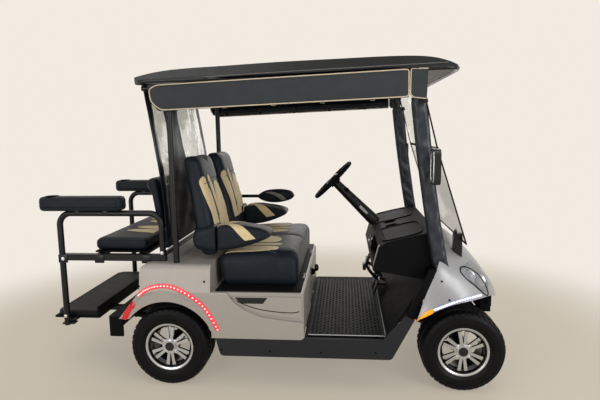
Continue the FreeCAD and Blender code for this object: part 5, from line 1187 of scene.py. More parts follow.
@dataclass
class WheelTrim:
    """The hub cap, wheel nuts and valve on one wheel."""

    name: str
    body: str
    centre: Point
    out: int
    face: float
    nut_ring: float = 0.04185

    def build(self) -> None:
        """Makes the cap with its ring, four nuts and the valve."""
        x, y, z = self.centre
        lip = y + self.out * self.face
        axis = (0.0, float(self.out), 0.0)
        cap = turned(f"{self.name}_cap", [(0, -0.03), (0.021, -0.03), (0.0225, 0.0), (0.021, 0.004), (0.012, 0.006),
                                          (0, 0.0065)], (x, lip, z), axis)
        GLOSS_BLACK.dress(cap)
        ring = turned(f"{self.name}_cap_ring", [(0.0222, -0.02), (0.026, -0.02), (0.026, 0.001), (0.0245, 0.003),
                                                (0.0222, 0.001)], (x, lip, z), axis)
        CHROME.dress(ring)
        nuts = []
        for k in range(4):
            angle = math.tau * (k + 0.5) / 4
            spot = (x + self.nut_ring * math.cos(angle), lip - self.out * 0.008,
                    z + self.nut_ring * math.sin(angle))
            tip = (spot[0], spot[1] + self.out * 0.010, spot[2])
            nuts.append(rod("nut", (spot[0], spot[1] - self.out * 0.014, spot[2]), tip, 0.0075, 0.8, sides=6))
        bright = join(f"{self.name}_nuts", nuts)
        CHROME.dress(bright)
        valve = rod(f"{self.name}_valve", (x + 0.088, lip - self.out * 0.02, z + 0.062),
                    (x + 0.083, lip + self.out * 0.002, z + 0.058), 0.0035, 0.8)
        MOULDED_BLACK.dress(valve)
        for piece in (cap, ring, bright, valve):
            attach(piece, self.body)


@dataclass
class FingerInserts:
    """The pale fingers sewn into a seat: each is bounded by a left and a right line on the cover."""

    fingers: Sequence[tuple[Sequence[Flat], Sequence[Flat]]]
    lift_mm: float = 0.9
    thick_mm: float = 2.4
    finish: Finish = SEAT_BEIGE

    def build(self, name: str, body: str, cover: Surface, lay: Callable[[Flat], tuple[Point, Point]]) -> None:
        """Lays the fingers on the cover.

        Args:
            name: The name of the piece.
            body: The body that carries it.
            cover: The seat's cover.
            lay: Gives, for a point of the pattern, where it starts and how it moves to the cover.
        """
        pieces = []
        for left, right in self.fingers:
            def place(u: float, v: float) -> Vector:
                spot = curved(left, v).lerp(curved(right, v), u)
                start, heading = lay((spot.x, spot.y))
                return cover.drop(start, heading, self.lift_mm)
            pieces.append(lattice("finger", place, 10, 26, self.thick_mm, 0.9))
        mount(join(name, pieces), self.finish, body)


@dataclass
class SeatBack:
    """A padded bucket back with side bolsters, a seam under its headrest and a fuller foot."""

    node: str
    side: Side
    foot: float = 0.722
    top: float = 1.309
    half_foot: float = 0.213
    half_top: float = 0.170
    middle: float = 0.250

    def width(self, up: float) -> float:
        """Half the back's width at a share of its height: wide at the hips, narrower round the head."""
        return curved([(self.half_foot * 0.97,) * 3, (self.half_foot,) * 3, (self.half_foot * 0.99,) * 3,
                       (self.half_foot * 0.9,) * 3, (self.half_top * 1.06,) * 3, (self.half_top * 0.97,) * 3], up).x

    def shape(self, across: float, deep: float, up: float) -> Vector:
        """Places one point of the padded form.

        Args:
            across: From the right edge, -1, to the left edge, 1.
            deep: From the rear face, -1, to the front face, 1.
            up: From the foot, -1, to the top, 1.

        Returns:
            The point.
        """
        tall = (self.top - self.foot) / 2
        core = rounded((deep, across, up), (0.044, 0.2, tall), 0.036)
        share = (core.z + tall) / (2 * tall)
        ratio = core.y / 0.2
        bolster = 0.016 * abs(ratio) ** 2.4 * math.sin(math.pi * min(1.0, share * 1.25 + 0.08)) if share < 0.76 else 0.0
        crown = 0.012 * (1 - ratio ** 2) * math.sin(math.pi * share)
        hip = 0.010 * math.exp(-((share - 0.10) / 0.10) ** 2)
        ahead = (bolster + crown + hip) * max(0.0, core.x / 0.044)
        x = -0.350 - 0.096 * share - 0.012 * share ** 3 + core.x + ahead
        tuck = 0.012 * max(0.0, abs(ratio) - 0.7) * share ** 3
        return Vector((x, self.middle + ratio * self.width(share), self.foot + 2 * tall * share - tuck))

    def build(self) -> bpy.types.Object:
        """Makes the left back; the right one is its mirror image.

        Returns:
            The back.
        """
        back = wadding(f"{self.node}_pad", self.shape, 26)
        swell(back, 9.0, 9.0)
        seams = [[self.line(across, share / 12) for share in range(0, 10)] for across in (-0.60, 0.60)]
        seams.append([self.line(across / 6, 0.745 - 0.02 * (across / 6) ** 2) for across in range(-6, 7)])
        sew(back, seams, 5.0, 13.0)
        return back

    def line(self, ratio: float, share: float) -> Vector:
        """Gives a point near the front face for a seam."""
        return self.shape(ratio, 1.0, share * 2 - 1) + Vector((0.003, 0, 0))


@dataclass
class FrontSeats:
    """The two bucket backs and the wide cushion that lifts, with their pale fingers and striped hip lobes."""

    def build(self) -> None:
        """Makes both backs, the cushion and the hip rest."""
        self.make_backs()
        self.make_cushion()
        self.make_hip_rest()

    def make_backs(self) -> None:
        """Fills one back, copies it to the other side, and lays the fingers and the welts."""
        maker = SeatBack("driver_seat_back", Side.LEFT)
        left = maker.build()
        heel = self.lobe("heel", Side.LEFT, [(-0.437, 0.800), (-0.415, 0.772), (-0.372, 0.757), (-0.320, 0.760),
                                             (-0.301, 0.768)], [(-0.437, 0.868), (-0.415, 0.895), (-0.372, 0.908),
                                                                (-0.322, 0.912), (-0.301, 0.908)], blunt=1)
        left = join("driver_seat_pad", [left, heel])
        right = copied("passenger_seat_pad", left, flip=True)
        fingers = FingerInserts([
            ([(-0.160, 0.868), (-0.162, 0.93), (-0.168, 1.03), (-0.170, 1.11), (-0.166, 1.165), (-0.146, 1.186)],
             [(-0.050, 0.862), (-0.060, 0.93), (-0.082, 1.03), (-0.104, 1.11), (-0.118, 1.165), (-0.138, 1.186)]),
            ([(-0.026, 0.955), (-0.038, 0.99), (-0.058, 1.06), (-0.074, 1.13), (-0.082, 1.175), (-0.072, 1.194)],
             [(0.012, 0.955), (0.004, 0.99), (-0.014, 1.06), (-0.030, 1.12), (-0.044, 1.165), (-0.064, 1.194)]),
            ([(-0.046, 0.862), (-0.030, 0.93), (0.002, 1.01), (-0.004, 1.09), (0.006, 1.135), (0.030, 1.150)],
             [(0.160, 0.868), (0.162, 0.93), (0.156, 1.01), (0.120, 1.09), (0.080, 1.135), (0.046, 1.150)])])
        for side, back in ((Side.LEFT, left), (Side.RIGHT, right)):
            SEAT_BLACK.dress(back)
            who = "driver" if side is Side.LEFT else "passenger"
            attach(back, "root")
            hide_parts(f"{who}_seat_back")
            cover = Surface(back)
            middle = maker.middle * side.value
            fingers.build(f"{who}_back_fingers", "root", cover,
                          lambda c, m=middle: ((0.0, c[0] + m, c[1]), (-1.0, 0.0, 0.0)))
            welts = [self.welt(cover, [(0.0, middle + s * y, z) for y, z in (
                (0.128, 0.77), (0.129, 0.90), (0.124, 1.0), (0.116, 1.08), (0.104, 1.15))]) for s in (-1, 1)]
            welts.append(self.welt(cover, [(0.0, middle + y, 1.152 - 0.4 * y * y) for y in (
                -0.165, -0.12, -0.06, 0.0, 0.06, 0.12, 0.165)]))
            mount(join(f"{who}_back_welts", welts), SEAT_BLACK)

    def welt(self, cover: Surface, points: Sequence[Point], heading: Point = (-1.0, 0.0, 0.0)) -> bpy.types.Object:
        """Lays one welt of piping on a cover."""
        laid = [cover.drop(along(points, k / 24), heading, 0.6) for k in range(25)]
        return tube("welt", laid, 0.0021, smoothness=2)

    def lobe(self, name: str, side: Side, under: Sequence[Flat], over: Sequence[Flat], inner: float = 0.312,
             outer: float = 0.480, blunt: int = 0) -> bpy.types.Object:
        """Makes a hip lobe between a lower and an upper line seen from the side, full in its middle.

        Args:
            name: The piece's name.
            side: The side of the cart.
            under: The lower line, x and z.
            over: The upper line, x and z.
            inner: The lobe's inner face from the cart's middle.
            outer: Its outer face.
            blunt: The end that stays square: 1 the front, -1 the rear, 0 neither.

        Returns:
            The lobe.
        """
        half = (outer - inner) / 2

        def place(x: float, y: float, z: float) -> Vector:
            core = rounded((x, y, z), (1.0, 1.0, 1.0), between(0.62, 0.22, max(0.0, min(1.0, x * blunt))))
            spot = curved(under, (core.x + 1) / 2).lerp(curved(over, (core.x + 1) / 2), (core.z + 1) / 2)
            return Vector((spot.x, ((inner + outer) / 2 + half * core.y) * side.value, spot.y))
        return wadding(name, place, 14)

    def make_cushion(self) -> None:
        """Fills the cushion, joins its two lobes, and lays its fingers and welts."""
        rear, front, base = -0.284, 0.176, 0.566

        def place(x: float, y: float, z: float) -> Vector:
            core = rounded((x, y, z), (0.23, 0.495, 0.098), 0.045)
            share, across = (core.x + 0.23) / 0.46, abs(core.y) / 0.495
            top = 0.176 + 0.018 * share + 0.012 * math.sin(math.pi * share) * (1 - across ** 4)
            dip = 0.006 * math.exp(-(core.y / 0.03) ** 2)
            notch = 0.020 * max(0.0, min(1.0, (share - 0.68) / 0.05)) * max(0.0, across - 0.80) / 0.20
            rise = (core.z + 0.098) / 0.196
            curl = 0.020 * (1 - rise) ** 3 * (1 - share) ** 2
            return Vector((between(rear, front, share) + curl, core.y * (1.0 + 0.014 * math.sin(math.pi * rise)),
                           base + rise * (top - dip - notch)))
        pad = wadding("cushion_pad", place, 34)
        swell(pad, 10.5, 7.0)
        seams = [[(between(rear, front, k / 10), 0.0, 0.785) for k in range(2, 11)]]
        for s in (-1, 1):
            seams.append([(between(rear, front, k / 10), s * 0.425, 0.775) for k in range(0, 11)])
        sew(pad, seams, 5.0, 14.0)
        for vertex in pad.data.vertices:
            vertex.co.x = max(rear - 0.006, min(front + 0.018, vertex.co.x))
            vertex.co.z = max(0.5635, min(0.788, vertex.co.z))
            vertex.co.y = max(-0.508, min(0.508, vertex.co.y))
        seat_top = Surface(pad)
        lobes = []
        for side in Side:
            lobes.append(self.lobe(f"lobe_{side.word}", side, [
                (-0.291, 0.766), (-0.232, 0.772), (-0.150, 0.782), (-0.070, 0.806), (0.004, 0.840), (0.016, 0.860)], [
                (-0.291, 0.905), (-0.232, 0.914), (-0.150, 0.912), (-0.070, 0.902), (-0.004, 0.884), (0.016, 0.866)],
                blunt=-1))
        lobe_cover = Surface(*lobes)
        whole = join("front_cushion_pad", [pad] + lobes)
        mount(whole, SEAT_BLACK, "seat_lid")
        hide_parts("front_seat_cushion")
        pattern = FingerInserts([
            ([(-0.255, -0.186), (-0.18, -0.188), (-0.09, -0.190), (-0.01, -0.182), (0.035, -0.165), (0.052, -0.142)],
             [(-0.255, -0.070), (-0.18, -0.074), (-0.09, -0.086), (-0.01, -0.100), (0.035, -0.114), (0.052, -0.134)]),
            ([(-0.255, -0.050), (-0.18, -0.052), (-0.09, -0.064), (-0.01, -0.074), (0.045, -0.066), (0.062, -0.050)],
             [(-0.255, -0.008), (-0.18, -0.010), (-0.09, -0.022), (-0.01, -0.030), (0.045, -0.034), (0.062, -0.044)]),
            ([(-0.255, 0.012), (-0.18, 0.010), (-0.09, 0.002), (-0.01, 0.002), (0.028, 0.020), (0.042, 0.060)],
             [(-0.255, 0.186), (-0.18, 0.188), (-0.09, 0.184), (-0.01, 0.160), (0.028, 0.120), (0.042, 0.076)])],
            lift_mm=1.2)
        for side in Side:
            middle = 0.25 * side.value
            pattern.build(f"cushion_fingers_{side.word}", "seat_lid", seat_top,
                          lambda c, m=middle: ((c[0], c[1] + m, 0.83), DOWN))
            stripe = FingerInserts([
                ([(-0.284, 0.0), (-0.252, -0.02), (-0.190, -0.06), (-0.128, -0.115)],
                 [(-0.225, 0.0), (-0.186, -0.02), (-0.122, -0.058), (-0.066, -0.104)])])
            for word, turn in (("outer", -1), ("inner", 1)):
                def lay(c: Flat, side: Side = side, turn: int = turn) -> tuple[Point, Point]:
                    angle = math.radians(between(80, -8, -c[1] / 0.115))
                    heading = (0.0, turn * side.value * math.cos(angle), -math.sin(angle))
                    spot = Vector((c[0], side.value * 0.396, 0.840)) - Vector(heading) * 0.16
                    return tuple(spot), heading
                stripe.build(f"lobe_stripe_{word}_{side.word}", "seat_lid", lobe_cover, lay)
        edge = [between(rear, front, k / 24) for k in range(25)]
        welts = [self.welt(seat_top, [(x, s * 0.425, 0.83) for x in edge[9:24]], DOWN) for s in (-1, 1)]
        welts.append(self.welt(seat_top, [(x, 0.0, 0.83) for x in edge[4:24]], DOWN))
        foot = [(x, y, 0.5665) for x, y in ((rear, -0.498), (front, -0.500), (front + 0.014, -0.488),
                                            (front + 0.015, 0.488), (front, 0.500), (rear, 0.498))]
        welts.append(tube("foot_welt", foot, 0.0026, order=2, smoothness=2))
        mount(join("cushion_welts", welts), SEAT_BLACK, "seat_lid")
        pan = block("cushion_base_pan", (-0.283, -0.578, 0.5629), (0.196, 0.578, 0.5725), 4.0, 3)
        mount(pan, MOULDED_BLACK, "seat_lid")

    def make_hip_rest(self) -> None:
        """Makes the left hip rest: a padded oval on a bar, with a stripe over it whose beige is painted grey as shade.
        """
        low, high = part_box("hip_restraint")
        pad = self.lobe("hip_rest_pad", Side.LEFT, [
            (-0.222, 0.930), (-0.17, 0.912), (-0.10, 0.904), (-0.03, 0.912), (0.03, 0.930), (0.053, 0.950)], [
            (-0.222, 0.975), (-0.17, 0.996), (-0.10, 1.005), (-0.03, 1.005), (0.03, 0.992), (0.053, 0.962)],
            high[1] - 0.058, high[1] + 0.002)
        swell(pad, 6.0, 3.0)
        bar = rod("hip_rest_bar", (low[0], 0.52, 0.955), (-0.19, 0.52, 0.955), 0.012, 1.5)
        SEAT_BLACK.dress(pad)
        FRAME_BLACK.dress(bar)
        for piece in (pad, bar):
            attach(piece, "root")
            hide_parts("hip_restraint")
        stripe = FingerInserts([([(-0.175, 0.985), (-0.13, 0.975), (-0.08, 0.955), (-0.045, 0.925)],
                                 [(-0.120, 0.990), (-0.07, 0.978), (-0.03, 0.958), (-0.005, 0.930)])],
                               finish=SHADED_BEIGE_STRIPE)
        stripe.build("hip_rest_stripe", "root", Surface(pad), lambda c: ((c[0], 0.40, c[1]), (0.0, 1.0, 0.0)))


@dataclass
class RearSeat:
    """The flip seat that faces back: cushion with fingers, backrest with a roll, and arm pads."""

    def build(self) -> None:
        """Makes each soft piece of the rear seat."""
        self.make_cushion()
        self.make_backrest()
        self.make_arm_pads()

    def make_cushion(self) -> None:
        """Fills the flat cushion and lays its welts and fingers."""
        low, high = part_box("rear_seat_cushion")
        middle = (Vector(low) + Vector(high)) / 2
        half = (Vector(high) - Vector(low)) / 2

        def place(x: float, y: float, z: float) -> Vector:
            core = rounded((x, y, z), (half.x + 0.002, half.y - 0.002, half.z + 0.003), 0.026)
            u, v = core.x / half.x, core.y / half.y
            crown = 0.007 * (1 - u * u) * (1 - v * v) if core.z > 0 else 0.0
            return middle + core + Vector((-0.004, 0, crown + 0.005))
        pad = wadding("rear_cushion_pad", place, 26)
        swell(pad, 9.5, 4.0)
        seams = [[(low[0] + 0.06, y, high[2]) for y in (low[1] + 0.02, 0.0, high[1] - 0.02)],
                 [(x, 0.0, high[2]) for x in (low[0], middle.x, high[0])]]
        sew(pad, seams, 4.0, 12.0)
        for vertex in pad.data.vertices:
            vertex.co.z = max(low[2] + 0.0004, vertex.co.z)
        mount(pad, SEAT_BLACK, "flip_seat")
        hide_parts("rear_seat_cushion")
        cover = Surface(pad)
        front = high[0]
        for side in Side:
            FingerInserts([
                ([(front - 0.025, 0.06), (front - 0.09, 0.062), (front - 0.15, 0.075), (front - 0.19, 0.10)],
                 [(front - 0.025, 0.15), (front - 0.09, 0.148), (front - 0.15, 0.134), (front - 0.19, 0.108)]),
                ([(front - 0.025, 0.165), (front - 0.09, 0.168), (front - 0.17, 0.182), (front - 0.215, 0.205)],
                 [(front - 0.025, 0.26), (front - 0.09, 0.256), (front - 0.17, 0.236), (front - 0.215, 0.213)]),
            ]).build(f"rear_cushion_fingers_{side.word}", "flip_seat", cover,
                     lambda c, s=side.value: ((c[0], c[1] * s, 0.90), DOWN))
        welt = tube("rear_cushion_welt", [(x, y, high[2] - 0.016) for x, y in (
            (low[0] - 0.001, low[1] + 0.05), (low[0] - 0.001, high[1] - 0.05), (low[0] + 0.008, high[1] - 0.006),
            (low[0] + 0.05, high[1] + 0.001), (high[0] - 0.03, high[1] + 0.001))], 0.0022, order=3)
        twin = copied("welt", welt, flip=True)
        mount(join("rear_cushion_welts", [welt, twin]), SEAT_BLACK, "flip_seat")

    def make_backrest(self) -> None:
        """Fills the backrest with its roll along the top."""
        low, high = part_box("rear_backrest")

        def place(x: float, y: float, z: float) -> Vector:
            core = rounded((x, y, z), (0.026, 0.424, 0.206), 0.022)
            share = (core.z + 0.206) / 0.412
            across = core.y / 0.424
            roll = 0.020 * max(0.0, 1 - ((share - 0.90) / 0.12) ** 2)
            crown = 0.012 * (1 - across ** 2) * math.sin(math.pi * share)
            x_line = between(low[0] + 0.034, high[0] - 0.032, 1 - share)
            back = (roll + crown) * max(0.0, -core.x / 0.026)
            return Vector((x_line + core.x - back, core.y, between(low[2], high[2], share)))
        pad = wadding("rear_backrest_pad", place, 26)
        swell(pad, 10.0, 5.0)
        outward(pad, "rear_backrest", 6.0)
        sew(pad, [[(low[0] + 0.01, y, high[2] - 0.078) for y in (-0.40, 0.0, 0.40)]], 5.0, 13.0)
        mount(pad, SEAT_BLACK)
        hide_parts("rear_backrest")
        cover = Surface(pad)
        for side in Side:
            FingerInserts([
                ([(0.07, 0.80), (0.066, 0.88), (0.072, 0.98), (0.100, 1.06)],
                 [(0.16, 0.80), (0.156, 0.88), (0.140, 0.98), (0.108, 1.06)]),
                ([(0.175, 0.80), (0.174, 0.86), (0.186, 0.94), (0.212, 1.00)],
                 [(0.275, 0.80), (0.270, 0.86), (0.252, 0.94), (0.220, 1.00)]),
            ]).build(f"rear_backrest_fingers_{side.word}", "root", cover,
                     lambda c, s=side.value: ((-0.95, c[0] * s, c[1]), (1.0, 0.0, 0.0)))

    def make_arm_pads(self) -> None:
        """Makes the moulded arm pads, each with a cup well and a seam round it."""
        low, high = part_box("rear_armrests")
        inner, outer = 0.434, 0.532
        middle = (inner + outer) / 2
        well = Vector((REAR_AXLE - 0.685, 0.483))
        half = Vector(((high[0] - low[0]) / 2, (outer - inner) / 2, (high[2] - low[2]) / 2))

        def place(x: float, y: float, z: float) -> Vector:
            core = rounded((x, y, z), (half.x - 0.001, half.y + 0.004, half.z + 0.006), 0.026)
            bulge = 0.003 * (1 - (core.y / half.y) ** 2) if core.z > 0 else 0.0
            end = max(0.0, (abs(core.x) - (half.x - 0.055)) / 0.055)
            core.y *= math.sqrt(max(0.0, 1.0 - 0.62 * end ** 2.4))
            return Vector(((low[0] + high[0]) / 2, middle, (low[2] + high[2]) / 2 + 0.005 + bulge)) + core
        pad = wadding("arm_pad", place, 40)
        cutter = rod("cup_cutter", (well.x, well.y, low[2] + 0.012), (well.x, well.y, high[2] + 0.04), 0.0335, 0.0, 40)
        modifier = pad.modifiers.new("cup", "BOOLEAN")
        modifier.operation, modifier.object, modifier.solver = "DIFFERENCE", cutter, "EXACT"
        pick(pad)
        bpy.ops.object.modifier_apply(modifier=modifier.name)
        bpy.data.objects.remove(cutter)
        soften(pad, 0.0, angle=45)
        rim = turned("cup_rim", [(0.0325, -0.004), (0.0385, -0.004), (0.040, 0.001), (0.036, 0.0035), (0.0325, 0.002)],
                     (well.x, well.y, high[2] + 0.0125), (0, 0, 1))
        around = Surface(pad)
        ring = []
        for k in range(72):
            angle = math.tau * k / 72
            way = Vector((math.cos(angle), math.sin(angle), 0.0))
            spot = Vector((between(low[0] + 0.05, high[0] - 0.05, (math.cos(angle) + 1) / 2), middle, low[2] + 0.026))
            ring.append(around.drop(spot + way * 0.4, tuple(-way), 0.2))
        seam = tube("arm_pad_seam", ring, 0.0017, closed=True, smoothness=2)
        for side in Side:
            flip = side is Side.RIGHT
            soft = copied(f"arm_pad_{side.word}", pad, flip=flip)
            lines = join(f"arm_pad_lines_{side.word}", [copied("rim", rim, flip=flip), copied("seam", seam, flip=flip)])
            SEAT_BLACK.dress(soft)
            MOULDED_BLACK.dress(lines)
            for piece in (soft, lines):
                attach(piece, "root")
            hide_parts("rear_armrests")
        for piece in (pad, rim, seam):
            bpy.data.objects.remove(piece)


@dataclass
class Covers:
    """The cloth goods: side covers with piping, sleeves on the front struts and the rear window curtain."""

    top_rear: Flat = (-0.6005, 1.690)
    top_front: Flat = (0.756, 1.741)
    low_rear: Flat = (-0.5825, 1.552)
    low_front: Flat = (0.757, 1.598)

    def build(self) -> None:
        """Makes all covers on both sides."""
        for side in Side:
            self.side_cover(side)
            self.sleeve(side)
        self.rear_curtain()

    def cover_point(self, side: Side, u: float, v: float, proud: float = 0.0) -> Vector:
        """Gives a point on the side cover: it hangs a little slack and bellies out at its foot.

        Args:
            side: The side of the cart.
            u: The share from its rear end to its front end.
            v: The share from its foot to its top.
            proud: How far off the cover the point is.

        Returns:
            The point.
        """
        low = Vector(self.low_rear).lerp(Vector(self.low_front), u)
        high = Vector(self.top_rear).lerp(Vector(self.top_front), u)
        spot = low.lerp(high, v)
        corner = 0.024 * max(0.0, 1 - u / 0.035) ** 2 * max(0.0, 1 - v / 0.45) ** 2
        ripple = 0.0016 * math.sin(u * 21 + 0.6) * (1 - v) + 0.0009 * math.sin(u * 57 + v * 3)
        belly = 0.006 * math.sin(math.pi * v)
        return Vector((spot.x + corner, side.value * (0.5955 + proud + belly * 0.4 + ripple - 0.003 * (1 - v)),
                       spot.y + corner))

    def side_cover(self, side: Side) -> None:
        """Makes one side's cover, its cream piping, the short front flap and the roll behind it.

        Args:
            side: The side of the cart.
        """
        cover = lattice(f"side_cover_{side.word}", lambda u, v: self.cover_point(side, u, v), 120, 16, 2.4, 0.6)
        mount(cover, SLATE_CLOTH)
        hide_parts("rolled_curtains")
        inset = 0.03
        edge = [(u, v) for u, v in [(k / 30, inset) for k in range(1, 31)] + [(1.0, k / 6) for k in range(1, 6)]
                + [(1 - k / 30, 1 - inset) for k in range(0, 30)] + [(0.003, 1 - k / 6) for k in range(1, 5)]]
        piping = tube(f"side_cover_piping_{side.word}", [self.cover_point(side, u, v, 0.0012) for u, v in edge], 0.0031,
                      closed=True, smoothness=2)
        mount(piping, CREAM_PIPING)
        stitches = [tube("stitch", [self.cover_point(side, k / 80, v, 0.0016) for k in range(2, 79)], 0.0008,
                         smoothness=1) for v in (0.10, 0.90)]
        mount(join(f"side_cover_stitching_{side.word}", stitches), SLATE_CLOTH)
        self.front_flap(side)
        self.roll(side)

    def front_flap(self, side: Side) -> None:
        """Makes the separate flap over the front strut's head, with its own piping.

        Args:
            side: The side of the cart.
        """
        corners = [(0.762, 1.598), (0.845, 1.588), (0.852, 1.740), (0.764, 1.742)]

        def place(u: float, v: float) -> Vector:
            low, high = Vector(corners[0]).lerp(Vector(corners[1]), u), Vector(corners[3]).lerp(Vector(corners[2]), u)
            spot = low.lerp(high, v)
            corner = 0.0075 * max(0.0, 1 - u / 0.25) ** 2 * max(0.0, 1 - v / 0.15) ** 2
            return Vector((spot.x + corner, side.value * (0.5995 - 0.004 * math.cos(u * 2.6) + 0.002 * math.sin(v * 5)),
                           spot.y + corner))
        flap = lattice(f"front_flap_{side.word}", place, 12, 18, 2.2, 0.6)
        mount(flap, SLATE_CLOTH)
        edge = [place(u, v) + Vector((0, side.value * 0.0014, 0)) for u, v in
                [(0.985 - 0.945 * k / 5, 0.985) for k in range(6)] + [(0.03, 0.92 - 0.72 * k / 6) for k in range(7)]
                + [(0.28 - 0.25 * math.cos(a), 0.165 - 0.15 * math.sin(a)) for a in (0.3, 0.6, 0.9, 1.2)]
                + [(0.28 + 0.705 * k / 5, 0.014) for k in range(6)]]
        mount(tube(f"front_flap_piping_{side.word}", edge, 0.0029, smoothness=2), CREAM_PIPING)

    def roll(self, side: Side) -> None:
        """Makes the black curtain rolled up behind the cover, with its straps and buckles.

        Args:
            side: The side of the cart.
        """
        s = side.value
        turns, inner, outer = 3.4, 0.0065, 0.0265

        def place(u: float, v: float) -> Vector:
            x = between(-0.56, 0.74, u)
            angle = math.tau * turns * v
            radius = between(inner, outer, v) + 0.0011 * math.sin(x * 61 + angle * 2) * v
            y = 0.562 + 0.004 * math.sin(x * 37) + radius * math.cos(angle)
            z = between(1.592, 1.634, u) + 0.0025 * math.sin(x * 23) + radius * math.sin(angle)
            return Vector((x, s * y, z))
        cloth = lattice(f"rolled_side_curtain_{side.word}", place, 90, 90, 1.0)
        mount(cloth, SEAT_BLACK)
        straps, buckles = [], []
        for x in (-0.46, -0.20, 0.06, 0.32, 0.58):
            z = between(1.592, 1.634, (x + 0.56) / 1.30)
            ring = [(x, s * (0.562 + 0.0285 * math.cos(a)), z + 0.0315 * math.sin(a) - 0.001) for a in
                    (math.tau * k / 14 for k in range(14))]
            strap = tube("strap", ring, 0.0016, closed=True, smoothness=3)
            for vertex in strap.data.vertices:
                vertex.co.x = x + (vertex.co.x - x) * 7.0
            straps.append(strap)
            buckles.append(block("buckle", (x - 0.012, s * 0.562 - 0.008, z - 0.040),
                                 (x + 0.012, s * 0.562 + 0.008, z - 0.0335), 1.2))
        mount(join(f"roll_straps_{side.word}", straps), FRAME_BLACK)
        mount(join(f"roll_buckles_{side.word}", buckles), GLOSS_BLACK)

    def sleeve(self, side: Side) -> None:
        """Wraps a crushed cloth sleeve round one front strut, hemmed at its rear edge, its foot cut to a point.

        Args:
            side: The side of the cart.
        """
        s = side.value

        def place(u: float, v: float) -> Vector:
            angle = math.tau * u
            front = curved([(0.858, 1.600), (0.892, 1.300), (0.941, 0.960), (0.984, 0.720), (0.974, 0.655)], 1 - v)
            rear = curved([(0.780, 1.600), (0.816, 1.300), (0.866, 0.960), (0.910, 0.720), (0.940, 0.660)], 1 - v)
            x = (front.x + rear.x) / 2 + (front.x - rear.x) / 2 * max(-1.0, min(1.0, 1.12 * math.cos(angle)))
            z = (front.y + rear.y) / 2 + (front.y - rear.y) / 2 * math.cos(angle)
            crush = 0.0022 * math.sin(v * 43 + 2.2 * math.cos(angle)) + 0.0015 * math.sin(v * 97 + angle * 3)
            depth = (0.0245 + crush) * max(-1.0, min(1.0, 1.15 * math.sin(angle)))
            return Vector((x, s * (0.520 + depth), z))
        cloth = lattice(f"strut_sleeve_{side.word}", place, 48, 150, 0.0, 0.0)
        tidy_normals(cloth)
        apply_modifier(cloth, "SOLIDIFY", thickness=1.6 * MM, offset=-1.0)
        soften(cloth, 0.0, angle=80)
        mount(cloth, SLEEVE_CLOTH)
        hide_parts("strut_sleeves")
        hem = [place(0.5, k / 40) + Vector((-0.0015, 0, 0)) for k in range(1, 40)]
        mount(tube(f"strut_sleeve_hem_{side.word}", hem, 0.0032, smoothness=2), SEAT_BLACK)

    def curtain_point(self, u: float, v: float, proud: float = 0.0) -> Vector:
        """Gives a point on the rear curtain: clear sheet that hangs from the tail bow and billows.

        Args:
            u: The share from the right edge to the left edge.
            v: The share from its foot to its top.
            proud: How far behind the sheet the point is.

        Returns:
            The point.
        """
        spot = curved([(-0.5725, 0.818), (-0.5945, 1.188), (-0.6650, 1.676)], v)
        y = between(-0.496, 0.496, u)
        crease = (0.0035 * math.sin(11 * u + 7 * v) + 0.0022 * math.sin(29 * u - 13 * v)
                  + 0.0015 * math.sin(47 * v + 9 * u))
        hold = min(1.0, 8 * v, 8 * (1 - v), 8 * u + 0.2, 8 * (1 - u) + 0.2)
        return Vector((spot.x + crease * hold - proud, y, spot.y))

    def rear_curtain(self) -> None:
        """Makes the clear sheet with its black borders, its middle band and the strap over its near end."""
        sheet = lattice("rear_clear_sheet", lambda u, v: self.curtain_point(u, v), 90, 80, 1.2)
        mount(sheet, SOFT_CLEAR)
        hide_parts("rear_curtain")
        bands = []
        for u0, u1, v0, v1 in ((0.0, 0.055, 0.0, 1.0), (0.945, 1.0, 0.0, 1.0), (0.055, 0.945, 0.0, 0.44),
                               (0.055, 0.945, 0.955, 1.0), (0.24, 0.50, 0.44, 0.955)):
            bands.append(lattice("band", lambda u, v, a=u0, b=u1, c=v0, d=v1: self.curtain_point(
                between(a, b, u), between(c, d, v), 0.0002), max(6, int(90 * (u1 - u0))),
                max(6, int(80 * (v1 - v0))), 2.6))
        border = join("rear_curtain_borders", bands)
        mount(border, SEAT_BLACK)
        strap = lattice("rear_curtain_strap",
                        lambda u, v: self.curtain_point(0.035 + 0.03 * u, 0.03 + 0.94 * v, -0.004), 4, 60, 2.0, 0.5)
        mount(strap, FRAME_BLACK)


@dataclass
class Windshield:
    """The folding screen's rubber edges, its hinge strip and its knobs."""

    fold: Flat = (0.9155, 1.337)
    top: Flat = (0.8325, 1.665)
    foot: Flat = (1.0775, 0.829)

    def build(self) -> None:
        """Adds the edge trims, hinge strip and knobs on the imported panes."""
        half = 0.535
        rails = []
        for s in (-1, 1):
            line = [Vector((x, s * (half - 0.001), z)) for x, z in (self.top, self.fold, self.foot)]
            for a, b in zip(line, line[1:]):
                rails.append(tube("edge", [a, a.lerp(b, 0.5), b], 0.0042, order=2))
        for x, z, radius in ((*self.top, 0.0042), (*self.foot, 0.0042), (self.fold[0] + 0.003, self.fold[1], 0.0075)):
            rails.append(tube("edge", [(x, -half, z), (x, half, z)], radius, order=2))
        mount(join("windshield_edges", rails), MOULDED_BLACK)
        knobs = []
        for s in (-1, 1):
            for x, y, z in ((1.052, 0.400, 0.868), (0.862, 0.505, 1.584), (0.880, 0.500, 1.13)):
                knobs.append(turned("knob", [(0.0, -0.006), (0.006, -0.006), (0.007, 0.0), (0.014, 0.001),
                                             (0.016, 0.005), (0.014, 0.011), (0.004, 0.013), (0, 0.013)],
                                    (x, s * y, z), (-1.0, 0.0, 0.3), 20))
        mount(join("windshield_knobs", knobs), GLOSS_BLACK)


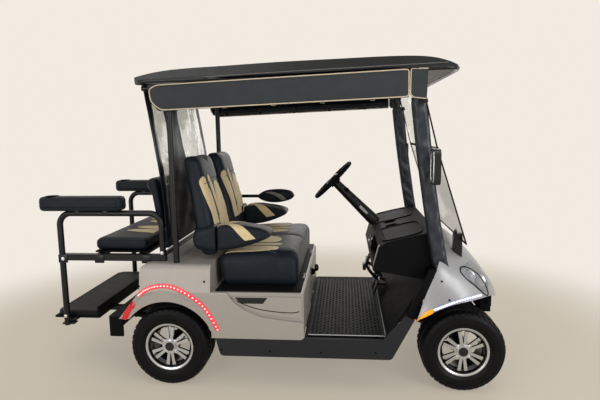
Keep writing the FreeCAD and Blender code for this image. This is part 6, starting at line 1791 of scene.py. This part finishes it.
@dataclass
class Lights:
    """Headlamp insides, side markers, light strips on the arches and ribs on the tail lamps."""

    rear_arc: Sequence[Flat] = ((-0.716, 0.540), (-0.676, 0.570), (-0.620, 0.590), (-0.540, 0.592),
                                (-0.455, 0.562), (-0.368, 0.503), (-0.312, 0.430), (-0.268, 0.345))
    front_arc: Sequence[Flat] = ((0.905, 0.486), (0.950, 0.503), (1.000, 0.526), (1.060, 0.544), (1.120, 0.551),
                                 (1.160, 0.552))

    def build(self) -> None:
        """Makes every light on both sides."""
        for side in Side:
            self.strip(side, End.REAR)
            self.strip(side, End.FRONT)
            self.marker(side)
            self.tail_lamp(side)
            self.headlamp(side)

    def strip(self, side: Side, end: End) -> None:
        """Lays one arch's soft light strip with its row of bright points.

        Args:
            side: The side of the cart.
            end: Which arch: the rear one has a red strip over it, the front one a white strip under its edge.
        """
        rear = end is End.REAR
        shell = skin("rear_body", "seat_pod") if rear else skin("front_cowl")
        line, half_wide, count, lift_mm, spread = (
            (self.rear_arc, 0.0125, 30, 4.8, (0.0046, 0.004)) if rear else
            (self.front_arc, 0.0085, 22, 4.6, (0.0056, 0.0048)))
        soft = self.band(f"{end.value}_light_strip_{side.word}", line, side, shell, half_wide)
        mount(soft, RED_STRIP if rear else WHITE_STRIP)
        dots = [turned("dot", [(0, 0.0), (spread[0], 0.0), (spread[1], 0.0018), (0, 0.0026)],
                       shell.drop(self.at(line, (k + 0.5) / count, side), side.inward, lift_mm), side.outward, 10)
                for k in range(count)]
        mount(join(f"{end.value}_light_points_{side.word}", dots), RED_POINT if rear else WHITE_POINT)

    def band(self, name: str, line: Sequence[Flat], side: Side, shell: Surface, half_wide: float) -> bpy.types.Object:
        """Lays a soft flat strip along a line on the body.

        Args:
            name: The strip's name.
            line: Its middle line, x and z.
            side: The side of the cart.
            shell: The body that it lies on.
            half_wide: Half its width.

        Returns:
            The strip.
        """
        def place(u: float, v: float) -> Vector:
            here = curved(line, u)
            way = (curved(line, min(1.0, u + 0.01)) - curved(line, max(0.0, u - 0.01))).normalized()
            off = half_wide * (v * 2 - 1)
            rise = 1.4 + 2.6 * math.sqrt(max(0.0, 1.0 - (v * 2 - 1) ** 2))
            return shell.drop((here.x - way.y * off, side.value * BESIDE, here.y + way.x * off),
                              side.inward, rise)
        return lattice(name, place, 70, 8, 1.4, 0.5)

    def at(self, line: Sequence[Flat], share: float, side: Side) -> Vector:
        """Gives a point of a line in the side plane, outside the body."""
        spot = curved(line, share)
        return Vector((spot.x, side.value * BESIDE, spot.y))

    def marker(self, side: Side) -> None:
        """Sets the amber side marker in the fender behind the front wheel.

        Args:
            side: The side of the cart.
        """
        shell = skin("front_cowl", "cowl_side_trims")
        rows = [((0.800, 0.424), (0.812, 0.430)), ((0.842, 0.430), (0.838, 0.466)), ((0.872, 0.446), (0.872, 0.486)),
                ((0.902, 0.470), (0.908, 0.492))]

        def place(u: float, v: float) -> Vector:
            low = curved([r[0] for r in rows], u)
            high = curved([r[1] for r in rows], u)
            spot = low.lerp(high, v)
            edge = min(1.0, 7 * min(u, 1 - u, v, 1 - v))
            return shell.drop((spot.x, side.value * BESIDE, spot.y), side.inward, 0.5 + 4.5 * edge)
        mount(lattice(f"amber_marker_{side.word}", place, 24, 12, 2.0, 0.5), AMBER_LENS)

    def tail_lamp(self, side: Side) -> None:
        """Lays the red lens round the fender's rear end, with its dark ribs.

        Args:
            side: The side of the cart.
        """
        shell = skin("rear_body")
        line = [(-0.806, 0.398), (-0.792, 0.430), (-0.772, 0.466), (-0.748, 0.498)]
        lens = self.band(f"tail_lamp_lens_{side.word}", line, side, shell, 0.0165)
        mount(lens, LAMP_RED)
        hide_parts("tail_lamps")
        ribs = []
        for k in range(7):
            here, ahead = curved(line, (k + 0.8) / 8), curved(line, (k + 0.9) / 8)
            way = (ahead - here).normalized()
            run = [shell.drop((here.x - way.y * off, side.value * BESIDE, here.y + way.x * off),
                              side.inward, 4.2) for off in (-0.014, -0.007, 0.0, 0.007, 0.014)]
            ribs.append(tube("rib", run, 0.0016, smoothness=1))
        mount(join(f"tail_lamp_ribs_{side.word}", ribs), GLOSS_BLACK)

    def headlamp(self, side: Side) -> None:
        """Adds the lamp's dark frame line and its two reflectors with their bulbs.

        Args:
            side: The side of the cart.
        """
        shell = skin("headlamps", "front_cowl")
        s = side.value
        ring = [(1.043, 0.673), (1.066, 0.700), (1.110, 0.705), (1.160, 0.684), (1.206, 0.634), (1.224, 0.560),
                (1.192, 0.547), (1.122, 0.592), (1.066, 0.636)]
        heading = Vector((-0.45, -s * 0.82, -0.35)).normalized()
        laid = []
        for k in range(72):
            spot = curved(ring + ring[:1], k / 72)
            laid.append(shell.drop(Vector((spot.x, s * 0.52, spot.y)) - heading * 0.20, heading, 0.4))
        mount(tube(f"headlamp_rim_{side.word}", laid, 0.0034, closed=True, smoothness=2), MOULDED_BLACK)
        bowls = []
        for x, y, z, r in ((1.112, 0.515, 0.652, 0.027), (1.166, 0.468, 0.612, 0.029)):
            start = Vector((x, s * y, z)) - heading * 0.15
            spot = shell.drop(start, heading, -7.0)
            bowls.append(turned("bowl", [(0.006, -0.004), (r * 0.75, -0.002), (r, 0.0035), (r * 1.08, 0.0035),
                                         (r * 1.08, 0.001), (0.006, -0.006)], spot, tuple(-heading), 32))
            bowls.append(turned("bulb", [(0.0, -0.003), (0.006, -0.003), (0.0055, 0.001), (0, 0.0035)], spot,
                                tuple(-heading), 20))
        mount(join(f"headlamp_reflectors_{side.word}", bowls), BRIGHT_STEEL)


@dataclass
class BodyTrim:
    """Seams, fasteners and the blank badge on the painted body, the roof's lines and the floor mat's relief."""

    def build(self) -> None:
        """Makes the trim of both sides, the roof's lines and the floor mat's relief."""
        for side in Side:
            self.badge(side)
            self.seams(side)
            self.fasteners(side)
        self.roof_lines()
        self.mat()

    def on_body(self, shell: Surface, line: Sequence[Flat], side: Side, steps: int, lift_mm: float) -> list[Vector]:
        """Drops a line drawn from the side onto the body."""
        return [shell.drop((curved(line, k / steps).x, side.value * BESIDE, curved(line, k / steps).y),
                           side.inward, lift_mm) for k in range(steps + 1)]

    def badge(self, side: Side) -> None:
        """Sets the blank black plate in the panel's upper line.

        Args:
            side: The side of the cart.
        """
        shell = skin("pod_inserts", "seat_pod")

        def place(u: float, v: float) -> Vector:
            x = between(-0.168, 0.012, u) + 0.026 * (1 - v) * (1 - u) - 0.026 * (1 - v) * u
            return shell.drop((x, side.value * BESIDE, between(0.503, 0.537, v)), side.inward, 1.2)
        mount(lattice(f"blank_badge_{side.word}", place, 20, 5, 1.8, 0.5), GLOSS_BLACK)

    def seams(self, side: Side) -> None:
        """Lays the dark gap under the insert and the rear fender's lip.

        Args:
            side: The side of the cart.
        """
        pod = skin("pod_inserts", "seat_pod")
        low = self.on_body(pod, [(-0.190, 0.534), (-0.150, 0.512), (-0.100, 0.490), (-0.020, 0.468), (0.070, 0.457),
                                 (0.150, 0.454), (0.186, 0.462)], side, 40, 0.3)
        mount(tube(f"insert_seam_{side.word}", low, 0.0024, smoothness=2), MOULDED_BLACK)
        body = skin("rear_body")
        lip = self.on_body(body, [(-0.800, 0.392), (-0.765, 0.470), (-0.705, 0.530), (-0.625, 0.562), (-0.545, 0.563),
                                  (-0.465, 0.536), (-0.390, 0.480), (-0.340, 0.415), (-0.312, 0.345)], side, 48, 0.5)
        mount(tube(f"rear_arch_lip_{side.word}", lip, 0.0036, smoothness=2), BODY_PAINT)

    def fasteners(self, side: Side) -> None:
        """Sets push rivets on the sill, trim and fenders.

        Args:
            side: The side of the cart.
        """
        shell = skin("sills", "front_cowl", "cowl_side_trims", "rear_body", "rear_bumper")
        heads = []
        for x, z in ((-0.255, 0.232), (0.02, 0.230), (0.30, 0.230), (0.60, 0.236), (0.944, 0.640), (0.985, 0.540),
                     (-0.34, 0.62), (-0.79, 0.62), (0.85, 0.56), (0.90, 0.66)):
            spot = shell.drop((x, side.value * BESIDE, z), side.inward, 0.0)
            heads.append(turned("rivet", [(0, -0.002), (0.0062, -0.002), (0.0058, 0.0014), (0.003, 0.0028), (0, 0.003)],
                                spot, side.outward, 16))
        mount(join(f"push_rivets_{side.word}", heads), MOULDED_BLACK)

    def roof_lines(self) -> None:
        """Runs the rolled rim and rain lip round the roof's edge, and four shallow ribs along its top."""
        roof = skin("roof")
        rim = []
        for k in range(140):
            angle = math.tau * k / 140
            way = Vector((math.cos(angle), math.sin(angle), 0.0))
            start = Vector((0.16 + 0.62 * math.cos(angle), 0.28 * math.sin(angle), 0.0))
            ahead = start.x + 0.30 * way.x
            start.z = between(1.700, 1.744, max(0.0, min(1.0, (ahead + 0.66) / 1.60)) ** 0.8)
            rim.append(roof.drop(start + way * 1.4, tuple(-way), -3.5))
        mount(tube("roof_rolled_rim", rim, 0.0115, closed=True, smoothness=3), ROOF_RIM)
        for side in Side:
            s = side.value
            line = [roof.drop((between(-0.655, 0.985, k / 60), s * BESIDE, between(1.706, 1.768, (k / 60) ** 0.75)),
                              side.inward, -0.2) for k in range(61)]
            mount(tube(f"roof_rain_lip_{side.word}", line, 0.0034, smoothness=2), ROOF_BLACK)
            ribs = []
            for y in (0.18, 0.38):
                run = [roof.drop((between(-0.56, 0.90, k / 40), s * y, 1.95), DOWN, -3.0) for k in range(41)]
                ribs.append(tube("rib", run, 0.006, smoothness=2))
            mount(join(f"roof_ribs_{side.word}", ribs), ROOF_BLACK)

    def mat(self) -> None:
        """Covers the floor mat with rows of small raised bars inside a plain rim, and its pale edge line."""
        low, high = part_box("floor_mat")
        places: list[Vector] = []
        faces: list[list[int]] = []
        columns, rows = 19, 50
        for i in range(columns):
            for j in range(rows):
                x = between(low[0] + 0.022, high[0] - 0.022, i / (columns - 1))
                y = between(low[1] + 0.028, high[1] - 0.028, j / (rows - 1))
                long_way = (i + j) % 2 == 0
                a, b = (0.0088, 0.0034) if long_way else (0.0034, 0.0088)
                start = len(places)
                for z, shrink in ((high[2] - 0.0004, 1.0), (high[2] + 0.0022, 0.6)):
                    places += [Vector((x + a * u * shrink, y + b * v * shrink, z)) for u, v in
                               ((-1, -1), (1, -1), (1, 1), (-1, 1))]
                faces += [[start + k, start + (k + 1) % 4, start + 4 + (k + 1) % 4, start + 4 + k] for k in range(4)]
                faces.append([start + 4 + k for k in range(4)])
        studs = faceted("floor_mat_bars", places, faces)
        mount(studs, MAT_RUBBER)
        line = tube("floor_mat_edge", [(high[0] + 0.004, y, high[2] + 0.001) for y in
                                       (high[1] - 0.01, 0.0, low[1] + 0.01)], 0.0022, order=2)
        rim = join("floor_mat_edges", [line, tube("rim", [
            (low[0], low[1] - 0.002, high[2]), (high[0], low[1] - 0.002, high[2])], 0.003, order=2), tube("rim", [
                (low[0], high[1] + 0.002, high[2]), (high[0], high[1] + 0.002, high[2])], 0.003, order=2)])
        mount(rim, PALE_EDGE)


@dataclass
class Dash:
    """The dash's bezels, cup rings, key switch, buttons, painted end piece and tray lip."""

    def build(self) -> None:
        """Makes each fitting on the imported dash."""
        shell = skin("dashboard")
        bezels = []
        for s in (-1, 1):
            ring = [(0.650, s * 0.12), (0.646, s * 0.30), (0.662, s * 0.44), (0.74, s * 0.462), (0.85, s * 0.44),
                    (0.875, s * 0.30), (0.868, s * 0.13), (0.76, s * 0.105)]
            laid = [shell.drop((*curved(ring + ring[:1], k / 64), 1.1), DOWN, 0.6) for k in range(64)]
            bezels.append(tube("bezel", laid, 0.0055, closed=True, smoothness=2))
        mount(join("dash_bezels", bezels), MOULDED_BLACK)
        rings = []
        for s in (-1, 1):
            spot = shell.drop((REAR_AXLE + 1.290, s * 0.095, 1.1), DOWN, 0.5)
            rings.append(turned("cup_ring", [(0.0375, -0.002), (0.043, -0.002), (0.0445, 0.002), (0.041, 0.0045),
                                             (0.0375, 0.002)], (REAR_AXLE + 1.290, s * 0.060, spot.z), (0, 0, 1), 40))
        mount(join("dash_cup_rings", rings), GLOSS_BLACK)
        key = shell.drop((0.50, -0.05, 0.74), AHEAD, 0.3)
        lock = turned("key_switch", [(0, 0.0), (0.017, 0.0), (0.018, 0.003), (0.015, 0.006), (0.012, 0.007),
                                     (0.011, 0.0035), (0.004, 0.003), (0, 0.003)], key, (-1.0, 0.0, 0.25), 28)
        mount(lock, CHROME)
        blade = block("key_blade", (key.x - 0.026, key.y - 0.0012, key.z - 0.010),
                      (key.x - 0.004, key.y + 0.0012, key.z + 0.010), 1.0)
        mount(blade, BRIGHT_STEEL)
        lights = []
        for y in (-0.10, -0.14, 0.06, 0.10):
            spot = shell.drop((0.50, y, 0.74), AHEAD, 0.2)
            lights.append(turned("button", [(0, 0), (0.009, 0.0), (0.0095, 0.0025), (0.007, 0.0045), (0, 0.005)], spot,
                                 (-1.0, 0.0, 0.25), 20))
        mount(join("dash_buttons", lights), GLOSS_BLACK)

        def place(u: float, v: float) -> Vector:
            y = between(-0.470, -0.430, u)
            rise = 0.8 + 2.2 * min(1.0, 8 * min(u, 1 - u, v, 1 - v))
            return shell.drop((0.50, y, between(0.690, 0.800, v)), AHEAD, rise)
        mount(lattice("dash_painted_end", place, 10, 20, 2.0, 0.6), BODY_PAINT)
        mount(block("dash_tray_lip", (0.600, -0.44, 0.628), (0.634, 0.44, 0.640), 3.5, 3), MOULDED_BLACK)


@dataclass
class Controls:
    """The wheel's grip and hub, the column's knob and blank label, pedal ribs, brake linkage and selector lever."""

    hub: Point = (0.3525, 0.280, 1.098)
    wheel_radius: float = 0.1605
    spring_radius: float = 0.0085

    def build(self) -> None:
        """Makes each control."""
        self.wheel()
        self.column()
        self.pedals()
        self.selector()

    def wheel(self) -> None:
        """Wraps the rim with a grip that swells at the hands, and caps the hub."""
        axis = Vector((-1.0, 0.0, 1.0)).normalized()
        side_way, up_way = Vector((0.0, 1.0, 0.0)), Vector((1.0, 0.0, 1.0)).normalized()
        centre = Vector(self.hub)
        ring = [centre + self.wheel_radius * (math.cos(a) * side_way + math.sin(a) * up_way)
                for a in (math.tau * k / 72 for k in range(72))]
        grip = tube("steering_wheel_grip", ring, 0.0148, closed=True, smoothness=2)
        for vertex in grip.data.vertices:
            away = vertex.co - centre
            flat = away - axis * away.dot(axis)
            angle = math.atan2(flat.dot(up_way), flat.dot(side_way))
            core = centre + flat.normalized() * self.wheel_radius
            wave = 1.0 + 0.035 * math.cos(angle * 24) + 0.07 * abs(math.cos(angle)) ** 6
            vertex.co = core + (vertex.co - core) * wave
        pad = turned("steering_wheel_pad", [(0, -0.012), (0.040, -0.012), (0.050, -0.004), (0.052, 0.004),
                                            (0.046, 0.012), (0.030, 0.017), (0, 0.019)],
                     tuple(centre + axis * 0.004), tuple(axis), 48)
        ring_line = turned("steering_wheel_ring", [(0.0325, 0.0), (0.0365, 0.0), (0.0365, 0.002), (0.0325, 0.002)],
                           tuple(centre + axis * 0.0195), tuple(axis), 48)
        MOULDED_BLACK.dress(grip)
        GLOSS_BLACK.dress(pad)
        BRIGHT_STEEL.dress(ring_line)
        for piece in (grip, pad, ring_line):
            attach(piece, carrier("steering_wheel"))

    def column(self) -> None:
        """Adds the tilt knob, a collar and the blank pale label on the column."""
        start, end = Vector((0.681, 0.280, 0.774)), Vector((0.375, 0.280, 1.080))
        way = (end - start).normalized()
        collar = turned("column_collar", [(0.020, -0.018), (0.029, -0.016), (0.031, 0.0), (0.027, 0.016),
                                          (0.020, 0.018)], tuple(start.lerp(end, 0.80)), tuple(way), 32)
        knob = turned("column_knob", [(0, 0), (0.012, 0.0), (0.013, 0.006), (0.010, 0.016), (0.004, 0.019), (0, 0.019)],
                      tuple(start.lerp(end, 0.80) + Vector((0.010, -0.030, 0.012))), (0.5, -1.0, 0.5), 20)
        shell = skin("steering_column")

        def place(u: float, v: float) -> Vector:
            spot = start.lerp(end, between(0.30, 0.47, u))
            return shell.drop((spot.x + 0.012 * (v - 0.5), 0.0, spot.z + 0.012 * (v - 0.5)), (0.0, 1.0, 0.0), 0.6)
        label = lattice("column_blank_label", place, 12, 4, 0.6)
        PALE_EDGE.dress(label)
        for piece, finish in ((collar, FRAME_BLACK), (knob, MOULDED_BLACK)):
            finish.dress(piece)
        for piece in (collar, knob, label):
            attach(piece, "root")

    def pedals(self) -> None:
        """Adds ribbed rubber pads on the pedals' faces."""
        shell = skin("pedals")
        ribs = []
        for y0, y1 in ((0.155, 0.215), (0.265, 0.355)):
            for k in range(6):
                z = between(0.338, 0.405, k / 5)
                line = [shell.drop((0.45, between(y0 + 0.006, y1 - 0.006, j / 6), z), AHEAD, 0.5) for j in range(7)]
                if max(p.x for p in line) - min(p.x for p in line) < 0.02:
                    ribs.append(tube("rib", line, 0.0026, smoothness=2))
        if ribs:
            mount(join("pedal_pad_ribs", ribs), MAT_RUBBER)
        self.brake_linkage()

    def brake_linkage(self) -> None:
        """Adds the brake's hanger arms, cross rods, lock pad and return spring under the dash."""
        parts = []
        for y in (0.160, 0.208):
            parts.append(tube("arm", [(0.664, y, 0.412), (0.600, y, 0.470), (0.574, y, 0.540), (0.630, y, 0.632)],
                              0.008))
            parts.append(tube("strap", [(0.574, y, 0.540), (0.640, y, 0.520), (0.690, y, 0.430)], 0.006))
        for x, z, end in ((0.604, 0.474, 0.242), (0.580, 0.540, 0.218), (0.584, 0.560, 0.242), (0.640, 0.505, 0.218)):
            parts.append(rod("cross", (x, 0.150, z), (x, end, z), 0.006))
        parts.append(block("lock_pad", (0.556, 0.150, 0.486), (0.578, 0.222, 0.528), 4.0))
        coil = [(between(0.584, 0.604, k / 72) + self.spring_radius * math.sin(math.tau * k / 8),
                 0.232 + self.spring_radius * math.cos(math.tau * k / 8), between(0.560, 0.474, k / 72))
                for k in range(73)]
        parts.append(tube("spring", coil, 0.0016, smoothness=2))
        mount(join("brake_linkage", parts), FRAME_BLACK)

    def selector(self) -> None:
        """Adds the selector's bezel and its lever with a round knob on the seat's front panel."""
        low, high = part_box("direction_selector")
        middle = (Vector(low) + Vector(high)) / 2
        bezel = turned("selector_bezel", [(0.020, 0.0), (0.028, 0.0), (0.029, 0.003), (0.026, 0.006), (0.020, 0.004)],
                       (low[0] + 0.001, middle.y, middle.z), (1.0, 0.0, 0.0), 36)
        mount(bezel, GLOSS_BLACK)
        head = Vector((high[0] + 0.012, middle.y, high[2] + 0.006))
        stem = tube("stem", [(high[0] - 0.006, middle.y, middle.z), (high[0] + 0.006, middle.y, middle.z + 0.010),
                             tuple(head)], 0.0065)
        knob = turned("knob", [(0.0, -0.012), (0.018, -0.012), (0.0235, -0.006), (0.0245, 0.002), (0.021, 0.010),
                               (0.010, 0.014), (0.0, 0.0145)], tuple(head), AHEAD, 32)
        mount(join("selector_lever", [stem, knob]), GLOSS_BLACK)


@dataclass
class RearKit:
    """The rear frame's bolts, gusset plates and brackets, and the footplate's tread."""

    def build(self) -> None:
        """Makes the hardware on both sides."""
        plates, bolts = [], []
        for s in (-1, 1):
            y = s * 0.502
            for x, z in ((-1.200, 0.722), (-0.980, 0.722), (-0.700, 0.722)):
                plates.append(block("gusset", (x - 0.028, y - 0.003, z - 0.024),
                                    (x + 0.028, y + 0.003, z + 0.024), 1.6))
                if x < -1.1:
                    bolts.append(self.bolt((x, y + s * 0.003, z), s))
            for x in (-1.10, -0.93):
                plates.append(block("pad_bracket", (x - 0.014, s * 0.483 - 0.020, 0.978),
                                    (x + 0.014, s * 0.483 + 0.020, 1.0035), 2.0))
            for x, z in ((-1.2145, 0.372), (-0.6065, 0.760)):
                bolts.append(self.bolt((x, s * 0.5005, z), s))
            plates.append(block("foot_bracket", (-1.245, s * 0.470 - 0.022, 0.318),
                                (-1.170, s * 0.470 + 0.022, 0.326), 1.5))
        mount(join("kit_brackets", plates), FRAME_BLACK)
        mount(join("kit_bolts", bolts), CHROME)
        self.footplate()

    def bolt(self, spot: Point, s: int) -> bpy.types.Object:
        """Makes a domed hexagon bolt with its washer.

        Args:
            spot: Where the bolt stands.
            s: The side that it points to, 1 or -1.

        Returns:
            The bolt.
        """
        washer = turned("washer", [(0, 0), (0.0105, 0.0), (0.0105, 0.0016), (0, 0.0016)], spot,
                        (0.0, float(s), 0.0), 20)
        head = rod("head", spot, (spot[0], spot[1] + s * 0.0062, spot[2]), 0.0072, 0.9, sides=6)
        return join("bolt", [washer, head])

    def footplate(self) -> None:
        """Moulds the footplate's dished tread with its thick rolled edge."""
        low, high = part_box("footplate")
        middle = (Vector(low) + Vector(high)) / 2
        half = Vector(((high[0] - low[0]) / 2, (high[1] - low[1]) / 2, 0.020))

        def place(x: float, y: float, z: float) -> Vector:
            core = rounded((x, y, z), (half.x - 0.0005, half.y - 0.0005, half.z), 0.017)
            corner = max(0.0, (-core.x - half.x + 0.07) / 0.07)
            core.y *= 1.0 - 0.10 * corner ** 2.5
            inset = max(abs(core.x) / half.x, abs(core.y) / half.y)
            dish = 0.005 * max(0.0, min(1.0, (0.93 - inset) / 0.05)) * (core.z > 0)
            return Vector((middle.x, 0.0, 0.3605)) + core - Vector((0, 0, dish))
        tread = wadding("footplate_tread", place, 34)
        mount(tread, MAT_RUBBER)


@dataclass
class MirrorTrim:
    """The glass and bright edge on each mirror's rear face."""

    def build(self) -> None:
        """Makes glass and edge for both mirrors."""
        shell = skin("mirrors")
        for side in Side:
            s = side.value

            def place(u: float, v: float) -> Vector:
                core = rounded((u * 2 - 1, v * 2 - 1, 0.0), (0.040, 0.076, 1.0), 0.022)
                start = (0.70, s * (0.650 + core.x), 1.250 + core.y)
                return shell.drop(start, AHEAD, 1.0)
            mount(lattice(f"mirror_glass_{side.word}", place, 20, 30, 1.0), MIRROR)
            ring = [shell.drop((0.70, s * (0.650 + 0.0435 * math.copysign(abs(math.cos(a)) ** 0.5, math.cos(a))),
                                1.250 + 0.080 * math.copysign(abs(math.sin(a)) ** 0.5, math.sin(a))), AHEAD, 0.4)
                    for a in (math.tau * k / 60 for k in range(60))]
            mount(tube(f"mirror_edge_{side.word}", ring, 0.0026, closed=True, smoothness=2), CHROME)


def dress_nodes() -> None:
    """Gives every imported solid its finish."""
    for name, piece in frame["nodes"].items():
        NODE_FINISHES[name].dress(piece)


def build_wheels() -> None:
    """Makes the four tyres and the trim on their wheels."""
    for end in End:
        for side in Side:
            node = f"tyre_{end.value}_{side.word}"
            low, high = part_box(node)
            centre = tuple((a + b) / 2 for a, b in zip(low, high))
            body = carrier(node)
            Tyre(node, body, centre).build()
            rim_low, rim_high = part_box(f"rim_{end.value}_{side.word}")
            face = (rim_high[1] - centre[1]) if side is Side.LEFT else (centre[1] - rim_low[1])
            WheelTrim(f"wheel_{end.value}_{side.word}", body, centre, side.value, face - 0.014).build()


def main() -> None:
    """Builds the studio and dresses every piece of the cart."""
    logging.basicConfig(level=logging.INFO, format="%(name)s: %(message)s")
    Studio().build()
    dress_nodes()
    for label, make in (("wheels", build_wheels), ("front seats", FrontSeats().build), ("rear seat", RearSeat().build),
                        ("covers", Covers().build), ("windshield", Windshield().build), ("lights", Lights().build),
                        ("body trim", BodyTrim().build), ("dash", Dash().build), ("controls", Controls().build),
                        ("rear kit", RearKit().build), ("mirrors", MirrorTrim().build)):
        make()
        LOG.info("made the %s", label)


if __name__ == "__main__":
    main()
